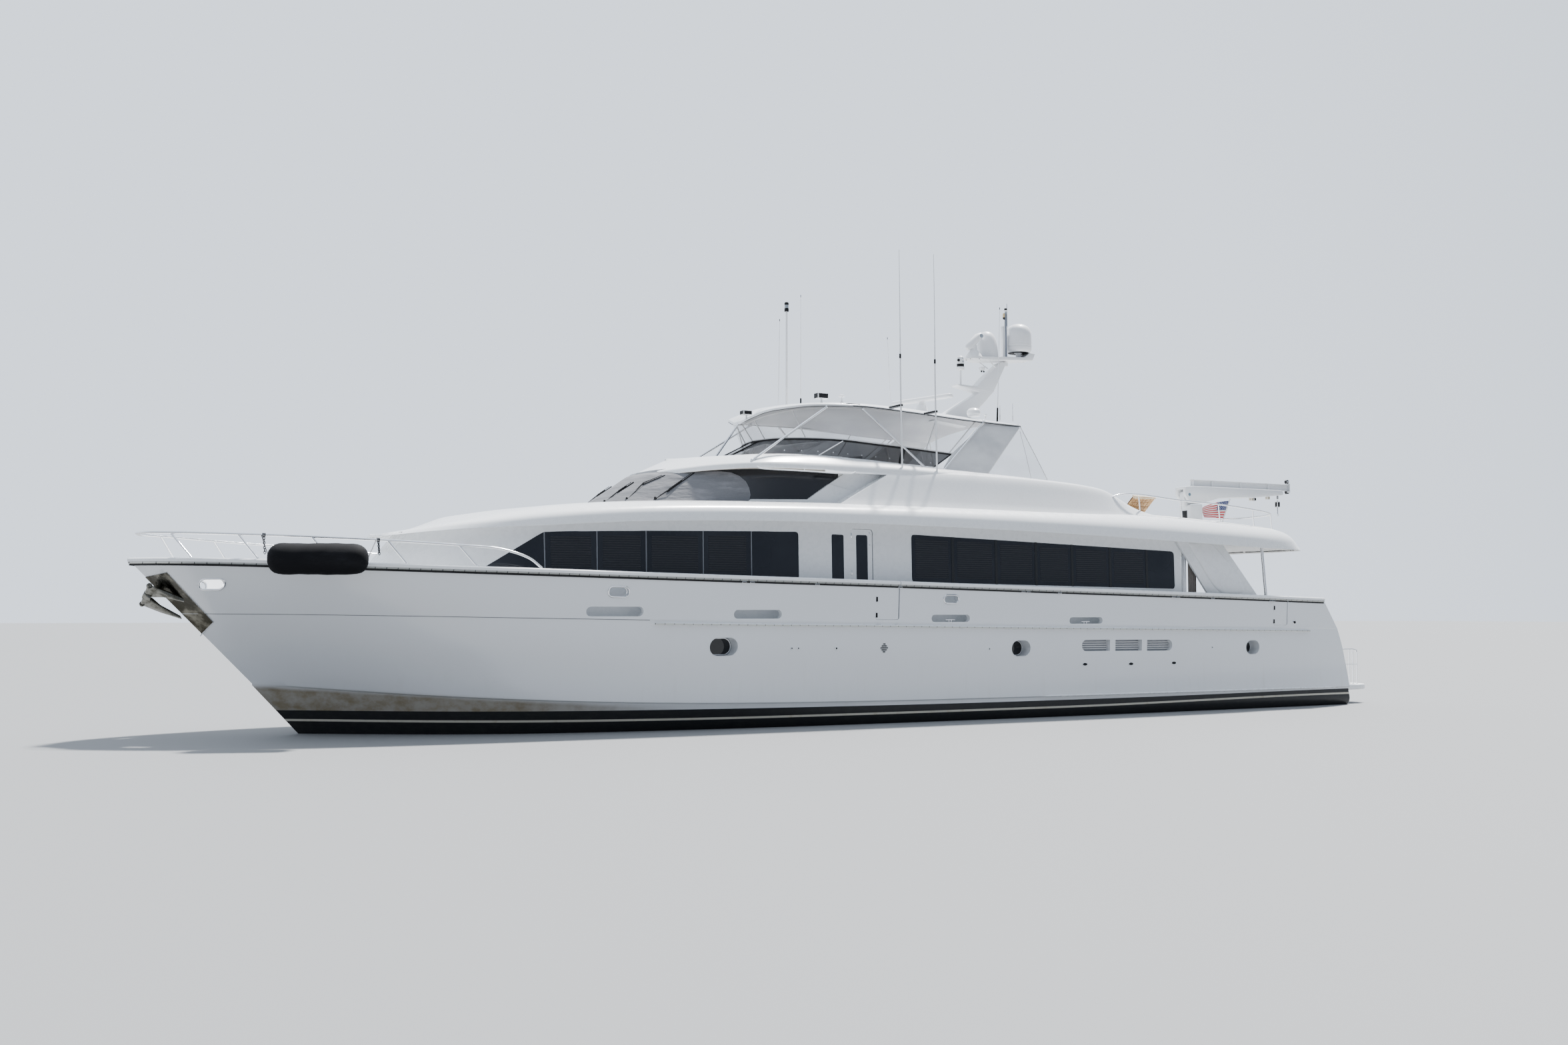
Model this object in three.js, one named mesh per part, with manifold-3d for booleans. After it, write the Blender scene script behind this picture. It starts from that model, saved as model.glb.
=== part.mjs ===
// A 30.5 m motor yacht with a raised pilothouse, afloat, in millimetres.
// +X is to the bow, +Y to port and +Z up. The origin is on the centreline at the waterline, halfway along.
import * as THREE from 'three';
import { mergeVertices } from 'three/addons/utils/BufferGeometryUtils.js';
import Module from 'manifold-3d';

const wasm = await Module();
wasm.setup();

// Driving dimensions
const GAP = 0.3;
const FAR = 40000;
const BULWARK = 120;
const WALL = 70;
const FOREDECK_Z = 2750;
const FOREDECK_AFT = 9300;
const CAP_HEIGHT = 60;
const CAP_OVERHANG = 40;
const STRAKE = 60;
const HOUSE_AFT = -8450;
const SIDE_FRONT_SPLIT = 9200;
const PLATFORM_Z = 500;
const PLATFORM_THICK = 140;
const PLATFORM_AFT = -15240;
const PLATFORM_HALF = 2560;
const RAIL_R = 19;
const HINGE_CLEAR = 8;
const GATE_BEVEL = 90;

// Hull stations from the stem to the transom, one row each.
// knuckle x, y, z | chine x, y, z | waterline x, y | keel x, z
const HULL = [
  [14230, 0, 2360, 12930, 0, 1000, 12040, 0, 10900, -900],
  [13550, 780, 2355, 12200, 420, 950, 11450, 400, 10200, -1160],
  [12500, 1500, 2345, 11250, 1030, 880, 10650, 930, 9300, -1320],
  [10500, 2370, 2315, 9900, 1800, 785, 9400, 1640, 8200, -1420],
  [8000, 2990, 2270, 7900, 2580, 680, 7800, 2230, 7300, -1460],
  [5000, 3250, 2220, 5000, 3020, 570, 5000, 2720, 5000, -1480],
  [1000, 3335, 2170, 1000, 3180, 510, 1000, 3010, 1000, -1460],
  [-4000, 3285, 2100, -4000, 3190, 490, -4000, 3060, -4000, -1320],
  [-9000, 3130, 2040, -9000, 3070, 480, -9000, 2950, -9000, -1020],
  [-13600, 2880, 1975, -14020, 2830, 470, -14060, 2740, -13900, -640],
];

// Top of the bulwark at the same stations: x, y, z
const SHEER = [
  [15190, 0, 3360],
  [14650, 930, 3345],
  [13700, 1640, 3325],
  [11500, 2560, 3260],
  [8500, 3120, 3185],
  [5000, 3350, 3105],
  [1000, 3385, 3025],
  [-4000, 3330, 2915],
  [-9000, 3180, 2810],
  [-13050, 2950, 2715],
];

// House wall from the front apex round to the aft end: foot x, y | head x, y, z
const HOUSE = [
  [11900, 0, 10060, 0, 3920],
  [11650, 900, 9900, 800, 3930],
  [10950, 1650, 9450, 1480, 3960],
  [9900, 2180, 8800, 2000, 4020],
  [8700, 2480, 8000, 2330, 4090],
  [7300, 2640, 6900, 2540, 4180],
  [5000, 2760, 5000, 2680, 4270],
  [1000, 2800, 1000, 2730, 4320],
  [-4000, 2790, -4000, 2730, 4230],
  [HOUSE_AFT, 2740, HOUSE_AFT, 2690, 4090],
];

// Roof moulding: lower edge x, y, z | fascia top x, y, z | deck edge x, y, z | crown x, z
const ROOF = [
  [10720, 0, 3900, 10640, 0, 3960, 10050, 0, 4040, 9800, 4090],
  [10560, 900, 3905, 10450, 860, 3990, 9900, 640, 4080, 9650, 4170],
  [10080, 1620, 3950, 9950, 1560, 4070, 9500, 1200, 4180, 9300, 4330],
  [9250, 2230, 4010, 9150, 2170, 4180, 8800, 1760, 4330, 8700, 4450],
  [8000, 2700, 4080, 7950, 2650, 4320, 7800, 2230, 4510, 7700, 4600],
  [6000, 3030, 4200, 6000, 2990, 4480, 6000, 2560, 4660, 6000, 4730],
  [3000, 3170, 4280, 3000, 3140, 4570, 3000, 2720, 4750, 3000, 4820],
  [0, 3200, 4280, 0, 3170, 4580, 0, 2760, 4790, 0, 4860],
  [-4000, 3180, 4215, -4000, 3150, 4530, -4000, 2760, 4790, -4000, 4870],
  [-8000, 3130, 4100, -8000, 3100, 4430, -8000, 2720, 4780, -8000, 4850],
  [-11000, 2920, 4010, -11000, 2890, 4350, -10950, 2560, 4640, -10900, 4720],
  [-12150, 2690, 4000, -12100, 2630, 4360, -11850, 2380, 4590, -11800, 4650],
  [-12650, 2560, 4000, -12450, 2450, 4380, -12250, 2200, 4540, -12200, 4600],
  [-12950, 2300, 4000, -12680, 2200, 4380, -12450, 1950, 4510, -12420, 4560],
  [-13120, 1850, 4000, -12820, 1780, 4380, -12570, 1550, 4500, -12540, 4540],
  [-13200, 950, 4000, -12900, 930, 4380, -12630, 800, 4500, -12600, 4530],
  [-13220, 0, 4000, -12920, 0, 4380, -12650, 0, 4500, -12620, 4530],
];

const colours = {
  gelcoat: ['#e9ebec', 0.25, 0],
  hullWhite: ['#dfe2e4', 0.3, 0],
  glass: ['#10141b', 0.08, 0],
  clear: ['#c9d2d6', 0.1, 0],
  steel: ['#c3c6c8', 0.18, 1],
  bronze: ['#8a6a3c', 0.4, 1],
  rubber: ['#141519', 0.6, 0],
  fabric: ['#dcdfe2', 0.8, 0],
  teak: ['#b58b58', 0.7, 0],
  flag: ['#b8323c', 0.8, 0],
};
const material = Object.fromEntries(
  Object.entries(colours).map(([name, [color, roughness, metalness]]) => [
    name,
    new THREE.MeshStandardMaterial({ color, roughness, metalness }),
  ]),
);

const yacht = new THREE.Group();

// Turns a closed geometry into a solid whose faces point out.
function solid(geometry) {
  const plain = geometry.index ? geometry.toNonIndexed() : geometry.clone();
  plain.deleteAttribute('normal');
  plain.deleteAttribute('uv');
  const merged = mergeVertices(plain, 1e-3);
  const index = [];
  for (let i = 0; i < merged.index.count; i += 3) {
    const [a, b, c] = [0, 1, 2].map((k) => merged.index.getX(i + k));
    if (a !== b && b !== c && c !== a) index.push(a, b, c);
  }
  const make = (tris) =>
    new wasm.Manifold(
      new wasm.Mesh({
        numProp: 3,
        vertProperties: new Float32Array(merged.attributes.position.array),
        triVerts: new Uint32Array(tris),
      }),
    );
  const made = make(index);
  if (made.volume() > 0) return made;
  for (let i = 0; i < index.length; i += 3) [index[i], index[i + 1]] = [index[i + 1], index[i]];
  return make(index);
}

// Adds a solid to the yacht as a named mesh.
function piece(name, body, finish) {
  const mesh = body.getMesh();
  const geometry = new THREE.BufferGeometry();
  const positions = new Float32Array(mesh.numVert * 3);
  for (let i = 0; i < mesh.numVert; i += 1) {
    for (let k = 0; k < 3; k += 1) positions[i * 3 + k] = mesh.vertProperties[i * mesh.numProp + k];
  }
  geometry.setAttribute('position', new THREE.BufferAttribute(positions, 3));
  geometry.setIndex(new THREE.BufferAttribute(new Uint32Array(mesh.triVerts), 1));
  geometry.computeVertexNormals();
  const made = new THREE.Mesh(geometry, finish);
  made.name = name;
  yacht.add(made);
  return body;
}

const vec = (x, y, z) => new THREE.Vector3(x, y, z);

function box(x0, x1, y0, y1, z0, z1) {
  const g = new THREE.BoxGeometry(x1 - x0, y1 - y0, z1 - z0);
  g.translate((x0 + x1) / 2, (y0 + y1) / 2, (z0 + z1) / 2);
  return solid(g);
}

function outlineShape(points) {
  return new THREE.Shape(points.map(([a, b]) => new THREE.Vector2(a, b)));
}

// An outline in plan, from z0 up to z1.
function plate(points, z0, z1) {
  const g = new THREE.ExtrudeGeometry(outlineShape(points), { depth: z1 - z0, bevelEnabled: false });
  g.translate(0, 0, z0);
  return solid(g);
}

// An outline in the side view, from y0 across to y1.
function profile(points, y0, y1) {
  const g = new THREE.ExtrudeGeometry(outlineShape(points), { depth: y1 - y0, bevelEnabled: false });
  g.rotateX(Math.PI / 2);
  g.translate(0, y1, 0);
  return solid(g);
}

// A straight round bar between two points.
function rod(a, b, radius, sides = 8, radiusB = radius) {
  const from = vec(...a);
  const to = vec(...b);
  const along = to.clone().sub(from);
  const g = new THREE.CylinderGeometry(radiusB, radius, along.length(), sides);
  g.applyQuaternion(new THREE.Quaternion().setFromUnitVectors(vec(0, 1, 0), along.clone().normalize()));
  const mid = from.add(to).multiplyScalar(0.5);
  g.translate(mid.x, mid.y, mid.z);
  return solid(g);
}

// A round bar bent along a smooth line.
function bent(points, radius, steps, sides = 8) {
  const section = [];
  for (let i = 0; i < sides; i += 1) {
    const turn = ((i + 0.5) * 2 * Math.PI) / sides;
    section.push([radius * Math.cos(turn), radius * Math.sin(turn)]);
  }
  const path = new THREE.CatmullRomCurve3(points.map((p) => vec(...p)), false, 'centripetal');
  return solid(new THREE.ExtrudeGeometry(outlineShape(section), { steps, extrudePath: path }));
}

// A body of revolution about the upright line through x, y: profile rows are radius, z.
function turned(rows, x, y, segments = 16) {
  const g = new THREE.LatheGeometry(rows.map(([r, z]) => new THREE.Vector2(r, z)), segments);
  g.rotateX(Math.PI / 2);
  g.translate(x, y, 0);
  return solid(g);
}

// The closed skin through rings of equally many points, with flat ends.
function skin(rings) {
  const count = rings[0].length;
  const corners = [];
  const face = (a, b, c) => corners.push(a, b, c);
  for (let i = 0; i + 1 < rings.length; i += 1) {
    for (let k = 0; k < count; k += 1) {
      const n = (k + 1) % count;
      face(rings[i][k], rings[i][n], rings[i + 1][n]);
      face(rings[i][k], rings[i + 1][n], rings[i + 1][k]);
    }
  }
  const cap = (ring, sameWay) => {
    const views = [['y', 'z'], ['x', 'z'], ['x', 'y']].map(([u, v]) => ring.map((p) => new THREE.Vector2(p[u], p[v])));
    const size = (view) => Math.abs(THREE.ShapeUtils.area(view));
    const flat = views.reduce((a, b) => (size(b) > size(a) ? b : a));
    const area = THREE.ShapeUtils.area(flat);
    if (Math.abs(area) < 1) return;
    for (const [a, b, c] of THREE.ShapeUtils.triangulateShape([...flat], [])) {
      const turn = THREE.ShapeUtils.area([flat[a], flat[b], flat[c]]);
      if (turn * area > 0 === sameWay) face(ring[a], ring[b], ring[c]);
      else face(ring[a], ring[c], ring[b]);
    }
  };
  cap(rings[0], false);
  cap(rings[rings.length - 1], true);
  return solid(new THREE.BufferGeometry().setFromPoints(corners));
}

// Rings across several smooth lines, from bow to stern: mirrored ones run up the port side and down the other.
function ringsAcross(lines, steps, mirrored) {
  const curves = lines.map((line) => new THREE.CatmullRomCurve3(line.map((p) => vec(...p)), false, 'centripetal'));
  const rings = [];
  for (let i = 0; i <= steps; i += 1) {
    const port = curves.map((curve) => curve.getPoint(i / steps));
    for (const p of port) if (mirrored && Math.abs(p.y) < 1e-6) p.y = 0;
    const middle = (p) => lines[port.indexOf(p)].every((row) => row[1] === 0);
    const starboard = mirrored ? port.filter((p) => !middle(p)).map((p) => vec(p.x, -p.y, p.z)) : [];
    rings.push([...port, ...starboard.reverse()]);
  }
  return rings;
}

const half = (side) => (side > 0 ? box(-FAR, FAR, GAP / 2, FAR, -FAR, FAR) : box(-FAR, FAR, -FAR, -GAP / 2, -FAR, FAR));
const mirrorY = (body) => body.mirror([0, 1, 0]);
const both = (body) => body.add(mirrorY(body));
const union = (bodies) => bodies.reduce((a, b) => a.add(b));
// The main piece of a cut body, without the crumbs that a cut leaves
const largest = (body) => body.decompose().reduce((a, b) => (b.volume() > a.volume() ? b : a));

// The point of a polyline at a given x, as it falls from bow to stern.
const at = (line, x) => {
  const i = Math.max(1, line.findIndex((p) => p[0] <= x));
  const [a, b] = [line[i - 1], line[i]];
  const t = (x - a[0]) / (b[0] - a[0]);
  return a.map((v, k) => v + (b[k] - v) * t);
};

// Hull

const blend = (a, b, t) => a + (b - a) * t;
const HULL_STEPS = 27;
const last = HULL.length - 1;
const knuckleLine = HULL.map(([x, y, z]) => [x, y, z]);
const sideLine = (share) =>
  HULL.map(([kx, ky, kz, cx, cy, cz], i) => [
    blend(cx, kx, share) - (i === last ? 60 * Math.sin(Math.PI * share) : 0),
    blend(cy, ky, blend(share * 0.82, share * 1.12, Math.min(1, i / 5))),
    blend(cz, kz, share),
  ]);
const chineLip = HULL.map(([, , , x, y, z]) => [x, y + Math.min(45, y / 8), z]);
const chineUnder = HULL.map(([, , , x, y, z], i) => [x - (i ? 0 : 20), y - Math.min(20, y / 8), z - 30]);
const waterLine = HULL.map(([, , , , , , x, y]) => [x, y, 0]);
const bottomLine = HULL.map(([, , , , , , wx, wy, kx, kz]) => [blend(wx, kx, 0.45), wy * 0.66, kz * 0.62]);
const keelLine = HULL.map(([, , , , , , , , x, z]) => [x, 0, z]);
const hullLines = [keelLine, bottomLine, waterLine, chineUnder, chineLip, sideLine(0.35), sideLine(0.7), knuckleLine];
const hullRings = ringsAcross(hullLines, HULL_STEPS, true);
const hullBare = skin(hullRings);
const deckEdge = hullRings.map((ring) => ring[hullLines.length - 1].toArray());
const deckZ = (x) => at(deckEdge, x)[2];

// Rings for a wall along smooth lines from bow to stern on the port side, between two depths inside their surface.
function wallRings(lines, steps, from, to) {
  const curves = lines.map((line) => new THREE.CatmullRomCurve3(line.map((p) => vec(...p)), false, 'centripetal'));
  const inside = (curve, t, depth) => {
    const p = curve.getPoint(t);
    const d = curve.getTangent(t);
    const length = Math.hypot(d.x, d.y);
    return vec(p.x - (depth * d.y) / length, p.y + (depth * d.x) / length, p.z);
  };
  const rings = [];
  for (let i = 0; i <= steps; i += 1) {
    const t = i / steps;
    rings.push([
      ...curves.map((curve) => inside(curve, t, from)),
      ...curves.map((curve) => inside(curve, t, to)).reverse(),
    ]);
  }
  return rings;
}

const wall = (lines, steps, from, to) => skin(wallRings(lines, steps, from, to));

// Moves each edge of a convex outline inwards.
function inset(points, by) {
  const turn = Math.sign(THREE.ShapeUtils.area(points.map(([a, b]) => new THREE.Vector2(a, b))));
  return points.map((p, i) => {
    const before = points[(i + points.length - 1) % points.length];
    const after = points[(i + 1) % points.length];
    const normal = (a, b) => {
      const length = Math.hypot(b[0] - a[0], b[1] - a[1]);
      return [(-(b[1] - a[1]) * turn) / length, ((b[0] - a[0]) * turn) / length];
    };
    const n = normal(before, p);
    const m = normal(p, after);
    const scale = by / (1 + n[0] * m[0] + n[1] * m[1]);
    return [p[0] + (n[0] + m[0]) * scale, p[1] + (n[1] + m[1]) * scale];
  });
}

// A rectangle with round ends, for portholes, fairleads and slots.
function slot(x0, x1, z0, z1, arc = 6) {
  const r = (z1 - z0) / 2;
  const points = [];
  for (let i = 0; i <= arc; i += 1) {
    const a = -Math.PI / 2 + (Math.PI * i) / arc;
    points.push([x1 - r + r * Math.cos(a), (z0 + z1) / 2 + r * Math.sin(a)]);
  }
  for (let i = 0; i <= arc; i += 1) {
    const a = Math.PI / 2 + (Math.PI * i) / arc;
    points.push([x0 + r + r * Math.cos(a), (z0 + z1) / 2 + r * Math.sin(a)]);
  }
  return points;
}

// Rub strake: a half-round along the hull side just under the deck line
const strakeLine = (drop) => HULL.slice(4).map(([x, y, z]) => [x, y - 6, z - drop]);
const strake = wall([strakeLine(105), strakeLine(70), strakeLine(35)], 24, -STRAKE, 30)
  .intersect(box(-12600, 5930, 0, FAR, 0, FAR));

// Portholes and engine room vents are pockets in the hull side: x0, x1, z0, z1, depth
const HULL_POCKETS = [
  [3970, 4600, 1500, 1880, 320],
  [-3410, -2870, 1400, 1765, 320],
  [-10680, -10200, 1350, 1705, 320],
  [-5750, -4900, 1495, 1755, 160],
  [-6740, -5910, 1490, 1750, 160],
  [-7710, -6900, 1480, 1740, 160],
];
const OUTBOARD = 4000;
const pockets = union(
  HULL_POCKETS.map(([x0, x1, z0, z1, depth]) =>
    profile(slot(x0, x1, z0, z1), at(sideLine(0.7), (x0 + x1) / 2)[1] - depth, OUTBOARD),
  ),
);

// Stairs down each quarter from the aft deck to the swim platform
const STAIR = { inner: 1650, outer: 2450, top: -12350, rises: 5, foot: PLATFORM_Z + 20 };
const stairRise = (1985 - STAIR.foot) / STAIR.rises;
const stairRun = 340;
const stairs = union(
  Array.from({ length: STAIR.rises }, (_, i) =>
    box(-16000, STAIR.top - i * stairRun, STAIR.inner, STAIR.outer, STAIR.foot + (STAIR.rises - 1 - i) * stairRise, 3000),
  ),
);

// Running gear under the stern
const SHAFT = { y: 1150, r: 48, propX: -12350, propZ: -1330, hullX: -8400, hullZ: -770, boreGap: 6, seatGap: 1.4, inside: -7900 };
const shaftAt = (x) => SHAFT.propZ + ((x - SHAFT.propX) * (SHAFT.hullZ - SHAFT.propZ)) / (SHAFT.hullX - SHAFT.propX);
const PROP = { r: 430, hub: 105, length: 260, blades: 5 };
const RUDDER = { x: -13250, y: 1150, stockR: 50, top: -640, foot: -1720, fore: 190, aft: 520, thick: 90 };
const shaftBore = rod(
  [SHAFT.hullX - 1500, SHAFT.y, shaftAt(SHAFT.hullX - 1500)],
  [SHAFT.inside, SHAFT.y, shaftAt(SHAFT.inside)],
  SHAFT.r + SHAFT.boreGap,
  16,
);
const stockBore = rod([RUDDER.x, RUDDER.y, -1200], [RUDDER.x, RUDDER.y, -200], RUDDER.stockR + SHAFT.seatGap, 16);
const skeg = profile([[-3500, -1200], [-9500, -850], [-10400, -800], [-9900, -1500], [-3500, -1500]], -110, 110);
const strutBossX = SHAFT.propX + 420;
const strut = union([
  rod([strutBossX - 160, SHAFT.y, shaftAt(strutBossX - 160)], [strutBossX + 160, SHAFT.y, shaftAt(strutBossX + 160)], 95, 16),
  rod([strutBossX, SHAFT.y + 60, shaftAt(strutBossX)], [strutBossX + 100, SHAFT.y + 360, -400], 45, 6),
  rod([strutBossX, SHAFT.y - 60, shaftAt(strutBossX)], [strutBossX + 100, SHAFT.y - 360, -420], 45, 6),
]);
const gearBores = rod(
  [strutBossX - 300, SHAFT.y, shaftAt(strutBossX - 300)],
  [strutBossX + 300, SHAFT.y, shaftAt(strutBossX + 300)],
  SHAFT.r + SHAFT.seatGap,
  16,
).add(shaftBore).add(stockBore);

const hull = hullBare
  .add(skeg)
  .add(both(strake))
  .add(both(strut))
  .add(box(-13100, -12960, -STAIR.inner + 40, STAIR.inner - 40, 1900, 2775))
  .subtract(both(pockets))
  .subtract(both(stairs))
  .subtract(both(gearBores));
piece('hull', hull, material.hullWhite);
const deckCut = hullBare.add(both(strake)).translate(0, 0, GAP);

const propBlade = (i) => {
  const blade = new THREE.BoxGeometry(40, PROP.hub + 130, PROP.r - PROP.hub + 60);
  blade.rotateZ(0.9);
  blade.translate(0, 0, (PROP.r + PROP.hub) / 2 - 30);
  blade.rotateX((i * 2 * Math.PI) / PROP.blades);
  return solid(blade);
};
const shaftTilt = -Math.atan2(SHAFT.hullZ - SHAFT.propZ, SHAFT.hullX - SHAFT.propX) * (180 / Math.PI);
const wheel = union([
  rod([-PROP.length / 2, 0, 0], [PROP.length / 2, 0, 0], PROP.hub, 16),
  rod([-PROP.length / 2 - 140, 0, 0], [-PROP.length / 2 + 5, 0, 0], 40, 12, PROP.hub),
  ...Array.from({ length: PROP.blades }, (_, i) => propBlade(i)),
  rod([0, 0, 0], [SHAFT.hullX - SHAFT.propX, 0, 0], SHAFT.r, 12),
])
  .rotate([0, shaftTilt, 0])
  .translate(SHAFT.propX, SHAFT.y, SHAFT.propZ);
piece('propeller_port', wheel, material.bronze);
piece('propeller_starboard', mirrorY(wheel), material.bronze);

const rudder = plate(
  [[RUDDER.fore, 0], [RUDDER.fore - 60, 35], [0, RUDDER.thick / 2], [-RUDDER.aft + 20, 12],
    [-RUDDER.aft + 20, -12], [0, -RUDDER.thick / 2], [RUDDER.fore - 60, -35]],
  RUDDER.foot,
  RUDDER.top - 60,
)
  .translate(RUDDER.x, RUDDER.y, 0)
  .add(rod([RUDDER.x, RUDDER.y, RUDDER.foot + 200], [RUDDER.x, RUDDER.y, -320], RUDDER.stockR, 12));
piece('rudder_port', rudder, material.bronze);
piece('rudder_starboard', mirrorY(rudder), material.bronze);

// Bulwark, with its cap, cut by fairleads, freeing slots and gates
const lifted = (line, by) => line.map(([x, y, z]) => [x, y, z + by]);
const bulwarkMid = SHEER.map(([x, y, z], i) => {
  const [kx, ky, kz] = knuckleLine[i];
  return [blend(kx, x, 0.45), blend(ky, y, 0.47), blend(kz, z, 0.45)];
});
const bulwarkLines = [lifted(knuckleLine, 2), bulwarkMid, SHEER];
const capWall = wall([lifted(SHEER, -20), lifted(SHEER, CAP_HEIGHT)], HULL_STEPS, -CAP_OVERHANG, BULWARK + CAP_OVERHANG);
const FAIRLEADS = [[13650, 14060, 2810, 3010], [6360, 6790, 2690, 2890], [-1390, -1000, 2590, 2770]];
const SLOTS = [[6040, 7210, 2310, 2500], [3000, 4090, 2260, 2440], [-1710, -690, 2180, 2340], [-5510, -4520, 2130, 2280]];
// name, x0, x1, sill height
const GATES = [['mid', 140, 740, 2230], ['aft', -11700, -11180, 2070]];
const bulwarkHoles = union([
  ...FAIRLEADS.map(([x0, x1, z0, z1]) => profile(slot(x0, x1, z0, z1), 0, 4000)),
  ...SLOTS.map(([x0, x1, z0, z1]) => profile(slot(x0, x1, z0, z1), 2500, 4000)),
]);
const bulwarkSolid = wall(bulwarkLines, HULL_STEPS, 0, BULWARK)
  .add(capWall)
  .intersect(half(1))
  .subtract(bulwarkHoles);
const gateBox = ([, x0, x1, sill], clear, hingeGap) => box(x0 + clear, x1 - hingeGap, 2500, 4000, sill + clear, 4000);
const bulwark = GATES.reduce((body, gate) => body.subtract(gateBox(gate, 0, 0)), bulwarkSolid);
piece('bulwark_port', bulwark, material.gelcoat);
piece('bulwark_starboard', mirrorY(bulwark), material.gelcoat);
for (const gate of GATES) {
  const [name, aft] = gate;
  const [, outer] = at(SHEER, aft);
  const bevel = plate(
    [[aft - 100, outer + 80], [aft + HINGE_CLEAR, outer + 80], [aft + GATE_BEVEL, outer - 260], [aft - 100, outer - 260]],
    1900,
    3500,
  );
  const leaf = bulwarkSolid.intersect(gateBox(gate, HINGE_CLEAR, GAP)).subtract(bevel);
  piece(`gate_${name}_port`, leaf, material.gelcoat);
  piece(`gate_${name}_starboard`, mirrorY(leaf), material.gelcoat);
}

// Raised foredeck inside the bulwarks
const foredeckEdge = SHEER.map((top, i) => {
  const under = bulwarkMid[i][2] > FOREDECK_Z ? knuckleLine[i] : bulwarkMid[i];
  const over = bulwarkMid[i][2] > FOREDECK_Z ? bulwarkMid[i] : top;
  return under.map((v, k) => blend(v, over[k], (FOREDECK_Z - under[2]) / (over[2] - under[2])));
});
const foredeckRings = wallRings([knuckleLine, foredeckEdge], HULL_STEPS, BULWARK + 30, BULWARK + 31)
  .map(([low, high]) => [low, high, vec(high.x, -high.y, high.z), vec(low.x, -low.y, low.z)])
  .filter(([low, high]) => low.y > 20 && high.y > 20);
const foredeck = skin(foredeckRings).intersect(box(FOREDECK_AFT, 15000, -FAR, FAR, 0, FAR)).subtract(deckCut);
piece('foredeck', foredeck, material.gelcoat);

// Swim platform
const platformCorner = 500;
const platform = plate(
  [[-13700, -PLATFORM_HALF], [PLATFORM_AFT + platformCorner, -PLATFORM_HALF], [PLATFORM_AFT + 130, -PLATFORM_HALF + 150],
    [PLATFORM_AFT, -PLATFORM_HALF + platformCorner], [PLATFORM_AFT, PLATFORM_HALF - platformCorner],
    [PLATFORM_AFT + 130, PLATFORM_HALF - 150], [PLATFORM_AFT + platformCorner, PLATFORM_HALF], [-13700, PLATFORM_HALF]],
  PLATFORM_Z - PLATFORM_THICK,
  PLATFORM_Z,
).subtract(hullBare.add(hullBare.translate(-GAP, 0, 0)));
piece('swim_platform', platform, material.gelcoat);

// Roof moulding over the house and the aft deck
const roofLine = (a, dy = 0, dz = 0) => ROOF.map((r) => [r[a], Math.max(0, r[a + 1] - (r[a + 1] ? dy : 0)), r[a + 2] + dz]);
const roofCentre = (z) => ROOF.map((r) => [r[0], 0, r[2] + z]);
const crownLine = ROOF.map((r) => [r[9], 0, r[10]]);
const ROOF_STEPS = 32;
const UNDER = 70;
const roofSolid = skin(
  ringsAcross([crownLine, roofLine(6), roofLine(3), roofLine(0), roofLine(0, 130, UNDER * 0.7), roofCentre(UNDER)], ROOF_STEPS, true),
);
const roofAbove = skin(
  ringsAcross(
    [roofCentre(3000), roofLine(0, 0, 3000), roofLine(0, 0, -GAP), roofLine(0, 130, UNDER * 0.7 - GAP), roofCentre(UNDER - GAP)],
    ROOF_STEPS,
    true,
  ),
);
const PILOT_WELL = box(1700, 4900, -1850, 1850, 3500, 5200);
const roof = roofSolid.subtract(PILOT_WELL);
piece('roof', roof, material.gelcoat);
const roofTopCut = roofSolid.translate(0, 0, GAP);

// House walls
const houseFoot = HOUSE.map(([x, y]) => [x, y, 1900]);
const houseHead = HOUSE.map(([, , x, y, z]) => [x, y, z + 260]);
const houseLines = [houseFoot, houseHead];
const HOUSE_STEPS = 18;
const underRoof = (body) => body.subtract(roofAbove);
const foredeckCut = foredeck.add(foredeck.translate(0, 0, GAP)).add(foredeck.translate(GAP, 0, 0));
const onDeck = (body) => body.subtract(deckCut).subtract(foredeckCut);
const houseWall = onDeck(underRoof(wall(houseLines, HOUSE_STEPS, 0, WALL)));

// Windows in the side view: convex outlines
const FORWARD_WINDOW = [[8950, 3290], [7850, 3985], [6500, 4030], [2400, 4110], [2290, 4020], [2290, 3190], [2400, 3080], [8950, 3200]];
const AFT_WINDOW = [[-540, 4130], [-8120, 3910], [-8240, 3820], [-8240, 2960], [-540, 3050]];
const DOOR = { x0: 440, x1: 1000, z0: 2260, z1: 4200, latch: 22 };
const DOOR_GLASS = [[870, 4080], [570, 4080], [570, 3000], [870, 3000]];
const across = (points) => profile(points, 500, 4000);
const doorHole = box(DOOR.x0, DOOR.x1, 1500, 4000, DOOR.z0, DOOR.z1);
const sideWall = [FORWARD_WINDOW, AFT_WINDOW]
  .reduce((body, hole) => body.subtract(across(hole)), houseWall)
  .subtract(doorHole)
  .intersect(box(-FAR, SIDE_FRONT_SPLIT - GAP, 0, FAR, -FAR, FAR));
const GLASS_IN = [12, 30];
const glassWall = wall(houseLines, HOUSE_STEPS, ...GLASS_IN);
const pane = (outline) => glassWall.intersect(across(inset(outline, GAP)));
const doorLeaf = wall(houseLines, HOUSE_STEPS, 8, WALL - 8)
  .intersect(box(DOOR.x0 + DOOR.latch, DOOR.x1 - GAP, 1500, 4000, DOOR.z0 + 6, DOOR.z1 - 6))
  .subtract(across(DOOR_GLASS))
  .add(glassWall.intersect(across(DOOR_GLASS)));
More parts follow.
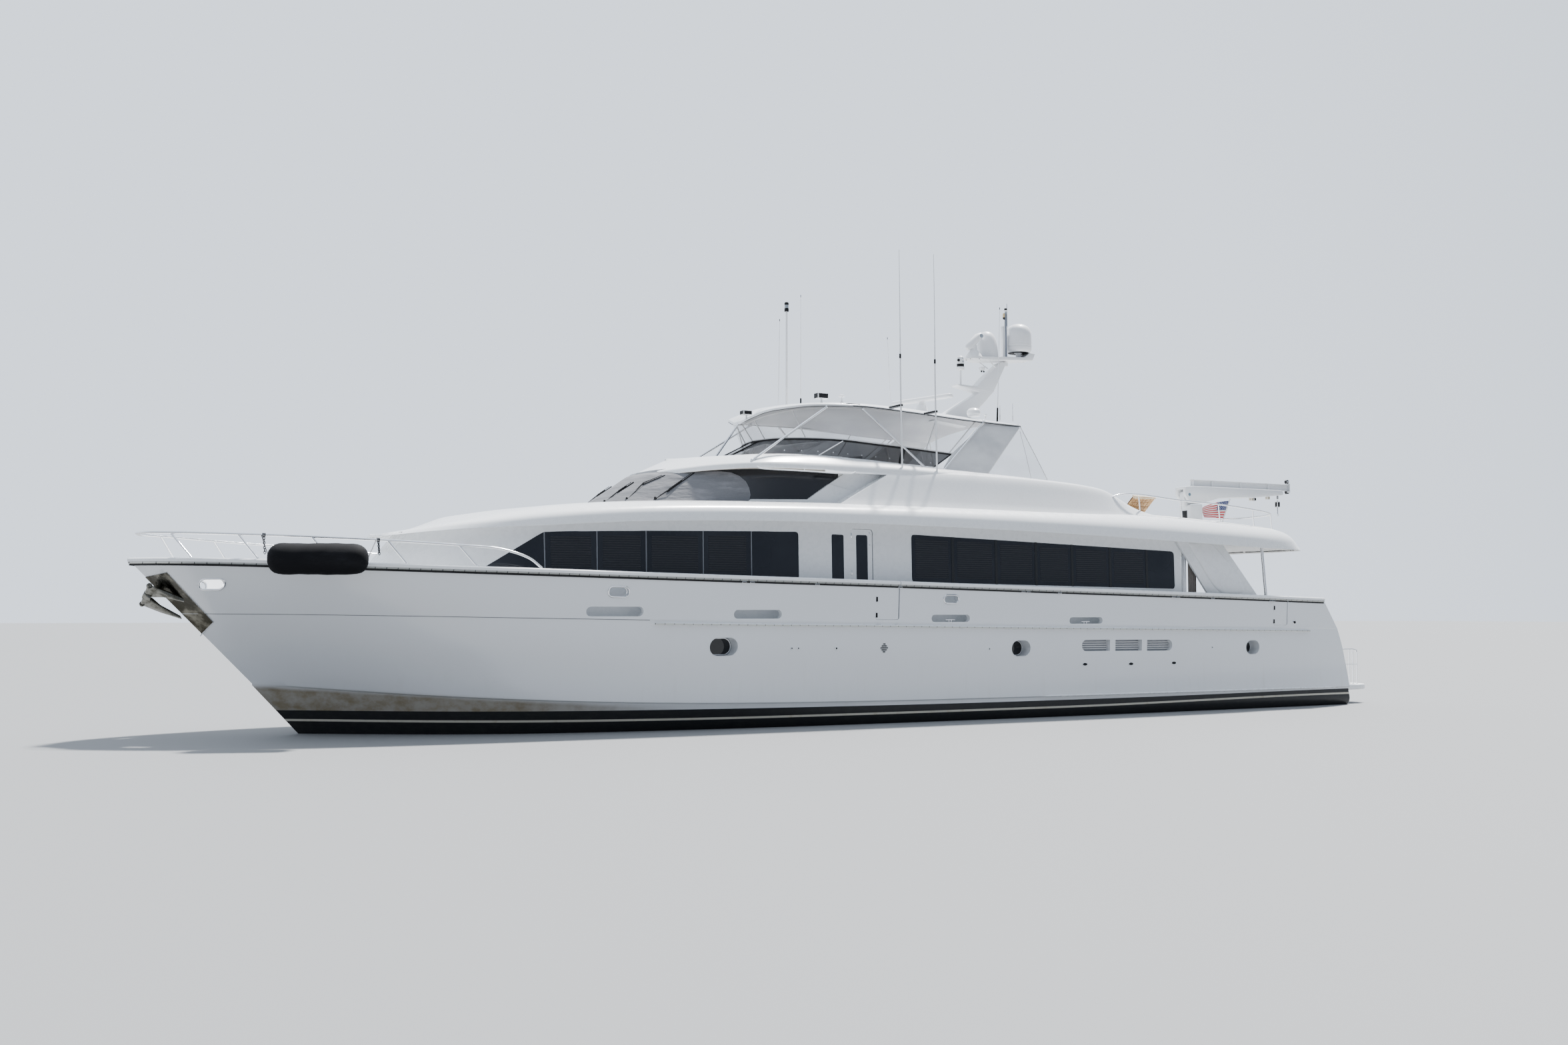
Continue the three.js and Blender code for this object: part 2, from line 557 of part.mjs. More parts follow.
for (const [side, of] of [['port', (b) => b], ['starboard', mirrorY]]) {
  piece(`house_side_${side}`, of(sideWall), material.gelcoat);
  piece(`window_forward_${side}`, of(pane(FORWARD_WINDOW)), material.glass);
  piece(`window_aft_${side}`, of(pane(AFT_WINDOW)), material.glass);
  piece(`side_door_${side}`, of(doorLeaf), material.gelcoat);
}
const frontWall = houseWall.intersect(box(SIDE_FRONT_SPLIT, FAR, -10, FAR, -FAR, FAR));
piece('house_front', both(frontWall), material.gelcoat);

// Aft bulkhead of the saloon with its sliding door
const AFT_DOOR = { half: 900, z0: 2080, z1: 3950 };
const bulkhead = onDeck(underRoof(box(HOUSE_AFT + 120, HOUSE_AFT + 180, -2600, 2600, 1900, 4400)))
  .subtract(box(HOUSE_AFT, HOUSE_AFT + 300, -AFT_DOOR.half, AFT_DOOR.half, AFT_DOOR.z0, AFT_DOOR.z1));
piece('aft_bulkhead', bulkhead, material.gelcoat);
const doorFoot = deckZ(HOUSE_AFT + 114) + GAP;
const slidingDoor = (y0, y1) => box(HOUSE_AFT + 64, HOUSE_AFT + 114, y0, y1, doorFoot, AFT_DOOR.z1 + 20);
piece('saloon_door_port', slidingDoor(5, AFT_DOOR.half + 60), material.glass);
piece('saloon_door_starboard', slidingDoor(-AFT_DOOR.half - 60, -5), material.glass);

// Swept wings from the roof down to the bulwark, and the posts at the aft end of the roof
const wing = onDeck(underRoof(profile([[-8130, 4300], [-9580, 4300], [-10950, 2790], [-9300, 2790]], 2705, 2775)));
const post = onDeck(underRoof(rod([-11390, 2450, 4300], [-11560, 2500, 1950], 38, 12)));
for (const [side, of] of [['port', (b) => b], ['starboard', mirrorY]]) {
  piece(`wing_${side}`, of(wing), material.gelcoat);
  piece(`post_${side}`, of(post), material.steel);
}

// Flybridge moulding: the brow over the pilothouse and the coamings that sweep aft along the boat deck
// edge x, y, z | lip x, y, z | coaming x, y, z
const BROW = [
  [4990, 0, 5320, 4960, 0, 5420, 4200, 0, 5760],
  [4860, 700, 5330, 4830, 680, 5435, 4100, 600, 5770],
  [4480, 1400, 5370, 4450, 1380, 5480, 3850, 1200, 5780],
  [3850, 2000, 5425, 3830, 1980, 5545, 3400, 1750, 5790],
  [3000, 2400, 5465, 3000, 2380, 5590, 2700, 2090, 5830],
  [1500, 2500, 5475, 1500, 2480, 5600, 1500, 2200, 5860],
  [400, 2530, 5470, 400, 2510, 5600, 400, 2260, 5830],
  [-800, 2550, 5460, -800, 2530, 5590, -800, 2300, 5740],
  [-2400, 2500, 5420, -2400, 2480, 5520, -2400, 2340, 5660],
  [-4400, 2440, 5360, -4400, 2420, 5450, -4400, 2340, 5560],
];
const browLine = (a) => BROW.map((r) => [r[a], r[a + 1], r[a + 2]]);
const browCentre = (a, dz) => BROW.map((r) => [r[a], 0, r[a + 2] + dz]);
const brow = skin(
  ringsAcross([browCentre(6, 60), browLine(6), browLine(3), browLine(0), browCentre(0, 40)], 27, true),
);
// x, foot y, foot z, shoulder z
const FAIRING = [
  [1500, 2900, 4600, 5560],
  [-500, 2920, 4600, 5580],
  [-2500, 2920, 4590, 5570],
  [-4500, 2910, 4580, 5520],
  [-5800, 2890, 4570, 5430],
  [-6300, 2875, 4565, 5350],
  [-6700, 2865, 4560, 5190],
  [-7100, 2855, 4555, 5000],
  [-7500, 2845, 4550, 4870],
  [-7900, 2830, 4545, 4790],
];
const fairingLine = (y, z) => FAIRING.map((r) => [r[0], y(r), z(r)]);
const fairingSide = skin(
  ringsAcross(
    [
      fairingLine(() => 1900, (r) => r[2]),
      fairingLine((r) => r[1], (r) => r[2]),
      fairingLine((r) => r[1] - 130, (r) => blend(r[2], r[3], 0.22)),
      fairingLine((r) => r[1] - 250, (r) => blend(r[2], r[3], 0.55)),
      fairingLine((r) => r[1] - 360, (r) => blend(r[2], r[3], 0.88)),
      fairingLine((r) => r[1] - 440, (r) => r[3]),
      fairingLine(() => 1900, (r) => r[3] + 10),
    ],
    21,
    false,
  ),
);
// The side window opens forward of this line
const windowAft = [[300, 5826], [893, 5447], [1866, 4828], [2500, 4420], [3000, 4000], [3000, 7000], [300, 7000]];
const frontSlope = profile([[FAR, 5440], [-60, 5440], [1360, 4690], [1600, 4000], [FAR, 4000]], 2300, 4000);
const cockpit = box(-9000, 900, -2260, 2260, 4000, 7000);
const pilotRoom = box(1000, 6500, -2150, 2150, 4000, 5520);
const consoleFront = box(880, 1020, -2250, 2250, 4700, 5800);
const flybridge = brow
  .add(both(fairingSide.subtract(frontSlope).subtract(profile(windowAft, 1000, 2500))))
  .subtract(box(-9000, 900, -2260, 2260, 4000, 5700))
  .subtract(cockpit)
  .subtract(pilotRoom)
  .add(consoleFront)
  .subtract(roofTopCut);
piece('flybridge', flybridge, material.gelcoat);

// Pilothouse glass round the front and sides: foot x, y, z | head x, y, z
const PILOT = [
  [6120, 0, 4660, 4860, 0, 5480],
  [5940, 800, 4660, 4740, 700, 5490],
  [5330, 1500, 4670, 4310, 1350, 5510],
  [4330, 2040, 4700, 3680, 1800, 5540],
  [3250, 2290, 4720, 2950, 2120, 5570],
  [1780, 2330, 4720, 820, 2220, 5560],
];
const pilotGlass = wall([PILOT.map((r) => r.slice(0, 3)), PILOT.map((r) => r.slice(3))], 20, 0, 30)
  .intersect(half(1));
const pilotMullion = profile([[6120, 4650], [4870, 5470], [4830, 5440], [6080, 4620]], -40, 40);
const pilotCut = flybridge.add(flybridge.translate(0, 0, -GAP)).add(roofTopCut).add(roofSolid);
const pilothouseGlass = largest(both(pilotGlass).add(pilotMullion).subtract(pilotCut));
piece('pilothouse_glass', pilothouseGlass, material.glass);

// Tinted windscreen on the flybridge coaming: foot x, y, z | head x, y, z
const SCREEN = [
  [3250, 0, 5900, 2000, 0, 6320],
  [3050, 900, 5890, 1850, 850, 6300],
  [2500, 1700, 5890, 1450, 1550, 6260],
  [1500, 2120, 5880, 850, 2050, 6210],
  [0, 2200, 5820, -250, 2150, 6140],
  [-2000, 2250, 5720, -2050, 2170, 6030],
];
const screenWall = wall([SCREEN.map(([x, y, z]) => [x, y, z - 160]), SCREEN.map((r) => r.slice(3))], 15, 0, 30);
const flybridgeCut = flybridge.add(flybridge.translate(0, 0, GAP));
const screenEnd = profile([[-2600, 6300], [-2033, 6027], [-1527, 5700], [-1400, 5500], [-2600, 5500]], 500, 4000);
const windscreen = largest(both(screenWall.subtract(screenEnd)).add(box(1900, 3300, -15, 15, 5900, 5930)).subtract(flybridgeCut));
piece('flybridge_windscreen', windscreen, material.glass);

// Hardtop on its slanting struts: x, half width, edge z, crown z
const HARDTOP = [
  [3050, 500, 6600, 6640],
  [2850, 1350, 6660, 6760],
  [2400, 1800, 6790, 6960],
  [1500, 2000, 6930, 7150],
  [300, 2040, 6990, 7300],
  [-1000, 2040, 6960, 7320],
  [-2600, 2020, 6870, 7230],
  [-4170, 1960, 6830, 7080],
];
const HARDTOP_THICK = 70;
const hardtopLine = (y, z) => HARDTOP.map((r) => [r[0], y(r), z(r)]);
const hardtopShell = skin(
  ringsAcross(
    [
      hardtopLine(() => 0, (r) => r[3]),
      hardtopLine((r) => r[1] * 0.6, (r) => blend(r[2], r[3], 0.68)),
      hardtopLine((r) => r[1], (r) => r[2] + 30),
      hardtopLine((r) => r[1], (r) => r[2] - 25),
      hardtopLine((r) => r[1] * 0.6, (r) => blend(r[2], r[3], 0.68) - HARDTOP_THICK),
      hardtopLine(() => 0, (r) => r[3] - HARDTOP_THICK),
    ],
    14,
    true,
  ),
);
const STRUTS = [
  [[3850, 2080, 5700], [3000, 1250, 6640]],
  [[3150, 2250, 5640], [1180, 1980, 6950]],
  [[-1340, 2380, 5540], [240, 2000, 6960]],
  [[-1600, 2360, 5540], [-3080, 1985, 6870]],
];
const strutBars = union(STRUTS.map(([foot, head]) => rod(foot, head, 26, 8)));
const RADAR = { x: -2650, y: 0, top: 7475, length: 1970, rest: 13 };
const pedestal = turned([[0, 7180], [170, 7180], [150, 7350], [120, RADAR.top], [0, RADAR.top]], RADAR.x, RADAR.y, 14);
const hardtop = hardtopShell.add(both(strutBars)).add(pedestal).subtract(flybridgeCut).subtract(windscreen.add(windscreen.translate(0, 0, GAP)));
piece('hardtop', largest(hardtop), material.gelcoat);

// Fabric panels lean out from the hardtop to the coaming, with clear gussets behind them
const AFT_PANEL = [[-3170, 6950], [-4130, 6950], [-4130, 6800], [-2710, 5290], [-1750, 5290], [-1750, 5660], [-2060, 6030], [-3170, 6860]];
const GUSSET = [[-4130, 6850], [-4130, 6800], [-2710, 5290], [-4660, 5290], [-4660, 5510], [-4450, 6100], [-4170, 6850]];
const PANEL_LEAN = { y: 1950, z: 6800, degrees: 16.7 };
const leaning = (outline, thickness) =>
  profile(outline, 0, thickness)
    .translate(0, 0, -PANEL_LEAN.z)
    .rotate([PANEL_LEAN.degrees, 0, 0])
    .translate(0, PANEL_LEAN.y, PANEL_LEAN.z);
const hardtopCut = hardtop.add(hardtop.translate(0, 0, -GAP));
const panelCut = hardtopCut.add(hardtop.translate(0, GAP, 0)).add(hardtop.translate(0, -GAP, 0));
const closed = (body) => largest(body.subtract(flybridgeCut).subtract(panelCut));
const aftPanel = closed(leaning(AFT_PANEL, 25));
const gusset = closed(leaning(GUSSET, 12).subtract(leaning(AFT_PANEL, 25).translate(-GAP, 0, 0)));
for (const [side, of] of [['port', (b) => b], ['starboard', mirrorY]]) {
  piece(`aft_panel_${side}`, of(aftPanel), material.fabric);
  piece(`gusset_${side}`, of(gusset), material.clear);
}

// Mast raked aft over the hardtop, with its platform, arm and wing
const MAST = [[-2920, 7100], [-3850, 6980], [-4040, 7271], [-4364, 7575], [-4713, 7925], [-5120, 8700], [-4957, 8700], [-4507, 8329],
  [-4209, 8036], [-3613, 8051], [-3649, 8003], [-4269, 7884]];
const MAST_WING = [[-4100, 8760], [-4640, 8790], [-5620, 8865], [-5800, 8990], [-5975, 8980], [-5885, 8800], [-5390, 8760], [-4640, 8700],
  [-4100, 8690]];
const WING_PLAN = [[-4100, -160], [-4300, -300], [-5000, -300], [-5700, -220], [-6000, -200], [-6000, 200], [-5700, 220], [-5000, 300],
  [-4300, 300], [-4100, 160]];
const mast = profile(MAST, -160, 160)
  .add(profile(MAST_WING, -400, 400).intersect(plate(WING_PLAN, 8000, 9500)))
  .subtract(hardtopCut.add(hardtop.translate(0, 0, GAP)));
piece('mast', largest(mast), material.gelcoat);
const onMast = (body) => largest(body.subtract(mast.add(mast.translate(0, 0, GAP))));
const aftDome = turned([[0, 8840], [70, 8840], [70, 9000], [280, 9000], [335, 9120], [335, 9460], [315, 9560], [260, 9650], [150, 9720],
  [0, 9745]], -5590, 0, 18);
piece('dome_aft', onMast(aftDome), material.gelcoat);
const foreDome = turned([[0, 8770], [290, 8770], [295, 8870], [285, 9020], [250, 9250], [200, 9370], [110, 9455], [0, 9480]], -4640, -60, 18);
piece('dome_forward', onMast(foreDome), material.gelcoat);

// Radar scanner bar that turns on its pedestal
const scanner = box(-110, 110, -RADAR.length / 2, RADAR.length / 2, 80, 190)
  .add(turned([[0, GAP], [90, GAP], [70, 90], [0, 90]], 0, 0, 14))
  .rotate([0, 0, RADAR.rest])
  .translate(RADAR.x, RADAR.y, RADAR.top);
piece('radar_scanner', scanner, material.gelcoat);

// Light pole on the hardtop and whip aerials on the coaming
const lightPole = rod([1110, 0, 7150], [1110, 0, 9660], 30, 8, 24).subtract(hardtop.translate(0, 0, GAP));
piece('light_pole', largest(lightPole), material.gelcoat);
const TALL_WHIPS = [['whip_port_fore', -500], ['whip_port_aft', -1430]];
for (const [name, x] of TALL_WHIPS) {
  const whip = rod([x, 2480, 5480], [x + 40, 2480, 7700], 20, 8).add(rod([x + 40, 2480, 7690], [x + 60, 2480, 10560], 14, 8, 8));
  piece(name, largest(whip.subtract(flybridgeCut)), material.gelcoat);
}

// Helm on the flybridge: console, wheel and two seats on one low plinth
const plinth = box(-700, 700, -1400, 1400, 4800, 5020).add(box(480, 860, -1300, 1300, 5000, 5720));
const seat = (y) => box(-420, 60, y - 260, y + 260, 5000, 5450).add(box(-520, -400, y - 260, y + 260, 5000, 6050));
const helm = plinth.add(seat(500)).add(seat(-500)).add(rod([440, 500, 5560], [490, 500, 5600], 190, 14)).subtract(roofTopCut);
piece('helm', largest(helm), material.gelcoat);

// Boat deck: crane, teak bench, rail, ensign
const CRANE = { x: -11250, y: 0, base: 4800, pivotX: -155, pivotZ: 5570, half: 220, slot: 100, tongue: 90 };
const craneBase = turned([[0, 4300], [300, 4300], [280, CRANE.base], [0, CRANE.base]], CRANE.x, CRANE.y, 16).subtract(roofTopCut);
piece('crane_base', largest(craneBase), material.gelcoat);
const craneAway = (body) => body.rotate([0, 0, 180]).translate(CRANE.x, CRANE.y, 0);
const cranePost = profile([[-150, CRANE.base + GAP], [290, CRANE.base + GAP], [290, 5320], [-150, 5300]], -CRANE.half, CRANE.half)
  .add(profile([[-240, 5250], [-20, 5250], [-40, 5620], [-100, 5660], [-210, 5660], [-250, 5620]], -CRANE.tongue, CRANE.tongue));
const CRANE_PIN_R = 30;
const cranePin = rod([CRANE.pivotX, -205, CRANE.pivotZ], [CRANE.pivotX, 205, CRANE.pivotZ], CRANE_PIN_R, 24);
piece('crane_post', craneAway(cranePost.add(cranePin)), material.gelcoat);
const craneTrack = box(90, 3730, -60, 60, 5805, 5850)
  .add(box(90, 3730, -12, 12, 5840, 5990))
  .add(box(90, 3730, -60, 60, 5980, 6000))
  .add(box(3690, 3750, -50, 50, 5740, 6130));
const craneBoom = profile(
  [[-306, 5580], [-306, 5780], [-7, 5810], [3260, 5815], [3315, 5780], [3315, 5680], [3000, 5650], [2210, 5573], [1030, 5531],
    [290, 5350], [-150, 5345]],
  -200,
  200,
)
  .subtract(box(-400, 100, -CRANE.slot, CRANE.slot, 5000, 5720))
  .add(craneTrack)
  .add(rod([3285, 0, 5700], [3285, 0, 5150], 20, 8))
  .add(box(3225, 3345, -60, 60, 5340, 5515));
const cranePinHole = rod([CRANE.pivotX, -300, CRANE.pivotZ], [CRANE.pivotX, 300, CRANE.pivotZ], CRANE_PIN_R + 0.6, 24);
piece('crane_boom', craneAway(craneBoom.subtract(cranePinHole)), material.gelcoat);

const BENCH_BACK = [[700, 4960], [760, 4920], [1260, 5330], [1220, 5390]];
const bench = box(-8940, -8240, 250, 780, 4700, 5060)
  .add(plate(BENCH_BACK, 0, 700).rotate([90, 0, 90]).translate(-8940, 0, 0))
  .subtract(roofTopCut);
piece('bench', largest(bench), material.teak);

const RAIL_Z = [[-6650, 2520, 5240], [-8600, 2560, 5170], [-10500, 2480, 5080], [-12000, 2200, 4960]];
const railHalf = (side) => RAIL_Z.map(([x, y, z]) => [x, y * side, z]);
const railTop = bent([[-6100, 2480, 4950], ...railHalf(1), [-12250, 1600, 4930], [-12300, 0, 4930], [-12250, -1600, 4930],
  ...railHalf(-1).reverse(), [-6100, -2480, 4950]], RAIL_R, 48, 6);
const RAIL_POSTS = [[-7300, 2520, 5215], [-8600, 2560, 5170], [-9900, 2510, 5110], [-11200, 2370, 5030], [-12000, 2195, 4965]];
const railPosts = union(RAIL_POSTS.map(([x, y, z]) => rod([x - 160, y - 90, 4380], [x, y, z], 15, 6)));
const boatDeckRail = railTop.add(both(railPosts)).subtract(roofTopCut).subtract(flybridgeCut);
piece('boat_deck_rail', largest(boatDeckRail), material.steel);

const STAFF = { foot: [-12140, 0, 4200], head: [-12735, 0, 5500] };
const flag = profile([[-12730, 5480], [-12490, 4975], [-11740, 4975], [-11740, 5250], [-12150, 5425]], -8, 8);
const ensign = rod(STAFF.foot, STAFF.head, 22, 8).add(flag).subtract(roofTopCut);
piece('ensign', largest(ensign), material.flag);

// Bow: rail, anchor pocket, anchor, windlass, fender
const BOW_RAIL = [[14950, 520, 3880], [14400, 950, 3870], [13480, 1600, 3835], [12260, 2170, 3790], [11000, 2560, 3735],
  [9670, 2830, 3660], [8900, 2960, 3600], [8350, 3040, 3430], [8100, 3070, 3240]];
const bowTop = bent([...BOW_RAIL.map(([x, y, z]) => [x, -y, z]).reverse(), [15080, 0, 3885], ...BOW_RAIL], RAIL_R, 54, 6);
const BOW_POSTS = [[14850, 560, 3880], [14000, 1230, 3855], [12900, 1870, 3815], [11300, 2470, 3750], [9950, 2780, 3675]];
const bowPosts = union(BOW_POSTS.map(([x, y, z]) => {
  const footX = x - 330;
  const [, footY] = at(SHEER, footX);
  return rod([footX, footY - 60, 3200], [x, y, z], 16, 6);
}));
const bowRail = bowTop.add(both(bowPosts)).subtract(both(bulwarkSolid.add(bulwarkSolid.translate(0, 0, GAP))));
piece('bow_rail', largest(bowRail), material.steel);

const FENDER = { x0: 11350, x1: 13140, z: 3360, r: 290 };
const fenderYaw = Math.atan2(at(SHEER, FENDER.x0)[1] - at(SHEER, FENDER.x1)[1], FENDER.x1 - FENDER.x0);
const fenderOut = FENDER.r + CAP_OVERHANG + 40;
const fenderX = (FENDER.x0 + FENDER.x1) / 2;
const fenderMid = [fenderX + fenderOut * Math.sin(fenderYaw), at(SHEER, fenderX)[1] + fenderOut * Math.cos(fenderYaw), FENDER.z];
const fenderLong = FENDER.x1 - FENDER.x0;
const fender = turned([[0, -fenderLong / 2], [150, -fenderLong / 2 + 15], [FENDER.r - 30, -fenderLong / 2 + 110], [FENDER.r, -fenderLong / 2 + 220],
  [FENDER.r, fenderLong / 2 - 220], [FENDER.r - 30, fenderLong / 2 - 110], [150, fenderLong / 2 - 15], [0, fenderLong / 2]], 0, 0, 16)
  .rotate([0, 90, 0])
  .rotate([0, 0, (-fenderYaw * 180) / Math.PI])
  .translate(...fenderMid);
piece('fender', largest(fender.subtract(bulwarkSolid.add(bulwarkSolid.translate(0, GAP, 0)))), material.rubber);

// Clear curtains between the windscreen and the hardtop: foot x, y, z | head x, y, z
const CURTAIN = [
  [2000, 0, 6330, 2750, 0, 6900],
  [1850, 850, 6310, 2600, 900, 6900],
  [1450, 1550, 6270, 2300, 1560, 6960],
  [850, 2050, 6220, 1350, 1900, 7050],
  [-600, 2165, 6135, -600, 1960, 7100],
  [-2060, 2175, 6035, -3050, 1950, 6960],
];
const curtainWall = wall([CURTAIN.map((r) => r.slice(0, 3)), CURTAIN.map((r) => r.slice(3))], 15, 4, 12);
const screenCut = windscreen.add(windscreen.translate(0, 0, GAP));
const topCut = panelCut.add(hardtop.translate(GAP, 0, 0)).add(hardtop.translate(-GAP, 0, 0)).add(hardtop.translate(0, 0, 120));
const curtain = both(curtainWall).add(box(1990, 2000, -12, 12, 6340, 6342)).subtract(screenCut).subtract(topCut);
piece('curtain', largest(curtain), material.clear);

// Polished pocket wrapped round the stem, with the anchor housed in it
const POCKET = [[15050, 3020], [14600, 3130], [13720, 2200], [13900, 1930], [15050, 1930]];
const stemSkin = wall([sideLine(0.7), knuckleLine], HULL_STEPS, -14, -1)
  .add(wall([lifted(knuckleLine, -5), bulwarkMid, SHEER], HULL_STEPS, -14, -1));
const pocketHalf = stemSkin.intersect(profile(POCKET, -200, 2000));
const anchorPocket = largest(both(pocketHalf).subtract(hullBare).subtract(both(bulwarkSolid.add(bulwarkSolid.translate(GAP, 0, 0)))));
piece('anchor_pocket', anchorPocket, material.steel);
const stemParts = anchorPocket.add(both(bulwarkSolid)).add(hullBare.intersect(box(13000, 16000, -500, 500, 1000, 4000)));
const hullStem = stemParts.add(stemParts.translate(1, 0, 0)).add(stemParts.translate(0.5, 0, 0.5));
const ANCHOR = { x: 14950, z: 2760, reach: 330, length: 780, tilt: -41 };
const fluke = (side) => plate([[0, 50 * side], [0, ANCHOR.reach * side], [-ANCHOR.length, 110 * side], [-ANCHOR.length * 0.8, 40 * side]], -14, 14)
  .rotate([0, ANCHOR.tilt, 0])
  .translate(ANCHOR.x, 0, ANCHOR.z);
const anchor = union([
  rod([ANCHOR.x, -ANCHOR.reach, ANCHOR.z], [ANCHOR.x, ANCHOR.reach, ANCHOR.z], 24, 8),
  fluke(1),
  fluke(-1),
  rod([ANCHOR.x, 0, ANCHOR.z], [ANCHOR.x - 330, 0, ANCHOR.z + 60], 70, 8),
]).subtract(hullStem);
piece('anchor', largest(anchor), material.steel);

const WINDLASS_X = 12950;
const windlass = box(WINDLASS_X - 420, WINDLASS_X + 420, -330, 330, FOREDECK_Z + GAP, FOREDECK_Z + 90)
  .add(both(turned([[0, 60], [170, 60], [150, 180], [110, 240], [110, 330], [150, 360], [0, 360]], 0, 0, 14)
    .translate(WINDLASS_X, 200, FOREDECK_Z)));
piece('windlass', windlass, material.steel);

export default yacht;
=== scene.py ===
"""A 30.5 m raised-pilothouse motor yacht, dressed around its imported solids.

Metres. +X runs to the bow, +Y to port and +Z up, and z = 0 is the waterline.
"""
from math import atan2, cos, dist, exp, hypot, pi, radians, sin

import bmesh
import bpy
import numpy as np
from mathutils import Matrix, Vector


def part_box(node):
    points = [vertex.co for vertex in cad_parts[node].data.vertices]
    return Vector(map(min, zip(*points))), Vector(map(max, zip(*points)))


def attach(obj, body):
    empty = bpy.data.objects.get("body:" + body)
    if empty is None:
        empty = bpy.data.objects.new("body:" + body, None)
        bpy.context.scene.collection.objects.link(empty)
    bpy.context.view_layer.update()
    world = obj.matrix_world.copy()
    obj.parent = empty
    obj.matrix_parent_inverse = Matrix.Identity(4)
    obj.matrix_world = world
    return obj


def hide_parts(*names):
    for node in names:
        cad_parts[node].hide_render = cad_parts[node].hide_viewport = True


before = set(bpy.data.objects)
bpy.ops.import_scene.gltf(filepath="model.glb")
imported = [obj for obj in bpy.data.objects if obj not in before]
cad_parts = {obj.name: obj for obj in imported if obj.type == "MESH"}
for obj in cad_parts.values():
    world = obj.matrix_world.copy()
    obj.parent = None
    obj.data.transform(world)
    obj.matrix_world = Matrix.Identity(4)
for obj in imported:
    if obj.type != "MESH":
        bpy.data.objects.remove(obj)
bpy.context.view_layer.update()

# Camera
# The picture was taken off the port bow from just above eye height over the water, with a
# level horizon and a moderately wide lens.
CAMERA_PLACE = Vector((17.79, 31.24, 2.36))
CAMERA_HEADING = radians(62)
CAMERA_PITCH = radians(3.428)
camera = bpy.data.objects.new("camera", bpy.data.cameras.new("camera"))
bpy.context.scene.collection.objects.link(camera)
camera.data.lens = 35
camera.data.sensor_width = 36
camera.data.clip_end = 500
camera.location = CAMERA_PLACE
looking = Vector((
    -cos(CAMERA_HEADING) * cos(CAMERA_PITCH),
    -sin(CAMERA_HEADING) * cos(CAMERA_PITCH),
    sin(CAMERA_PITCH),
))
camera.rotation_euler = looking.to_track_quat("-Z", "Y").to_euler()
bpy.context.scene.camera = camera


# Shader maths
# A Value is one socket in a node tree, and arithmetic on it adds Math nodes. A Finish is a
# material, or the sky, and its node() adds any other node.
class Value:
    def __init__(self, finish, socket):
        self.finish = finish
        self.socket = socket

    def math(self, operation, *inputs):
        return self.finish.node("Math", {"operation": operation}, dict(enumerate(inputs)))

    def __add__(self, other):
        return self.math("ADD", self, other)

    def __sub__(self, other):
        return self.math("SUBTRACT", self, other)

    def __rsub__(self, other):
        return self.math("SUBTRACT", other, self)

    def __mul__(self, other):
        return self.math("MULTIPLY", self, other)

    def __lt__(self, other):
        return self.math("LESS_THAN", self, other)

    __radd__ = __add__
    __rmul__ = __mul__

    def fade(self, low, high):
        """0 below low and 1 above high, with a smooth rise between them."""
        settings = {"interpolation_type": "SMOOTHSTEP"}
        return self.finish.node("MapRange", settings, {0: self, 1: low, 2: high})


class Finish:
    def __init__(self, name, kind=bpy.data.materials, shader="Principled BSDF", **constants):
        self.material = kind.new(name)
        self.material.use_nodes = True
        self.nodes = self.material.node_tree.nodes
        self.links = self.material.node_tree.links
        self.shader = self.nodes[shader]
        for socket, value in constants.items():
            self.set(socket.replace("_", " ").title(), value)

    def feed(self, socket, value):
        if isinstance(value, Value):
            self.links.new(value.socket, socket)
        elif hasattr(socket.default_value,
                "__len__") and len(value) == 3 and len(socket.default_value) == 4:
            socket.default_value = (*value, 1)
        else:
            socket.default_value = value

    def set(self, socket, value):
        named = {"Coat": "Coat Weight", "Specular": "Specular IOR Level"}
        self.feed(self.shader.inputs[named.get(socket, socket)], value)
        return self

    def node(self, kind, settings=None, inputs=None, output=0):
        made = self.nodes.new("ShaderNode" + kind)
        for name, value in (settings or {}).items():
            setattr(made, name, value)
        for key, value in (inputs or {}).items():
            self.feed(made.inputs[key], value)
        return Value(self, made.outputs[output])

    def place(self, space="Object"):
        return self.node("TexCoord", output=space)

    def axes(self, space="Object"):
        split = self.node("SeparateXYZ", inputs={0: self.place(space)})
        return [Value(self, socket) for socket in split.socket.node.outputs]

    def noise(self, scale, detail=3, roughness=0.5, stretch=(1, 1, 1)):
        """Noise from 0 to 1, with a number of waves to the metre along each axis."""
        where = self.node("VectorMath", {"operation": "MULTIPLY"}, {0: self.place(), 1: stretch})
        inputs = {"Vector": where, "Scale": scale, "Detail": detail, "Roughness": roughness}
        return self.node("TexNoise", inputs=inputs)

    def mix(self, share, a, b):
        """Colour a where share is 0 and colour b where it is 1."""
        return self.node("Mix", {"data_type": "RGBA"}, {0: share, 6: a, 7: b}, 2)

    def colour(self, share, a, b):
        return self.set("Base Color", self.mix(share, a, b))

    def bump(self, height, strength=0.3, distance=0.002):
        inputs = {"Height": height, "Strength": strength, "Distance": distance}
        return self.set("Normal", self.node("Bump", inputs=inputs))


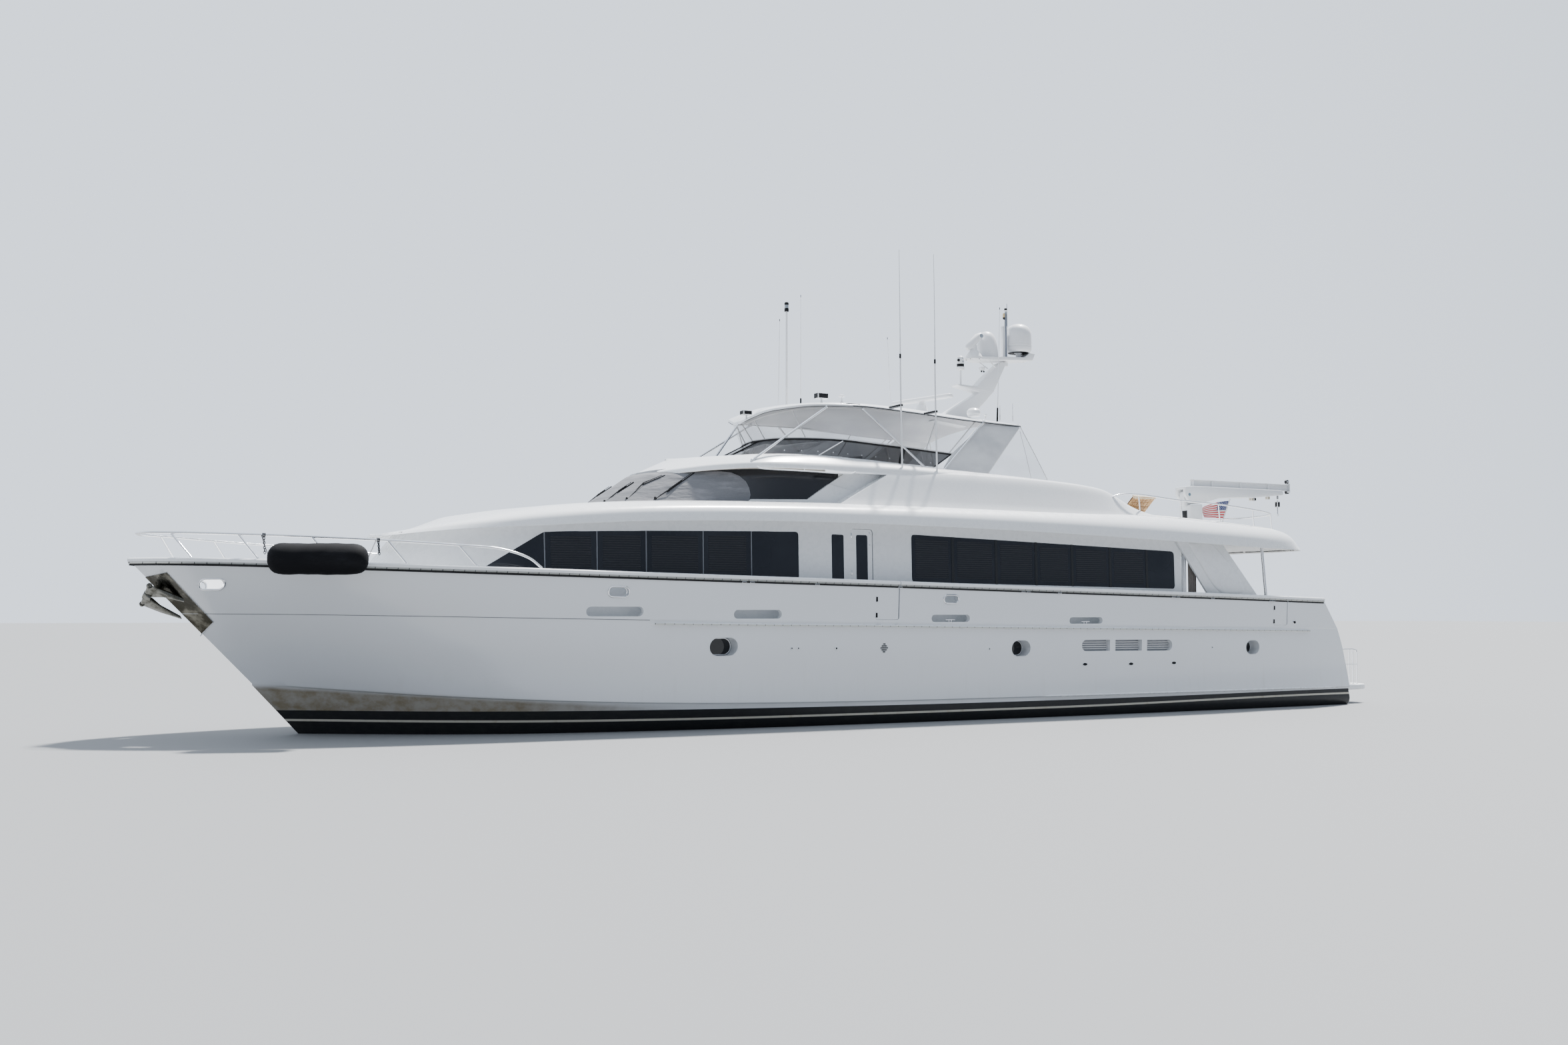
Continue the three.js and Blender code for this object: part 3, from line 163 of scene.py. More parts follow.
# Floor and light
# A plain pale floor lies at the waterline. One broad sun stands high off the starboard
# quarter, as in the picture, and the sky is brighter overhead and behind the boat.
SUN_FROM = Vector((-0.6, -0.36, 1.35))
FLOOR_HALF = 400
floor_finish = Finish("pale_floor", base_color=(0.22, 0.225, 0.23), roughness=0.8)
floor_finish.bump(floor_finish.noise(3), 0.05)
floor_mesh = bpy.data.meshes.new("floor")
corners = [(x * FLOOR_HALF, y * FLOOR_HALF, 0) for x, y in ((-1, -1), (1, -1), (1, 1), (-1, 1))]
floor_mesh.from_pydata(corners, [], [(0, 1, 2, 3)])
floor_mesh.materials.append(floor_finish.material)
floor = bpy.data.objects.new("floor", floor_mesh)
bpy.context.scene.collection.objects.link(floor)

sun = bpy.data.objects.new("sun", bpy.data.lights.new("sun", "SUN"))
bpy.context.scene.collection.objects.link(sun)
sun.data.energy = 12.5
sun.data.angle = radians(4)
sun.data.color = (1, 0.985, 0.965)
sun.rotation_euler = SUN_FROM.to_track_quat("Z", "Y").to_euler()

sky = Finish("sky", bpy.data.worlds, "Background")
bpy.context.scene.world = sky.material
x, y, z = sky.axes("Generated")
beyond = sky.node("MapRange", inputs={0: y, 1: 0.6, 2: -0.7})
overhead = sky.node("MapRange", inputs={0: z, 1: 0.3, 2: 0.95})
brighter = beyond.math("MAXIMUM", beyond, overhead)
sky.set("Color", sky.mix(brighter, (0.2, 0.235, 0.29), (0.86, 0.95, 1.08))).set("Strength", 1.6)

# Hull
# A moulded hull with a flared bow, a hard chine and a rounded transom. It is laid up in one
# piece with its decks, sprayed white, and black below the boot top.
#
# Each station from the stem aft: knuckle x, y, z | chine x, y, z | waterline x, y | keel x, z
HULL = [
    (14.23, 0, 2.36, 12.93, 0, 1, 12.04, 0, 10.9, -0.9),
    (13.55, 0.78, 2.355, 12.2, 0.42, 0.95, 11.45, 0.4, 10.2, -1.16),
    (12.5, 1.5, 2.345, 11.25, 1.03, 0.88, 10.65, 0.93, 9.3, -1.32),
    (10.5, 2.37, 2.315, 9.9, 1.8, 0.785, 9.4, 1.64, 8.2, -1.42),
    (8, 2.99, 2.27, 7.9, 2.58, 0.68, 7.8, 2.23, 7.3, -1.46),
    (5, 3.25, 2.22, 5, 3.02, 0.57, 5, 2.72, 5, -1.48),
    (1, 3.335, 2.17, 1, 3.18, 0.51, 1, 3.01, 1, -1.46),
    (-4, 3.285, 2.1, -4, 3.19, 0.49, -4, 3.06, -4, -1.32),
    (-9, 3.13, 2.04, -9, 3.07, 0.48, -9, 2.95, -9, -1.02),
    (-13.6, 2.88, 1.975, -14.02, 2.83, 0.47, -14.06, 2.74, -13.9, -0.64),
]
LENGTHWISE = 14


def spline(points, steps):
    """The smooth line through the points, with this many steps between each pair."""
    p = np.asarray(points, float)
    ends = np.vstack([2 * p[0] - p[1], p, 2 * p[-1] - p[-2]])
    made = []
    for i in range(1, len(ends) - 2):
        a, b, c, d = ends[i - 1:i + 3]
        gaps = [max(np.linalg.norm(v), 1e-9) ** 0.5 for v in (b - a, c - b, d - c)]
        out = (b - a) / gaps[0] - (c - a) / (gaps[0] + gaps[1]) + (c - b) / gaps[1]
        into = (c - b) / gaps[1] - (d - b) / (gaps[1] + gaps[2]) + (d - c) / gaps[2]
        out, into = out * gaps[1], into * gaps[1]
        t = np.arange(steps)[:, None] / steps
        bend = (2 * b - 2 * c + out + into) * t**3 + (3 * c - 3 * b - 2 * out - into) * t**2
        made.append(bend + out * t + b)
    return np.vstack([*made, p[-1:]])


def fair(lines, steps):
    """Adds smooth lines between neighbours, so that the surface across them is round."""
    rows = np.asarray(lines, float)
    before = np.concatenate([2 * rows[:1] - rows[1:2], rows, 2 * rows[-1:] - rows[-2:-1]])
    made = []
    for i in range(1, len(before) - 2):
        a, b, c, d = before[i - 1:i + 3]
        for t in np.arange(steps) / steps:
            bend = (2 * a - 5 * b + 4 * c - d) * t**2 + (3 * b - a - 3 * c + d) * t**3
            made.append(0.5 * (2 * b + (c - a) * t + bend))
    return [*made, rows[-1]]


def along(line, x):
    """The point at x of a line that runs aft."""
    points = np.asarray(line, float)
    order = np.argsort(points[:, 0])
    return np.array([np.interp(x, points[order, 0], points[order, k]) for k in range(points.shape[1])])


class Shape:
    """A mesh in the making: each call adds one form, in the finish with that number."""

    def __init__(self):
        self.bm = bmesh.new()

    def add(self, points, faces, finish=0):
        made = [self.bm.verts.new(p) for p in points]
        for face in faces:
            corners = [made[i] for i in face]
            if len(set(corners)) > 2:
                self.bm.faces.new(corners).material_index = finish
        return self

    def skin(self, rings, finish=0, around=True, ends=True):
        """The surface through rings of equally many points."""
        count = len(rings[0])
        points = [p for ring in rings for p in ring]
        wide = count if around else count - 1
        faces = [
            (i * count + k, i * count + (k + 1) % count, (i + 1) * count + (k + 1) % count,
                (i + 1) * count + k)
            for i in range(len(rings) - 1)
            for k in range(wide)
        ]
        if ends:
            faces += [tuple(reversed(range(count))), tuple(range(len(points) - count, len(points)))]
        return self.add(points, faces, finish)

    def prism(self, outline, lift, finish=0):
        """The outline swept by the vector lift."""
        base = [np.asarray(p, float) for p in outline]
        return self.skin([base, [p + np.asarray(lift, float) for p in base]], finish)

    def block(self, low, high, finish=0, bevel=0):
        x, y, z = low
        X, Y, Z = high
        made = Shape().prism([(x, y, z), (X, y, z), (X, Y, z), (x, Y, z)], (0, 0, Z - z), finish)
        return self.take(made.soften(bevel) if bevel else made)

    def soften(self, width, segments=2, angle=30):
        """Rounds the edges that are sharper than the angle, in degrees."""
        bmesh.ops.recalc_face_normals(self.bm, faces=self.bm.faces)
        sharp = [e for e in self.bm.edges if len(e.link_faces) == 2 and e.calc_face_angle() > radians(angle)]
        bmesh.ops.bevel(self.bm, geom=sharp, offset=width, segments=segments, profile=0.5, affect="EDGES")
        return self

    def tube(self, points, radius, finish=0, sides=10, closed=False, tips=None):
        """A round bar along the points. tips gives each point its own share of the radius."""
        path = [Vector(p) for p in points]
        rings = []
        side = None
        for i, p in enumerate(path):
            if closed:
                ahead = path[(i + 1) % len(path)] - path[i - 1]
            else:
                ahead = path[min(i + 1, len(path) - 1)] - path[max(i - 1, 0)]
            ahead.normalize()
            if side is None:
                side = ahead.orthogonal().normalized()
            side = (side - ahead * side.dot(ahead)).normalized()
            other = ahead.cross(side)
            r = radius * (tips[i] if tips is not None else 1)
            turns = [2 * pi * k / sides for k in range(sides)]
            rings.append([p + side * (r * cos(a)) + other * (r * sin(a)) for a in turns])
        if closed:
            rings.append(rings[0])
        return self.skin(rings, finish, ends=not closed)

    def turned(self, rows, foot, finish=0, up=(0, 0, 1), segments=24, hollow=False):
        """A body of revolution: rows of radius and height along up from foot."""
        if not hollow:
            rows = [(0, rows[0][1])] * (rows[0][0] > 0) + rows + [(0, rows[-1][1])] * (rows[-1][0] > 0)
        lift = Vector(up).normalized()
        side = lift.orthogonal().normalized()
        other = lift.cross(side)
        base = Vector(foot)
        rings = []
        for r, h in rows:
            turns = [2 * pi * k / segments for k in range(segments)]
            rings.append([
                base + lift * h + side * (max(r, 1e-4) * cos(a)) + other * (max(r,
                    1e-4) * sin(a)) for a in turns
            ])
        return self.skin(rings, finish)

    def ball(self, middle, radius, finish=0, rows=10):
        turns = [pi * (k / rows - 0.5) for k in range(rows + 1)]
        arc = [(radius * cos(a), radius * sin(a)) for a in turns]
        return self.turned(arc, middle, finish, segments=2 * rows, hollow=True)

    def take(self, other, mirror=False):
        """Adds a copy of another shape, mirrored to the other side if asked."""
        mesh = bpy.data.meshes.new("part")
        source = other.bm.copy()
        if mirror:
            bmesh.ops.scale(source, vec=(1, -1, 1), verts=source.verts)
            bmesh.ops.reverse_faces(source, faces=source.faces)
        source.to_mesh(mesh)
        source.free()
        self.bm.from_mesh(mesh)
        bpy.data.meshes.remove(mesh)
        return self

    def both(self, other):
        return self.take(other).take(other, mirror=True)

    def moved(self, matrix):
        bmesh.ops.transform(self.bm, matrix=matrix, verts=self.bm.verts)
        return self

    def paint(self, finish, chosen):
        """Gives the finish to the faces whose normal and middle pass the test."""
        for face in self.bm.faces:
            face.normal_update()
            if chosen(face.normal, face.calc_center_median()):
                face.material_index = finish
        return self

    def weld(self, distance=1e-4):
        bmesh.ops.remove_doubles(self.bm, verts=self.bm.verts, dist=distance)
        bmesh.ops.dissolve_degenerate(self.bm, edges=self.bm.edges, dist=distance / 10)
        bmesh.ops.recalc_face_normals(self.bm, faces=self.bm.faces)
        return self

    def loose(self):
        """The mesh as an object of no piece, for cutting with."""
        bmesh.ops.recalc_face_normals(self.bm, faces=self.bm.faces)
        mesh = bpy.data.meshes.new("cutter")
        self.bm.to_mesh(mesh)
        made = bpy.data.objects.new("cutter", mesh)
        bpy.context.scene.collection.objects.link(made)
        return made

    def cut(self, other, operation="DIFFERENCE", crossing=False):
        """Cuts this closed shape with another. crossing is for a shape that meets itself."""
        kept, tool = self.loose(), other.loose()
        while len(blank_finishes) < 12:
            blank_finishes.append(bpy.data.materials.new(f"blank_{len(blank_finishes)}"))
        for made in (kept, tool):
            for blank in blank_finishes:
                made.data.materials.append(blank)
        change = kept.modifiers.new("cut", "BOOLEAN")
        change.operation = operation
        change.object = tool
        change.solver = "EXACT"
        change.material_mode = "INDEX"
        change.use_self = crossing
        bpy.context.view_layer.update()
        result = bpy.data.meshes.new_from_object(kept.evaluated_get(bpy.context.evaluated_depsgraph_get()))
        self.bm.free()
        self.bm = bmesh.new()
        self.bm.from_mesh(result)
        for made in (kept, tool):
            mesh = made.data
            bpy.data.objects.remove(made)
            bpy.data.meshes.remove(mesh)
        bpy.data.meshes.remove(result)
        return self

    def piece(self, name, finishes, slot, replaces=(), sharp=32, body="yacht"):
        """The shape as a piece of the yacht: smooth, but for edges sharper than the angle."""
        bmesh.ops.recalc_face_normals(self.bm, faces=self.bm.faces)
        for edge in self.bm.edges:
            edge.smooth = len(edge.link_faces) != 2 or edge.calc_face_angle(0) < radians(sharp)
        for face in self.bm.faces:
            face.smooth = True
        mesh = bpy.data.meshes.new(name)
        self.bm.to_mesh(mesh)
        self.bm.free()
        for finish in finishes:
            mesh.materials.append(finish.material)
        made = bpy.data.objects.new(name, mesh)
        bpy.context.scene.collection.objects.link(made)
        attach(made, body)
        if replaces:
            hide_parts(*replaces)
        return made


blank_finishes = []


def circle(count):
    """Angles spread evenly round a full turn."""
    return np.linspace(0, 2 * pi, count, endpoint=False)


def rounded(x0, x1, z0, z1, radius, arc=8):
    """A rectangle with rounded corners, as pairs, counter-clockwise."""
    corners = [(x1 - radius, z0 + radius, -90), (x1 - radius, z1 - radius, 0),
        (x0 + radius, z1 - radius, 90),
               (x0 + radius, z0 + radius, 180)]
    made = []
    for x, z, start in corners:
        for k in range(arc + 1):
            a = radians(start + 90 * k / arc)
            made.append((x + radius * cos(a), z + radius * sin(a)))
    return made


OUTBOARD = 4


def seen_from_side(outline, y0, y1=OUTBOARD):
    """A side-view outline as a closed body between two distances off the centreline."""
    return Shape().prism([(x, y0, z) for x, z in outline], (0, y1 - y0, 0))


def column(table, first):
    return [row[first:first + 3] for row in table]


def share_line(share):
    """A line up the topsides, from 0 at the chine to 1 at the knuckle."""
    made = []
    for i, row in enumerate(HULL):
        outward = share * 0.82 + (share * 1.12 - share * 0.82) * min(1, i / 5)
        swell = 0.06 * sin(pi * share) if i == len(HULL) - 1 else 0
        made.append((
            row[3] + (row[0] - row[3]) * share - swell,
            row[4] + (row[1] - row[4]) * outward,
            row[5] + (row[2] - row[5]) * share,
        ))
    return made


def smooth_lines(tables):
    return [spline(table, LENGTHWISE) for table in tables]


def to_starboard(line):
    return np.asarray(line) * (1, -1, 1)


def ring_up(port_lines):
    """Rings that run up the port lines and down their mirror images."""
    lines = [*port_lines, *[to_starboard(line) for line in reversed(port_lines)]]
    return np.swapaxes(np.asarray(lines), 0, 1)


keel_line = [(r[8], 0, r[9]) for r in HULL]
bilge_line = [(r[6] + (r[8] - r[6]) * 0.45, r[7] * 0.66, r[9] * 0.62) for r in HULL]
water_line = [(r[6], r[7], 0) for r in HULL]
chine_under = [(r[3] - (0.02 if i else 0), r[4] - min(0.02, r[4] / 8), r[5] - 0.03) for i,
    r in enumerate(HULL)]
chine_lip = [(r[3], r[4] + min(0.045, r[4] / 8), r[5]) for r in HULL]
knuckle_line = column(HULL, 0)
bottom = fair(smooth_lines([keel_line, bilge_line, water_line, chine_under]), 5)
topsides = fair(smooth_lines([chine_lip, share_line(0.35), share_line(0.7), knuckle_line]), 5)
knuckle = topsides[-1]


def hull_side(x, z):
    """How far off the centreline the topsides are at x and z."""
    heights = [along(line, x) for line in topsides]
    return float(np.interp(z, [p[2] for p in heights], [p[1] for p in heights]))


white = (0.8, 0.815, 0.83)


def gelcoat(name, colour=white, roughness=0.24, dirt=0.05):
    """White gelcoat: glossy, gently uneven, with the faint greying of weather."""
    made = Finish(name, roughness=roughness, coat=0.35, coat_roughness=0.08)
    soot = made.noise(0.9, 5, 0.62, (1, 1, 2.2)).fade(0.45, 0.85) * dirt
    made.colour(soot, colour, (0.42, 0.41, 0.37))
    made.set("Roughness", made.noise(7, 2).fade(0.2, 0.8) * 0.08 + roughness)
    return made.bump(made.noise(2.2, 2, 0.4), 0.06, 0.004)


gel = gelcoat("white_gelcoat")
inside_gel = gelcoat("shaded_gelcoat", (0.7, 0.71, 0.715), 0.4)

topside = Finish("topside_paint", roughness=0.2, coat=0.5, coat_roughness=0.05)
x, y, z = topside.axes()
runs = topside.noise(1, 4, 0.6, (5.5, 5.5, 0.5)).fade(0.5, 0.9)
blotches = topside.noise(2.6, 6, 0.65, (1, 1, 1.6)).fade(0.32, 0.72)
forward = x.fade(3.8, 8.5)
chine_rise = z - (x - 8) * 0.062
stained = forward * (1 - chine_rise.fade(0.58, 0.72)) * (blotches * 0.25 + 0.72)
streaked = runs * (1 - z.fade(0.5, 1.7)) * 0.16
chalk = topside.noise(0.35, 3, 0.5, (1, 1, 1.5)).fade(0.3, 0.8) * 0.10
paint = topside.mix(chalk, (0.74, 0.76, 0.785), (0.66, 0.67, 0.66))
paint = topside.mix(streaked, paint, (0.4, 0.37, 0.28))
paint = topside.mix(stained, paint, (0.19, 0.15, 0.085))
boot_top = x.fade(-3.5, 13.5) * 0.085 + (1 - x.fade(-14, -6)) * 0.03 + 0.39
boot = (boot_top - z).fade(0, 0.008)
level = z - x.fade(3, 13) * 0.05 - (1 - x.fade(-13, -4)) * 0.07
stripe = level.fade(0.2, 0.205) * (1 - level.fade(0.245, 0.25))
scum = topside.noise(6, 4, 0.6, (1, 1, 3)).fade(0.4, 0.8)
bottom_black = topside.mix(scum * 0.3, (0.004, 0.0045, 0.006), (0.03, 0.033, 0.027))
cream = topside.mix(runs * 0.7, (0.56, 0.53, 0.44), (0.35, 0.27, 0.16))
below = topside.mix(stripe, bottom_black, cream)
topside.colour(boot, paint, below)
topside.set("Roughness", 0.2 + stained * 0.35 + boot * 0.25)
topside.set("Coat Weight", (1 - boot) * (1 - stained) * 0.4)
topside.bump(topside.noise(0.8, 2, 0.4), 0.08, 0.01)

deck_grip = Finish("deck_grip", base_color=(0.66, 0.67, 0.65), roughness=0.7)
grain = deck_grip.node("TexVoronoi", {"feature": "F1"}, {"Vector": deck_grip.place(), "Scale": 120})
worn = deck_grip.noise(1.2, 4, 0.6).fade(0.35, 0.8)
deck_grip.colour(worn * 0.3, (0.68, 0.69, 0.68), (0.52, 0.51, 0.47))
deck_grip.bump(grain, 0.35, 0.003)

# Portholes, then engine room vents with square inner ends: x0, x1, z0, z1
PORTHOLES = [(3.97, 4.6, 1.5, 1.88), (-3.41, -2.87, 1.4, 1.765), (-10.68, -10.2, 1.35, 1.705)]
PORT_DEPTH = 0.32
VENTS = [(-5.75, -4.9, 1.495, 1.755), (-6.74, -5.91, 1.49, 1.75), (-7.71, -6.9, 1.48, 1.74)]
VENT_DEPTH = 0.16
STAIR_TOP, STAIR_RUN, STAIR_RISES = -12.35, 0.34, 5
STAIR_INNER, STAIR_OUTER, STAIR_FOOT, DECK_AFT = 1.65, 2.45, 0.52, 1.985
stair_rise = (DECK_AFT - STAIR_FOOT) / STAIR_RISES
LEVEL = 0.9


def pill(x0, x1, z0, z1, arc=8):
    """A slot with round ends."""
    return rounded(x0, x1, z0, z1, (z1 - z0) / 2 - 0.002, arc)


def pocket_floor(x0, x1, z0, z1, depth):
    return hull_side((x0 + x1) / 2, (z0 + z1) / 2) - depth


def vent_outline(i):
    x0, x1, z0, z1 = VENTS[i]
    reach = (z1 - z0) / 2
    round_ends = rounded(x0, x1, z0, z1, reach * 0.98)
    square = rounded(x0, x1, z0, z1, 0.015, 2)
    if i == 1:
        return square
    keep_high = i == 0
    cx, cz = (x0 + x1) / 2, (z0 + z1) / 2
    joined = [p for p in round_ends if (p[0] > cx) == keep_high]
    joined += [p for p in square if (p[0] > cx) != keep_high]
    return sorted(joined, key=lambda p: atan2(p[1] - cz, p[0] - cx))


hull = Shape().skin(ring_up([*bottom, *topsides])).weld()
pockets = Shape()
for x0, x1, z0, z1 in PORTHOLES:
    back = pocket_floor(x0, x1, z0, z1, PORT_DEPTH)
    pockets.both(seen_from_side(pill(x0, x1, z0, z1), back))
for i, (x0, x1, z0, z1) in enumerate(VENTS):
    back = pocket_floor(x0, x1, z0, z1, VENT_DEPTH)
    pockets.both(seen_from_side(vent_outline(i), back))
hull.cut(pockets)
steps = Shape()
for i in range(STAIR_RISES):
    low = STAIR_FOOT + (STAIR_RISES - 1 - i) * stair_rise
    steps.both(Shape().block((-16, STAIR_INNER, low), (STAIR_TOP - i * STAIR_RUN, STAIR_OUTER, 3)))
    hull.cut(steps)
    steps = Shape()
hull.paint(1, lambda normal, middle: normal.z > LEVEL and middle.z > 0.5)
KEEL_FIN = [(-3.5, -1.2), (-9.5, -0.85), (-10.4, -0.8), (-9.9, -1.5), (-3.5, -1.5)]
hull.take(seen_from_side(KEEL_FIN, -0.11, 0.11).soften(0.03))
hull.take(Shape().block((-13.1, -1.61, 1.9), (-12.96, 1.61, 2.775), 0, 0.03))
hull.piece("hull_shell", [topside, deck_grip], "hull_paint", ["hull"], 28)

# Hull fittings
# Portholes have dark glass at the bottom of a deep white well. The engine room breathes
# through long vents, and small outlets, a speaker and the exhausts sit in the topsides.
steel = Finish("polished_steel", base_color=(0.82, 0.83, 0.85), metallic=1, roughness=0.2)
steel.set("Roughness", steel.noise(9, 3).fade(0.3, 0.8) * 0.14 + 0.14)
dark = Finish("black_rubber", base_color=(0.005, 0.005, 0.006), roughness=0.55, specular=0.25)
shadow = Finish("unlit_inside", base_color=(0.015, 0.016, 0.018), roughness=0.9, specular=0.2)
port_glass = Finish("porthole_glass", base_color=(0.008, 0.009, 0.012), roughness=0.06)
# Mid grey for the backs of the vent pockets and the slats under the roof: painted shade.
vent_shade_grey = Finish("painted_vent_shade", base_color=(0.36, 0.37, 0.4), roughness=0.6)


def ring_on(surface, outline, out=0):
    """Points of a side-view outline, laid on a surface that gives y for x and z."""
    return [(x, surface(x, z) + out, z) for x, z in outline]


def rod(a, b, radius, finish=0, sides=10):
    return Shape().tube([a, b], radius, finish, sides)


portholes = Shape()
for x0, x1, z0, z1 in PORTHOLES:
    outline = pill(x0, x1, z0, z1)
    back = pocket_floor(x0, x1, z0, z1, PORT_DEPTH)
    one = seen_from_side(outline, back - 0.01, back + 0.012)
    inner = rounded(x0 + 0.02, x1 - 0.02, z0 + 0.02, z1 - 0.02, (z1 - z0) / 2 - 0.024)
    one.tube([(x, back + 0.016, z) for x, z in inner], 0.012, 1, 8, closed=True)
    one.tube(ring_on(hull_side, outline), 0.008, 2, 8, closed=True)
    portholes.both(one)
portholes.piece("portholes", [port_glass, steel, topside], "tinted_glass")

vents = Shape()
for i, (x0, x1, z0, z1) in enumerate(VENTS):
    back = pocket_floor(x0, x1, z0, z1, VENT_DEPTH)
    # The plate at the back of each vent pocket is mid grey, as painted shade.
    one = seen_from_side(vent_outline(i), back - 0.01, back + 0.006)
    for k in range(1, 5):
        z = z0 + (z1 - z0) * k / 5
        one.block((x0 + 0.02, back + 0.006, z - 0.008), (x1 - 0.02, back + 0.05, z + 0.008), 1)
    vents.both(one)
vents.piece("engine_vents", [vent_shade_grey, inside_gel], "gelcoat")

outlets = Shape()
for x, z, reach in [(2.743, 1.644, 0.03), (2.59, 1.643, 0.03), (1.684, 1.633, 0.038),
        (-2.255, 1.578, 0.028), (-9.028, 1.541, 0.026)]:
    y = hull_side(x, z)
    one = Shape().turned([(reach, -0.02), (reach, 0.008), (reach * 0.8, 0.016), (0, 0.017)], (x, y, z), 0,
        (0, 1, 0))
    one.turned([(reach * 0.5, 0), (reach * 0.5, 0.019)], (x, y, z), 1, (0, 1, 0))
    outlets.both(one)
for row, reach in enumerate([0.03, 0.065, 0.095, 0.065, 0.03]):
    z = 1.618 + (row - 2) * 0.042
    for step in (0, 1):
        zz = z + step * 0.02
        y = hull_side(0.503, zz)
        outlets.both(Shape().block((0.503 - reach, y - 0.01, zz - 0.006),
            (0.503 + reach, y + 0.006, zz + 0.006), 1))
for x, z in [(-5.008, 1.192), (-6.409, 1.18), (-7.772, 1.181)]:
    y = hull_side(x, z)
    shape = [(x + 0.075 * cos(a), z + 0.038 * sin(a)) for a in circle(20)]
    one = Shape().tube(ring_on(hull_side, shape, 0.002), 0.007, 0, 8, closed=True)
    one.take(seen_from_side(shape, y - 0.03, y + 0.003))
    for face in one.bm.faces:
        if abs(face.normal.y) > 0.9 and face.calc_area() > 0.004:
            face.material_index = 1
    outlets.both(one)
outlets.piece("hull_outlets", [gel, shadow], "gelcoat")

# Strake and spray rails
# A half round of moulded gelcoat capped in stainless steel takes the knocks under the deck
# line from midships aft. A lower spray rail runs aft along the chine.
strake_table = [(r[0], r[1] - 0.006, r[2]) for r in HULL[4:]]
strake_line = spline(strake_table, 10)
strake = Shape()
section = [(-0.03, -0.108), (0.035, -0.104), (0.058, -0.085), (0.064, -0.07), (0.058, -0.055),
    (0.035, -0.036), (-0.03, -0.032)]


def run_of(line, x_first, x_last):
    """The part of a line that runs aft between two places along the boat."""
    inside = [p for p in line if x_last < p[0] < x_first]
    return np.array([along(line, x_first), *inside, along(line, x_last)])


def moulding(line, section, finish=0, taper=0):
    """A section of outward and upward offsets, swept along a line that runs aft."""
    line = np.asarray(line)
    run = np.gradient(line, axis=0)
    flat = np.hypot(run[:, 0], run[:, 1])
    out = np.column_stack([run[:, 1] / flat, -run[:, 0] / flat, 0 * flat])
    length = np.concatenate([[0], np.cumsum(np.linalg.norm(np.diff(line, axis=0), axis=1))])
    rings = []
    for p, o, d in zip(line, out, length):
        share = min(1, (d + 0.01) / taper, (length[-1] - d + 0.01) / taper) if taper else 1
        rings.append([p + o * (a * share if a > 0 else a) + np.array([0, 0, b]) for a, b in section])
    return Shape().skin(rings, finish)


strake_run = run_of(strake_line, 5.93, -12.6)
strake.both(moulding(strake_run, section, 0, 0.5))
cap = [(0.05, -0.086), (0.064, -0.083), (0.071, -0.07), (0.064, -0.057), (0.05, -0.054)]
strake.both(moulding(run_of(strake_line, 5.8, -12.5), cap, 1))
spray_line = spline([(r[3], r[4], r[5]) for r in HULL[6:]], 10)
low_rail = [(-0.02, -0.03), (0.075, -0.012), (0.08, 0), (0.05, 0.022), (-0.02, 0.03)]
strake.both(moulding(run_of(spray_line, -3.55, -13.6), low_rail, 0, 0.3))
# A thin dark tube along the knuckle, from the stem aft to where the strake starts, is painted shadow in the
# crease.
crease_shadow_line = spline(knuckle_line, LENGTHWISE)
strake.both(Shape().tube([p + np.array([0, 0.002, 0.002]) for p in run_of(crease_shadow_line, 13.9, 5.9)], 0.006, 2, 6))
banded = Finish("banded_steel", base_color=(0.5, 0.51, 0.47), metallic=1, roughness=0.28)
x, y, z = banded.axes()
dots = ((x * 5).math("PINGPONG", x * 5, 0.5) < 0.035) * 0.85
banded.colour(dots, (0.5, 0.505, 0.48), (0.03, 0.03, 0.03))
painted_crease_shadow = Finish("crease_shadow_line", base_color=(0.14, 0.145, 0.15), roughness=0.8)
strake.piece("rub_strake", [gel, banded, painted_crease_shadow], "gelcoat")

# Bulwarks and gates
# The bulwarks are moulded with the flare of the hull and carry a broad white cap with a
# stainless band under its edge. Gates in them hinge outboard at their forward side.
SHEER = [
    (15.19, 0, 3.36), (14.65, 0.93, 3.345), (13.7, 1.64, 3.325), (11.5, 2.56, 3.26), (8.5, 3.12, 3.185),
    (5, 3.35, 3.105), (1, 3.385, 3.025), (-4, 3.33, 2.915), (-9, 3.18, 2.81), (-13.05, 2.95, 2.715),
]
BULWARK = 0.12
FAIRLEADS = [(13.65, 14.06, 2.81, 3.01), (6.36, 6.79, 2.69, 2.89), (-1.39, -1, 2.59, 2.77)]
SLOTS = [(6.04, 7.21, 2.31, 2.5), (3, 4.09, 2.26, 2.44), (-1.71, -0.69, 2.18, 2.34),
    (-5.51, -4.52, 2.13, 2.28)]
GATES = {"mid": (0.14, 0.74, 2.23), "aft": (-11.7, -11.18, 2.07)}
HINGE_CLEAR, GATE_BEVEL = 0.008, 0.09
SIDES = {"port": 1, "starboard": -1}


def wall(lines, outer, inner, finish=0):
    """A wall between two depths inside smooth lines that run aft on the port side."""

    def inside(line, depth):
        run = np.gradient(line, axis=0)
        flat = np.hypot(run[:, 0], run[:, 1])[:, None]
        return line + depth * np.column_stack([-run[:, 1], run[:, 0], 0 * run[:, 0]]) / flat

    sides = [inside(line, outer) for line in lines] + [inside(line, inner) for line in reversed(lines)]
    return Shape().skin(np.swapaxes(np.asarray(sides), 0, 1), finish)


def port_half(shape):
    """The part of a closed shape to port of the centreline, closed again."""
    geometry = [*shape.bm.verts, *shape.bm.edges, *shape.bm.faces]
    made = bmesh.ops.bisect_plane(
        shape.bm, geom=geometry, dist=1e-5, plane_co=(0, 0.0002, 0), plane_no=(0, -1, 0), clear_outer=True
    )
    edges = [e for e in made["geom_cut"] if isinstance(e, bmesh.types.BMEdge)]
    bmesh.ops.holes_fill(shape.bm, edges=edges, sides=0)
    return shape


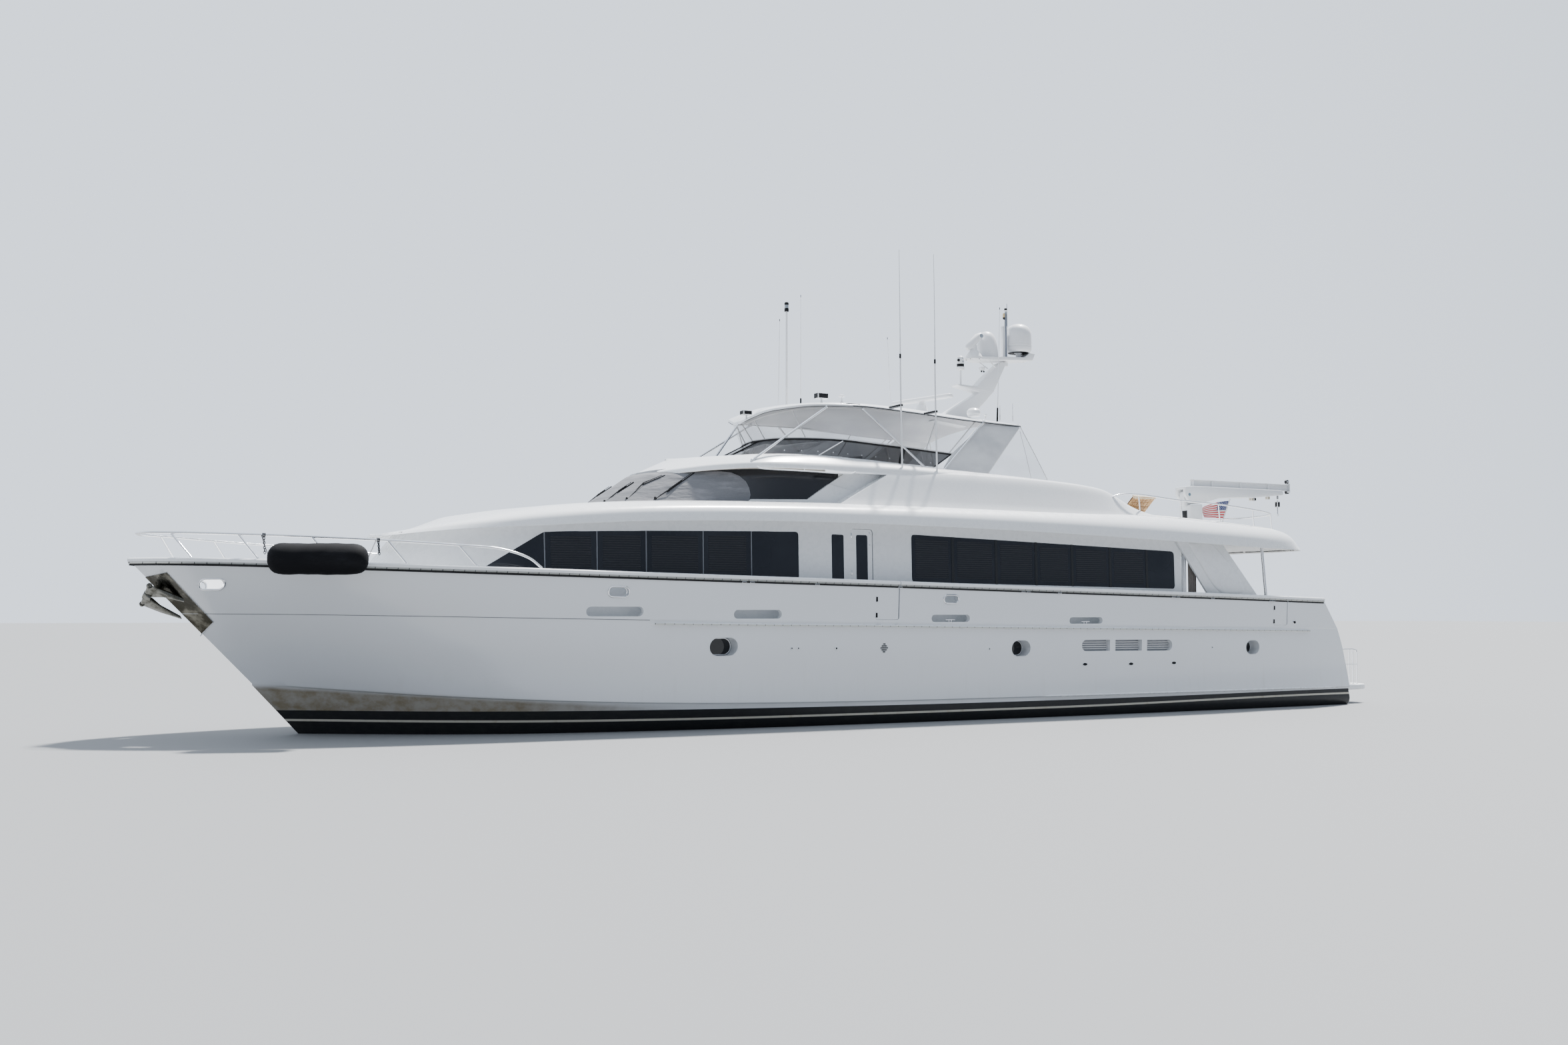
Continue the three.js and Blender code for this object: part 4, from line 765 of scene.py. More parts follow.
sheer_line = spline(SHEER, LENGTHWISE)
bulwark_foot = spline([(x, y, z + 0.002) for x, y, z in knuckle_line], LENGTHWISE)
middle_table = [
    (k[0] + (s[0] - k[0]) * 0.45, k[1] + (s[1] - k[1]) * 0.47, k[2] + (s[2] - k[2]) * 0.45)
    for k, s in zip(knuckle_line, SHEER)
]
bulwark_face = fair([bulwark_foot, spline(middle_table, LENGTHWISE), sheer_line], 4)


def bulwark_side(x, z):
    heights = [along(line, x) for line in bulwark_face]
    return float(np.interp(z, [p[2] for p in heights], [p[1] for p in heights]))


cap_section = [
    (0.03, -0.02), (0.04, -0.012), (0.045, 0.01), (0.042, 0.035), (0.025, 0.054), (0, 0.06), (-0.12, 0.06),
    (-0.145, 0.054), (-0.16, 0.035), (-0.162, 0.01), (-0.155, -0.02),
]
band_section = [(-0.01, -0.055), (0.022, -0.052), (0.034, -0.037), (0.034, -0.022), (-0.01, -0.018)]
# A thin black strip under the steel band is painted shadow below the cap.
shadow_line_section = [(-0.01, -0.092), (0.008, -0.09), (0.012, -0.06), (-0.01, -0.055)]
bulwark_parts = [port_half(wall(bulwark_face, 0, BULWARK))]
for finish, section in enumerate((cap_section, band_section, shadow_line_section), 1):
    bulwark_parts.append(port_half(moulding(sheer_line, section, finish)))
holes = Shape()
for x0, x1, z0, z1 in [*FAIRLEADS, *SLOTS]:
    near = 0.4 if x1 > 10 else 2.5
    holes.take(seen_from_side(pill(x0, x1, z0, z1), near))
for x0, x1, sill in GATES.values():
    holes.take(seen_from_side(rounded(x0, x1, sill, 4.2, 0.06), 2.5))
bulwark = Shape()
for part in bulwark_parts:
    bulwark.take(Shape().take(part).cut(holes))
Shape().both(bulwark).piece(
    "bulwarks", [topside, gel, banded, dark], "gelcoat", ["bulwark_port", "bulwark_starboard"], 28
)
for name, (x0, x1, sill) in GATES.items():
    outline = rounded(x0 + HINGE_CLEAR, x1 - 0.0003, sill + HINGE_CLEAR, 4.2, 0.055)
    outer = along(sheer_line, x0)[1]
    slant = [(x0 - 0.1, outer + 0.08), (x0 + HINGE_CLEAR, outer + 0.08), (x0 + GATE_BEVEL, outer - 0.26),
        (x0 - 0.1, outer - 0.26)]
    bevel = Shape().prism([(x, y, 1.9) for x, y in slant], (0, 0, 1.6))
    leaf = Shape()
    for part in bulwark_parts:
        leaf.take(Shape().take(part).cut(seen_from_side(outline, 2.5), "INTERSECT").cut(bevel))
    for z in (sill + 0.1, sill + 0.44):
        y = bulwark_side(x1 - 0.02, z)
        leaf.block((x1 - 0.045, y - 0.005, z - 0.05), (x1 - 0.002, y + 0.008, z + 0.05), 3)
        leaf.tube([(x1 - 0.006, y + 0.006, z - 0.055), (x1 - 0.006, y + 0.006, z + 0.055)], 0.005, 3, 8)
    for side in SIDES:
        made = Shape().take(leaf, mirror=SIDES[side] < 0)
        node = f"gate_{name}_{side}"
        made.piece(f"{node}_leaf", [topside, gel, banded, dark], "gelcoat", [node], 28, node)

# Deck edge fittings
# Fairleads are trimmed in polished stainless rings. Clips hang under the cap, cleats stand
# in the freeing slots and small steps sit below each gate.
edge_fittings = Shape()
for x0, x1, z0, z1 in FAIRLEADS:
    outline = pill(x0, x1, z0, z1, 10)
    edge_fittings.both(Shape().tube(ring_on(bulwark_side, outline, 0.004), 0.019, 0, 10, closed=True))
    inner_ring = ring_on(bulwark_side, outline, -BULWARK - 0.004)
    edge_fittings.both(Shape().tube(inner_ring, 0.015, 0, 8, closed=True))
for x0, x1, z0, z1 in SLOTS[2:]:
    x, z = (x0 + x1) / 2 - 0.02, z0 + 0.004
    y = bulwark_side(x, z) - 0.06
    one = rod((x - 0.12, y, z + 0.045), (x + 0.12, y, z + 0.045), 0.01)
    for leg in (x - 0.035, x + 0.035):
        one.take(rod((leg, y, z - 0.01), (leg, y, z + 0.045), 0.011))
    edge_fittings.both(one)
for x in (3.9, 3.72, 2.2, 0.15, -3.15, -3.3, -4.2, -7.7, -7.85, -9, -11.05, -11.15):
    p = along(sheer_line, x)
    edge_fittings.both(Shape().block((x - 0.05, p[1] - 0.01, p[2] - 0.095),
        (x + 0.05, p[1] + 0.03, p[2] - 0.06), 1, 0.006))
for x, z in [(0.672, 2.128), (0.218, 2.126)]:
    y = bulwark_side(x, 2.2)
    edge_fittings.both(Shape().block((x - 0.04, y - 0.01, z - 0.02), (x + 0.04, y + 0.05, z + 0.012), 0,
        0.006))
p = (-11.949, bulwark_side(-11.949, 2.146), 2.146)
inlet = Shape().turned([(0.06, -0.02), (0.06, 0.012), (0.045, 0.02), (0.042, 0.008), (0, 0.006)], p, 0,
    (0, 1, 0))
inlet.turned([(0.034, 0), (0.03, 0.018), (0, 0.02)], p, 1, (0, 1, 0))
edge_fittings.both(inlet)
edge_fittings.piece("deck_edge_fittings", [steel, dark], "polished_steel")


# Decks and swim platform
# The raised foredeck inside the bulwarks and the platform across the stern are moulded with
# a worn non-slip surface.
def traced(node, bevel, segments=2):
    """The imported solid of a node, with its edges rounded."""
    made = Shape()
    made.bm.from_mesh(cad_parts[node].data)
    for face in made.bm.faces:
        face.material_index = 0
    made.weld()
    bmesh.ops.dissolve_limit(
        made.bm, angle_limit=radians(1), verts=made.bm.verts, edges=made.bm.edges,
        use_dissolve_boundaries=False,
    )
    return made.soften(bevel, segments)


for node, bevel, segments in (("foredeck", 0.008, 2), ("swim_platform", 0.03, 3)):
    deck = traced(node, bevel, segments).paint(1, lambda normal, middle: normal.z > LEVEL)
    deck.piece(f"{node}_moulding", [gel, deck_grip], "gelcoat", [node])
staples = Shape()
for x in (-14.66, -14.79, -14.945):
    staples.both(Shape().tube([(x, 2.3, 0.49), (x, 2.3, 1.41)], 0.014, 0))
top = [(-14.3, 2.3, 0.49), (-14.3, 2.3, 1.3), (-14.36, 2.3, 1.4), (-14.45, 2.3, 1.42), (-14.8, 2.3, 1.42),
    (-14.9, 2.3, 1.4), (-14.945, 2.3, 1.33)]
staples.both(Shape().tube(top, 0.014, 0)).both(rod((-14.3, 2.3, 1.02), (-14.945, 2.3, 1.02), 0.011))
for x in (-14.3, -14.66, -14.79, -14.945):
    staples.both(Shape().turned([(0.035, 0), (0.035, 0.008), (0.016, 0.012)], (x, 2.3, 0.5)))
staples.piece("platform_rails", [steel], "polished_steel")

# Roof and boat deck moulding
# One long moulding covers the house and the aft deck. Its deep side band turns over a soft
# shoulder into the boat deck, and its fore end droops over the coach roof as a thin brow.
#
# lower edge x, y, z | band top x, y, z | deck edge x, y, z | crown x, z
ROOF = [
    (10.72, 0, 3.9, 10.64, 0, 3.96, 10.05, 0, 4.04, 9.8, 4.09),
    (10.56, 0.9, 3.905, 10.45, 0.86, 3.99, 9.9, 0.64, 4.08, 9.65, 4.17),
    (10.08, 1.62, 3.95, 9.95, 1.56, 4.07, 9.5, 1.2, 4.18, 9.3, 4.33),
    (9.25, 2.23, 4.01, 9.15, 2.17, 4.18, 8.8, 1.76, 4.33, 8.7, 4.45),
    (8, 2.7, 4.08, 7.95, 2.65, 4.32, 7.8, 2.23, 4.51, 7.7, 4.6),
    (6, 3.03, 4.2, 6, 2.99, 4.48, 6, 2.56, 4.66, 6, 4.73),
    (3, 3.17, 4.28, 3, 3.14, 4.57, 3, 2.72, 4.75, 3, 4.82),
    (0, 3.2, 4.28, 0, 3.17, 4.58, 0, 2.76, 4.79, 0, 4.86),
    (-4, 3.18, 4.215, -4, 3.15, 4.53, -4, 2.76, 4.79, -4, 4.87),
    (-8, 3.13, 4.1, -8, 3.1, 4.43, -8, 2.72, 4.78, -8, 4.85),
    (-11, 2.92, 4.01, -11, 2.89, 4.35, -10.95, 2.56, 4.64, -10.9, 4.72),
    (-12.15, 2.69, 4, -12.1, 2.63, 4.36, -11.85, 2.38, 4.59, -11.8, 4.65),
    (-12.65, 2.56, 4, -12.45, 2.45, 4.38, -12.25, 2.2, 4.54, -12.2, 4.6),
    (-12.95, 2.3, 4, -12.68, 2.2, 4.38, -12.45, 1.95, 4.51, -12.42, 4.56),
    (-13.12, 1.85, 4, -12.82, 1.78, 4.38, -12.57, 1.55, 4.5, -12.54, 4.54),
    (-13.2, 0.95, 4, -12.9, 0.93, 4.38, -12.63, 0.8, 4.5, -12.6, 4.53),
    (-13.22, 0, 4, -12.92, 0, 4.38, -12.65, 0, 4.5, -12.62, 4.53),
]
UNDER = 0.07
CORNER_STEPS = 5


def eased(section, radii):
    """Rounds the corners of an open section, each with its own reach."""
    points = [np.asarray(p, float) for p in section]
    made = [points[0]]
    for before, p, after, reach in zip(points, points[1:], points[2:], radii):
        if not reach:
            made.append(p)
            continue
        back, ahead = before - p, after - p
        start = p + back * min(reach / max(np.linalg.norm(back), 1e-6), 0.48)
        end = p + ahead * min(reach / max(np.linalg.norm(ahead), 1e-6), 0.48)
        for t in np.linspace(0, 1, CORNER_STEPS + 1):
            made.append((1 - t) ** 2 * start + 2 * t * (1 - t) * p + t**2 * end)
    return [*made, points[-1]]


def mirrored_loft(tables, radii):
    """A body through smooth lines from the top centre down the port side, and its mirror image."""
    rings = []
    for section in np.swapaxes(np.asarray(smooth_lines(tables)), 0, 1):
        half = eased(section, radii)
        other = [p * (1, -1, 1) for p in reversed(half)]
        rings.append([*half, *other])
    return Shape().skin(rings).weld()


roof_lower = column(ROOF, 0)
roof_under = [(x, max(0, y - 0.13) if y else 0, z + UNDER * 0.7) for x, y, z in roof_lower]
roof = mirrored_loft(
    [[(r[9], 0, r[10]) for r in ROOF], column(ROOF, 6), column(ROOF, 3), roof_lower, roof_under,
     [(x, 0, z + UNDER) for x, y, z in roof_lower]],
    [0.5, 0.17, 0.03, 0.03],
)
WELL = ((1.7, -1.85, 3.5), (4.9, 1.85, 5.2))
roof.cut(Shape().block(*WELL), crossing=True)
roof.paint(1, lambda normal, middle: normal.z > 0.93 and middle.z > 4.4 and middle.x < -7.6)
roof.paint(2, lambda normal, middle: normal.z < -0.5 and middle.x < -8.6)
headliner = gelcoat("headliner", (0.62, 0.62, 0.61), 0.45)
roof.piece("roof_moulding", [gel, deck_grip, headliner], "gelcoat", ["roof"], 40)

# House
# The sides and the raked front of the house are one smooth moulded wall, with windows cut
# into it. The tinted panes are bonded in almost flush behind thin bars.
#
# foot x, y | head x, y, z
HOUSE = [
    (11.9, 0, 10.06, 0, 3.92), (11.65, 0.9, 9.9, 0.8, 3.93), (10.95, 1.65, 9.45, 1.48, 3.96),
    (9.9, 2.18, 8.8, 2, 4.02), (8.7, 2.48, 8, 2.33, 4.09), (7.3, 2.64, 6.9, 2.54, 4.18),
    (5, 2.76, 5, 2.68, 4.27), (1, 2.8, 1, 2.73, 4.32), (-4, 2.79, -4, 2.73, 4.23),
    (-8.45, 2.74, -8.45, 2.69, 4.09),
]
WALL, HOUSE_FOOT = 0.07, 1.9
house_foot, house_head = [], []
for foot_x, foot_y, head_x, head_y, head_z in HOUSE:
    share = (head_z + 0.1 - HOUSE_FOOT) / (head_z + 0.26 - HOUSE_FOOT)
    house_foot.append((foot_x, foot_y, HOUSE_FOOT))
    house_head.append((foot_x + (head_x - foot_x) * share, foot_y + (head_y - foot_y) * share,
        head_z + 0.1))
house_lines = smooth_lines([house_foot, house_head])


def house_side(x, z):
    low, high = along(house_lines[0], x), along(house_lines[1], x)
    return float(low[1] + (high[1] - low[1]) * (z - low[2]) / (high[2] - low[2]))


def softened(outline, reaches):
    """A closed side-view outline with its corners rounded."""
    points = [(x, 0, z) for x, z in outline]
    made = eased([points[-1], *points, points[0]], reaches)[1:-1]
    return [(p[0], p[2]) for p in made]


FORWARD_WINDOW = softened(
    [(8.95, 3.29), (7.85, 3.985), (6.5, 4.03), (2.28, 4.112), (2.28, 3.078), (8.95, 3.2)],
    [0.02, 0.05, 0.3, 0.09, 0.09, 0.02],
)
AFT_WINDOW = softened([(-0.54, 4.13), (-8.24, 3.9), (-8.24, 2.955), (-0.54, 3.05)], [0.1, 0.13, 0.1, 0.1])
SIDE_LIGHT = softened([(1.484, 4.08), (1.17, 4.075), (1.17, 2.98), (1.484, 2.985)], [0.05] * 4)
DOOR = (0.44, 1, 2.26, 4.2)
DOOR_GLASS = rounded(0.57, 0.87, 3, 4.08, 0.05)
DOOR_LATCH = 0.022


def across(outline):
    return seen_from_side(outline, 0.5)


walls = port_half(wall(house_lines, 0, WALL))
for outline in (FORWARD_WINDOW, AFT_WINDOW, SIDE_LIGHT, rounded(*DOOR, 0.07)):
    walls.cut(across(outline))
house = Shape().both(walls)
house.piece("house_walls", [gel], "gelcoat", ["house_side_port", "house_side_starboard", "house_front"], 30)

window_glass = Finish("window_glass", base_color=(0.012, 0.014, 0.02), roughness=0.04)
window_glass.colour(window_glass.noise(0.8, 2).fade(0.3, 0.8), (0.008, 0.01, 0.015), (0.018, 0.02, 0.026))
blinds = Finish("lowered_blinds", roughness=0.06)
x, y, z = blinds.axes()
slats = ((z * 21).math("PINGPONG", z * 21, 0.5) * 2).fade(0.55, 0.95)
blinds.colour(slats, (0.011, 0.012, 0.015), (0.032, 0.03, 0.032))
bar_grey = Finish("window_bars", base_color=(0.16, 0.17, 0.19), roughness=0.3)
bar_black = Finish("window_frames", base_color=(0.006, 0.007, 0.009), roughness=0.25)


def inset_band(x_fore, x_aft, low, high, under, over, outer, inner, finish):
    """A strip of the wall between two places, reaching past the low and high lines."""
    fore = [(x_fore, low(x_fore) - under), (x_fore, high(x_fore) + over)]
    strip = [*fore, (x_aft, high(x_aft) + over), (x_aft, low(x_aft) - under)]
    return wall(house_lines, outer, inner, finish).cut(across(strip), "INTERSECT")


def line_at(points):
    places = sorted(points)
    return lambda x: float(np.interp(x, [p[0] for p in places], [p[1] for p in places]))


FORWARD_BARS = [7.84, 6.79, 5.76, 4.51, 3.405]
AFT_BARS = [-1.66, -2.855, -3.99, -5.05, -6.205, -7.35]
FORWARD_EDGES = [(8.95, 3.2), (2.28, 3.078)], [(8.95, 3.29), (7.85, 3.985), (6.5, 4.03), (2.28, 4.112)]
AFT_EDGES = [(-8.24, 2.955), (-0.54, 3.05)], [(-8.24, 3.9), (-0.54, 4.13)]
for name, outline, bars, blinds_from, half_bar, bar_finish, edges in (
    ("forward", FORWARD_WINDOW, FORWARD_BARS, [], 0.012, 2, FORWARD_EDGES),
    ("aft", AFT_WINDOW, AFT_BARS, [-0.54], 0.035, 3, AFT_EDGES),
):
    low, high = (line_at(edge) for edge in edges)
    glass = wall(house_lines, 0.012, 0.03).cut(across(outline), "INTERSECT")
    for x in bars:
        bar = inset_band(x + half_bar, x - half_bar, low, high, 0.02, 0.02, 0.006, 0.014, bar_finish)
        glass.take(bar.cut(across(outline), "INTERSECT"))
    ends = [*blinds_from, *bars]
    for fore, aft in zip(ends, ends[1:]):
        glass.take(inset_band(fore - 0.12, aft + 0.12, low, high, -0.11, -0.1, 0.0105, 0.013, 1))
    for side in SIDES:
        glass_finishes = [window_glass, blinds, bar_grey, bar_black]
        one = Shape().take(glass, mirror=SIDES[side] < 0)
        one.piece(f"{name}_window_{side}", glass_finishes, "tinted_glass", [f"window_{name}_{side}"], 20)

trim = Shape()
for outline, reach in ((AFT_WINDOW, 0.014), (SIDE_LIGHT, 0.008), (FORWARD_WINDOW, 0.006)):
    trim.both(Shape().tube([(x, house_side(x, z) - 0.004, z) for x, z in outline], reach, 0, 8,
        closed=True))
light = wall(house_lines, 0.012, 0.03, 1).cut(across(SIDE_LIGHT), "INTERSECT")
trim.both(light)
trim.piece("window_trim", [gel, window_glass], "gelcoat")

# Side doors
# Each side deck has a narrow moulded door with a tall light in it. It hinges at its forward
# edge on two stainless hinges and locks at three points.
for side in SIDES:
    x0, x1, z0, z1 = DOOR
    leaf = wall(house_lines, 0.008, WALL - 0.008).cut(
        across(rounded(x0 + DOOR_LATCH, x1 - 0.0003, z0 + 0.006, z1 - 0.006, 0.065)), "INTERSECT"
    )
    leaf.cut(across(DOOR_GLASS))
    leaf.take(wall(house_lines, 0.014, 0.03, 1).cut(across(DOOR_GLASS), "INTERSECT"))
    leaf.tube([(x, house_side(x, z) - 0.008, z) for x, z in DOOR_GLASS], 0.007, 0, 8, closed=True)
    for z in (3.25, 4.06):
        y = house_side(x1, z)
        leaf.block((x1 - 0.035, y - 0.01, z - 0.055), (x1 - 0.004, y - 0.001, z + 0.055), 2, 0.003)
    for z, reach in ((4.12, 0.02), (3.86, 0.014), (3.02, 0.024)):
        y = house_side(x0, z)
        leaf.turned([(reach, -0.01), (reach, 0.008), (reach * 0.6, 0.014)], (x0 + 0.085, y - 0.006, z), 2,
            (0, 1, 0), 16)
    y = house_side(x0, 3.02)
    leaf.tube([(x0 + 0.085, y + 0.005, 3.02), (x0 + 0.085, y + 0.03, 3.02), (x0 + 0.17, y + 0.034, 3.02)],
        0.008, 2, 8)
    node = f"side_door_{side}"
    Shape().take(leaf, mirror=SIDES[side] < 0).piece(f"{node}_leaf", [gel, window_glass, steel], "gelcoat",
        [node], body=node)

# Saloon doors and aft deck
# Two tinted sliding doors close the saloon, each in a slim stainless frame on a steel track.
# A stainless upright and a drawn curtain stand beside them under the overhang.
bulkhead = traced("aft_bulkhead", 0.006)
bulkhead.piece("saloon_bulkhead", [gel], "gelcoat", ["aft_bulkhead"])
for side in SIDES:
    low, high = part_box(f"saloon_door_{side}")
    x0, y0, z0 = low
    x1, y1, z1 = high
    frame_width = 0.055
    made = Shape().block((x0 + 0.015, y0 + 0.03, z0 + 0.03), (x1 - 0.015, y1 - 0.03, z1 - 0.03), 0)
    for ya, za, yb, zb in (
        (y0, z0, y0 + frame_width, z1), (y1 - frame_width, z0, y1, z1), (y0, z0, y1, z0 + 0.09),
        (y0, z1 - frame_width, y1, z1),
    ):
        made.block((x0, ya, za), (x1, yb, zb), 1, 0.004)
    handle = y0 + 0.09 if side == "port" else y1 - 0.09
    grip = [(0.004, 2.85), (0.04, 2.88), (0.04, 3.22), (0.004, 3.25)]
    made.tube([(x0 - out, handle, z) for out, z in grip], 0.011, 1)
    node = f"saloon_door_{side}"
    made.piece(f"{node}_pane", [window_glass, steel], "tinted_glass", [node], body=node)

curtain_cloth = Finish("curtain_cloth", base_color=(0.25, 0.22, 0.2), roughness=0.9)
weave = curtain_cloth.noise(90, 2, 0.5, (1, 1, 0.2))
curtain_cloth.colour(weave.fade(0.3, 0.7), (0.23, 0.205, 0.185), (0.31, 0.28, 0.26))
curtain_cloth.bump(weave, 0.2)
upright = Shape()
upright.both(rod((-8.65, 2.6, 2), (-8.65, 2.6, 4.2), 0.045, 0, 16))
upright.both(rod((-8.56, 2.62, 2), (-8.56, 2.62, 4.2), 0.018))
upright.piece("aft_deck_uprights", [steel], "polished_steel")
for side, s in SIDES.items():
    steps = 46
    foot = [(-8.76 - 0.3 * k / steps, s * (2.6 + 0.026 * sin(k * 0.95) - 0.02 * k / steps),
        2.14) for k in range(steps + 1)]
    rings = [[np.array(p), np.array(p) + (0, 0, 0.9), np.array(p) + (0, -0.004 * s, 1.86)] for p in foot]
    drape = Shape().skin(rings, 0, around=False, ends=False)
    made = drape.piece(f"aft_curtain_{side}", [curtain_cloth], "white_fabric", sharp=80)

# Flybridge moulding
# The brow over the pilothouse, the coaming round the flybridge and the long side fairings are
# moulded in one with soft shoulders. The brow has a thin lip, and its underside is tan as painted shade.
#
# edge x, y, z | lip x, y, z | coaming x, y, z
BROW = [
    (4.99, 0, 5.32, 4.96, 0, 5.42, 4.2, 0, 5.76), (4.86, 0.7, 5.33, 4.83, 0.68, 5.435, 4.1, 0.6, 5.77),
    (4.48, 1.4, 5.37, 4.45, 1.38, 5.48, 3.85, 1.2, 5.78),
    (3.85, 2, 5.425, 3.83, 1.98, 5.545, 3.4, 1.75, 5.79),
    (3, 2.4, 5.465, 3, 2.38, 5.59, 2.7, 2.09, 5.83), (1.5, 2.5, 5.475, 1.5, 2.48, 5.6, 1.5, 2.2, 5.86),
    (0.4, 2.53, 5.47, 0.4, 2.51, 5.6, 0.4, 2.26, 5.83),
    (-0.8, 2.55, 5.46, -0.8, 2.53, 5.59, -0.8, 2.3, 5.74),
    (-2.4, 2.5, 5.42, -2.4, 2.48, 5.52, -2.4, 2.34, 5.66),
    (-4.4, 2.44, 5.36, -4.4, 2.42, 5.45, -4.4, 2.34, 5.56),
]
# x, foot y, foot z, shoulder z
FAIRING = [
    (1.5, 2.9, 4.6, 5.56), (-0.5, 2.92, 4.6, 5.58), (-2.5, 2.92, 4.59, 5.57), (-4.5, 2.91, 4.58, 5.52),
    (-5.8, 2.89, 4.57, 5.43), (-6.3, 2.875, 4.565, 5.35), (-6.7, 2.865, 4.56, 5.19),
    (-7.1, 2.855, 4.555, 5),
    (-7.5, 2.845, 4.55, 4.87), (-7.9, 2.83, 4.545, 4.79),
]
COCKPIT = ((-9, -2.26, 4), (0.9, 2.26, 7))
# The darker tan on the brow's downward faces is painted shade.
brow_shade = Finish("painted_brow_shade", base_color=(0.5, 0.46, 0.4), roughness=0.6)
brow_shade.bump(brow_shade.noise(60, 2), 0.1)


def along_centre(table, first, lift):
    return [(r[first], 0, r[first + 2] + lift) for r in table]


brow = mirrored_loft(
    [along_centre(BROW, 6, 0.06), column(BROW, 6), column(BROW, 3), column(BROW, 0),
        along_centre(BROW, 0, 0.04)],
    [0.24, 0.055, 0.03],
)
brow.cut(Shape().block(*COCKPIT), crossing=True)
# Faces that look down take the tan painted shade.
brow.paint(1, lambda normal, middle: normal.z < -0.6 and middle.z > 5.2)

FAIRING_SECTION = [(0.13, 0.22), (0.25, 0.55), (0.36, 0.88), (0.44, 1)]
lines = [[(x, 1.9, z) for x, y, z, top in FAIRING], [(x, y, z) for x, y, z, top in FAIRING]]
for inward, rise in FAIRING_SECTION:
    lines.append([(x, y - inward, z + (top - z) * rise) for x, y, z, top in FAIRING])
lines.append([(x, 1.9, top + 0.01) for x, y, z, top in FAIRING])
sections = np.swapaxes(smooth_lines(lines), 0, 1)
fairing = Shape().skin([eased(section, [0, 0.1, 0.14, 0.12, 0.1, 0]) for section in sections]).weld()
slope = [(-0.06, 5.44), (1.36, 4.69), (1.6, 4), (40, 4), (40, 5.44)]
window_side = [(0.3, 5.826), (0.893, 5.447), (1.866, 4.828), (2.5, 4.42), (3, 4), (3, 7), (0.3, 7)]
fairing.cut(seen_from_side(slope, 2.3)).cut(Shape().block(*COCKPIT)).cut(seen_from_side(window_side, 1,
    2.5))
flybridge = Shape().take(brow).both(fairing)
flybridge.block((0.88, -2.25, 4.7), (1.02, 2.25, 5.8), 0, 0.02)
step = [(3.342, 4.697), (1.182, 4.73), (0.6, 5.05), (1.3, 5.2), (1.85, 4.84), (3.2, 4.8)]
plinth_lines = smooth_lines([[(3.5, 2.3, 4.55), (1.78, 2.37, 4.55), (0.4, 2.37, 4.55)],
    [(3.4, 2.27, 5.3), (1.78, 2.33, 5.3), (0.4, 2.31, 5.3)]])
flybridge.both(wall(plinth_lines, 0, 0.1).cut(seen_from_side(step, 0.5), "INTERSECT").soften(0.012, 2, 40))
flybridge.piece("flybridge_moulding", [gel, brow_shade], "gelcoat", ["flybridge"], 38)

# Pilothouse windows
# Raked black glass runs round the pilothouse. A tight woven cover is buttoned over the front
# panes, and the wipers stand on top of it. A white grab rail is bolted under the brow.
#
# foot x, y, z | head x, y, z
PILOT = [
    (6.12, 0, 4.66, 4.86, 0, 5.48), (5.94, 0.8, 4.66, 4.74, 0.7, 5.49), (5.33, 1.5, 4.67, 4.31, 1.35, 5.51),
    (4.33, 2.04, 4.7, 3.68, 1.8, 5.54), (3.25, 2.29, 4.72, 2.95, 2.12, 5.57),
    (1.78, 2.33, 4.72, 0.82, 2.22, 5.56),
]
pilot_lines = smooth_lines([column(PILOT, 0), column(PILOT, 3)])
side_glass = Finish("pilothouse_tint", base_color=(0.015, 0.016, 0.02), roughness=0.12)
side_glass.set("Roughness", side_glass.noise(2, 2).fade(0.3, 0.7) * 0.1 + 0.1)
pilot = port_half(wall(pilot_lines, 0.001, 0.03))
aft_edge = [(0.3, 5.447 + 0.379), (0.893, 5.447), (1.866, 4.828), (2.5, 4.42), (-1, 4.3)]
pilot.cut(seen_from_side(aft_edge, 0.5))
both_sides = Shape().both(pilot)
both_sides.piece("pilothouse_windows", [side_glass], "tinted_glass", ["pilothouse_glass"], 40)

mesh_cloth = Finish("cover_mesh", base_color=(0.04, 0.041, 0.046), roughness=0.8)
grain = mesh_cloth.noise(160, 2, 0.5)
folds_and_sheen = mesh_cloth.noise(2.2, 3, 0.55, (1, 0.35, 3.2))
shade = mesh_cloth.mix(grain.fade(0.3, 0.75), (0.12, 0.123, 0.133), (0.17, 0.173, 0.185))
# Where the folds rise, the cloth is lighter: painted sheen. The same noise bumps the folds.
mesh_cloth.colour(folds_and_sheen.fade(0.5, 0.8) * 0.5, shade, (0.27, 0.27, 0.29))
mesh_cloth.bump(folds_and_sheen * 0.05 + grain * 0.0012, 0.7, 1)
COVER_TOP = [(0, 0.93), (1.6, 0.9), (2.44, 0.85), (3.1, 0.83), (3.4, 0.79), (3.65, 0.69), (3.84, 0.54),
    (3.94, 0.38), (4, 0.2)]
rings = []
for i in np.linspace(0, 4.0 * LENGTHWISE, 121):
    share = float(np.interp(i / LENGTHWISE, [p[0] for p in COVER_TOP], [p[1] for p in COVER_TOP]))
    low, high = ([np.interp(i, range(len(line)), line[:, k]) for k in range(3)] for line in pilot_lines)
    low, high = np.array(low), np.array(high)
    beside = min(int(i), len(pilot_lines[0]) - 2)
    run = pilot_lines[0][beside + 1] - pilot_lines[0][beside]
    out = np.array((run[1], -run[0], 0.6 * hypot(run[0], run[1])))
    out /= np.linalg.norm(out)
    outer = []
    for t in np.linspace(0.02, share, 15):
        x, y, z = low + (high - low) * t
        ripple = 0.006 * sin(x * 23 + z * 31) * exp(-(((x - 3.55) / 0.3) ** 2) - (((z - 4.95) / 0.16) ** 2))
        outer.append(np.array((x, y, z)) + out * (0.011 + ripple + 0.0025 * sin(x * 7 + y * 9)))
    rings.append(outer + [p - out * 0.006 for p in reversed(outer)])
cover_mesh = Shape().both(Shape().skin(rings)).weld(2e-4)
cover_piece = cover_mesh.piece("windscreen_cover", [mesh_cloth], "black_cover", sharp=70)

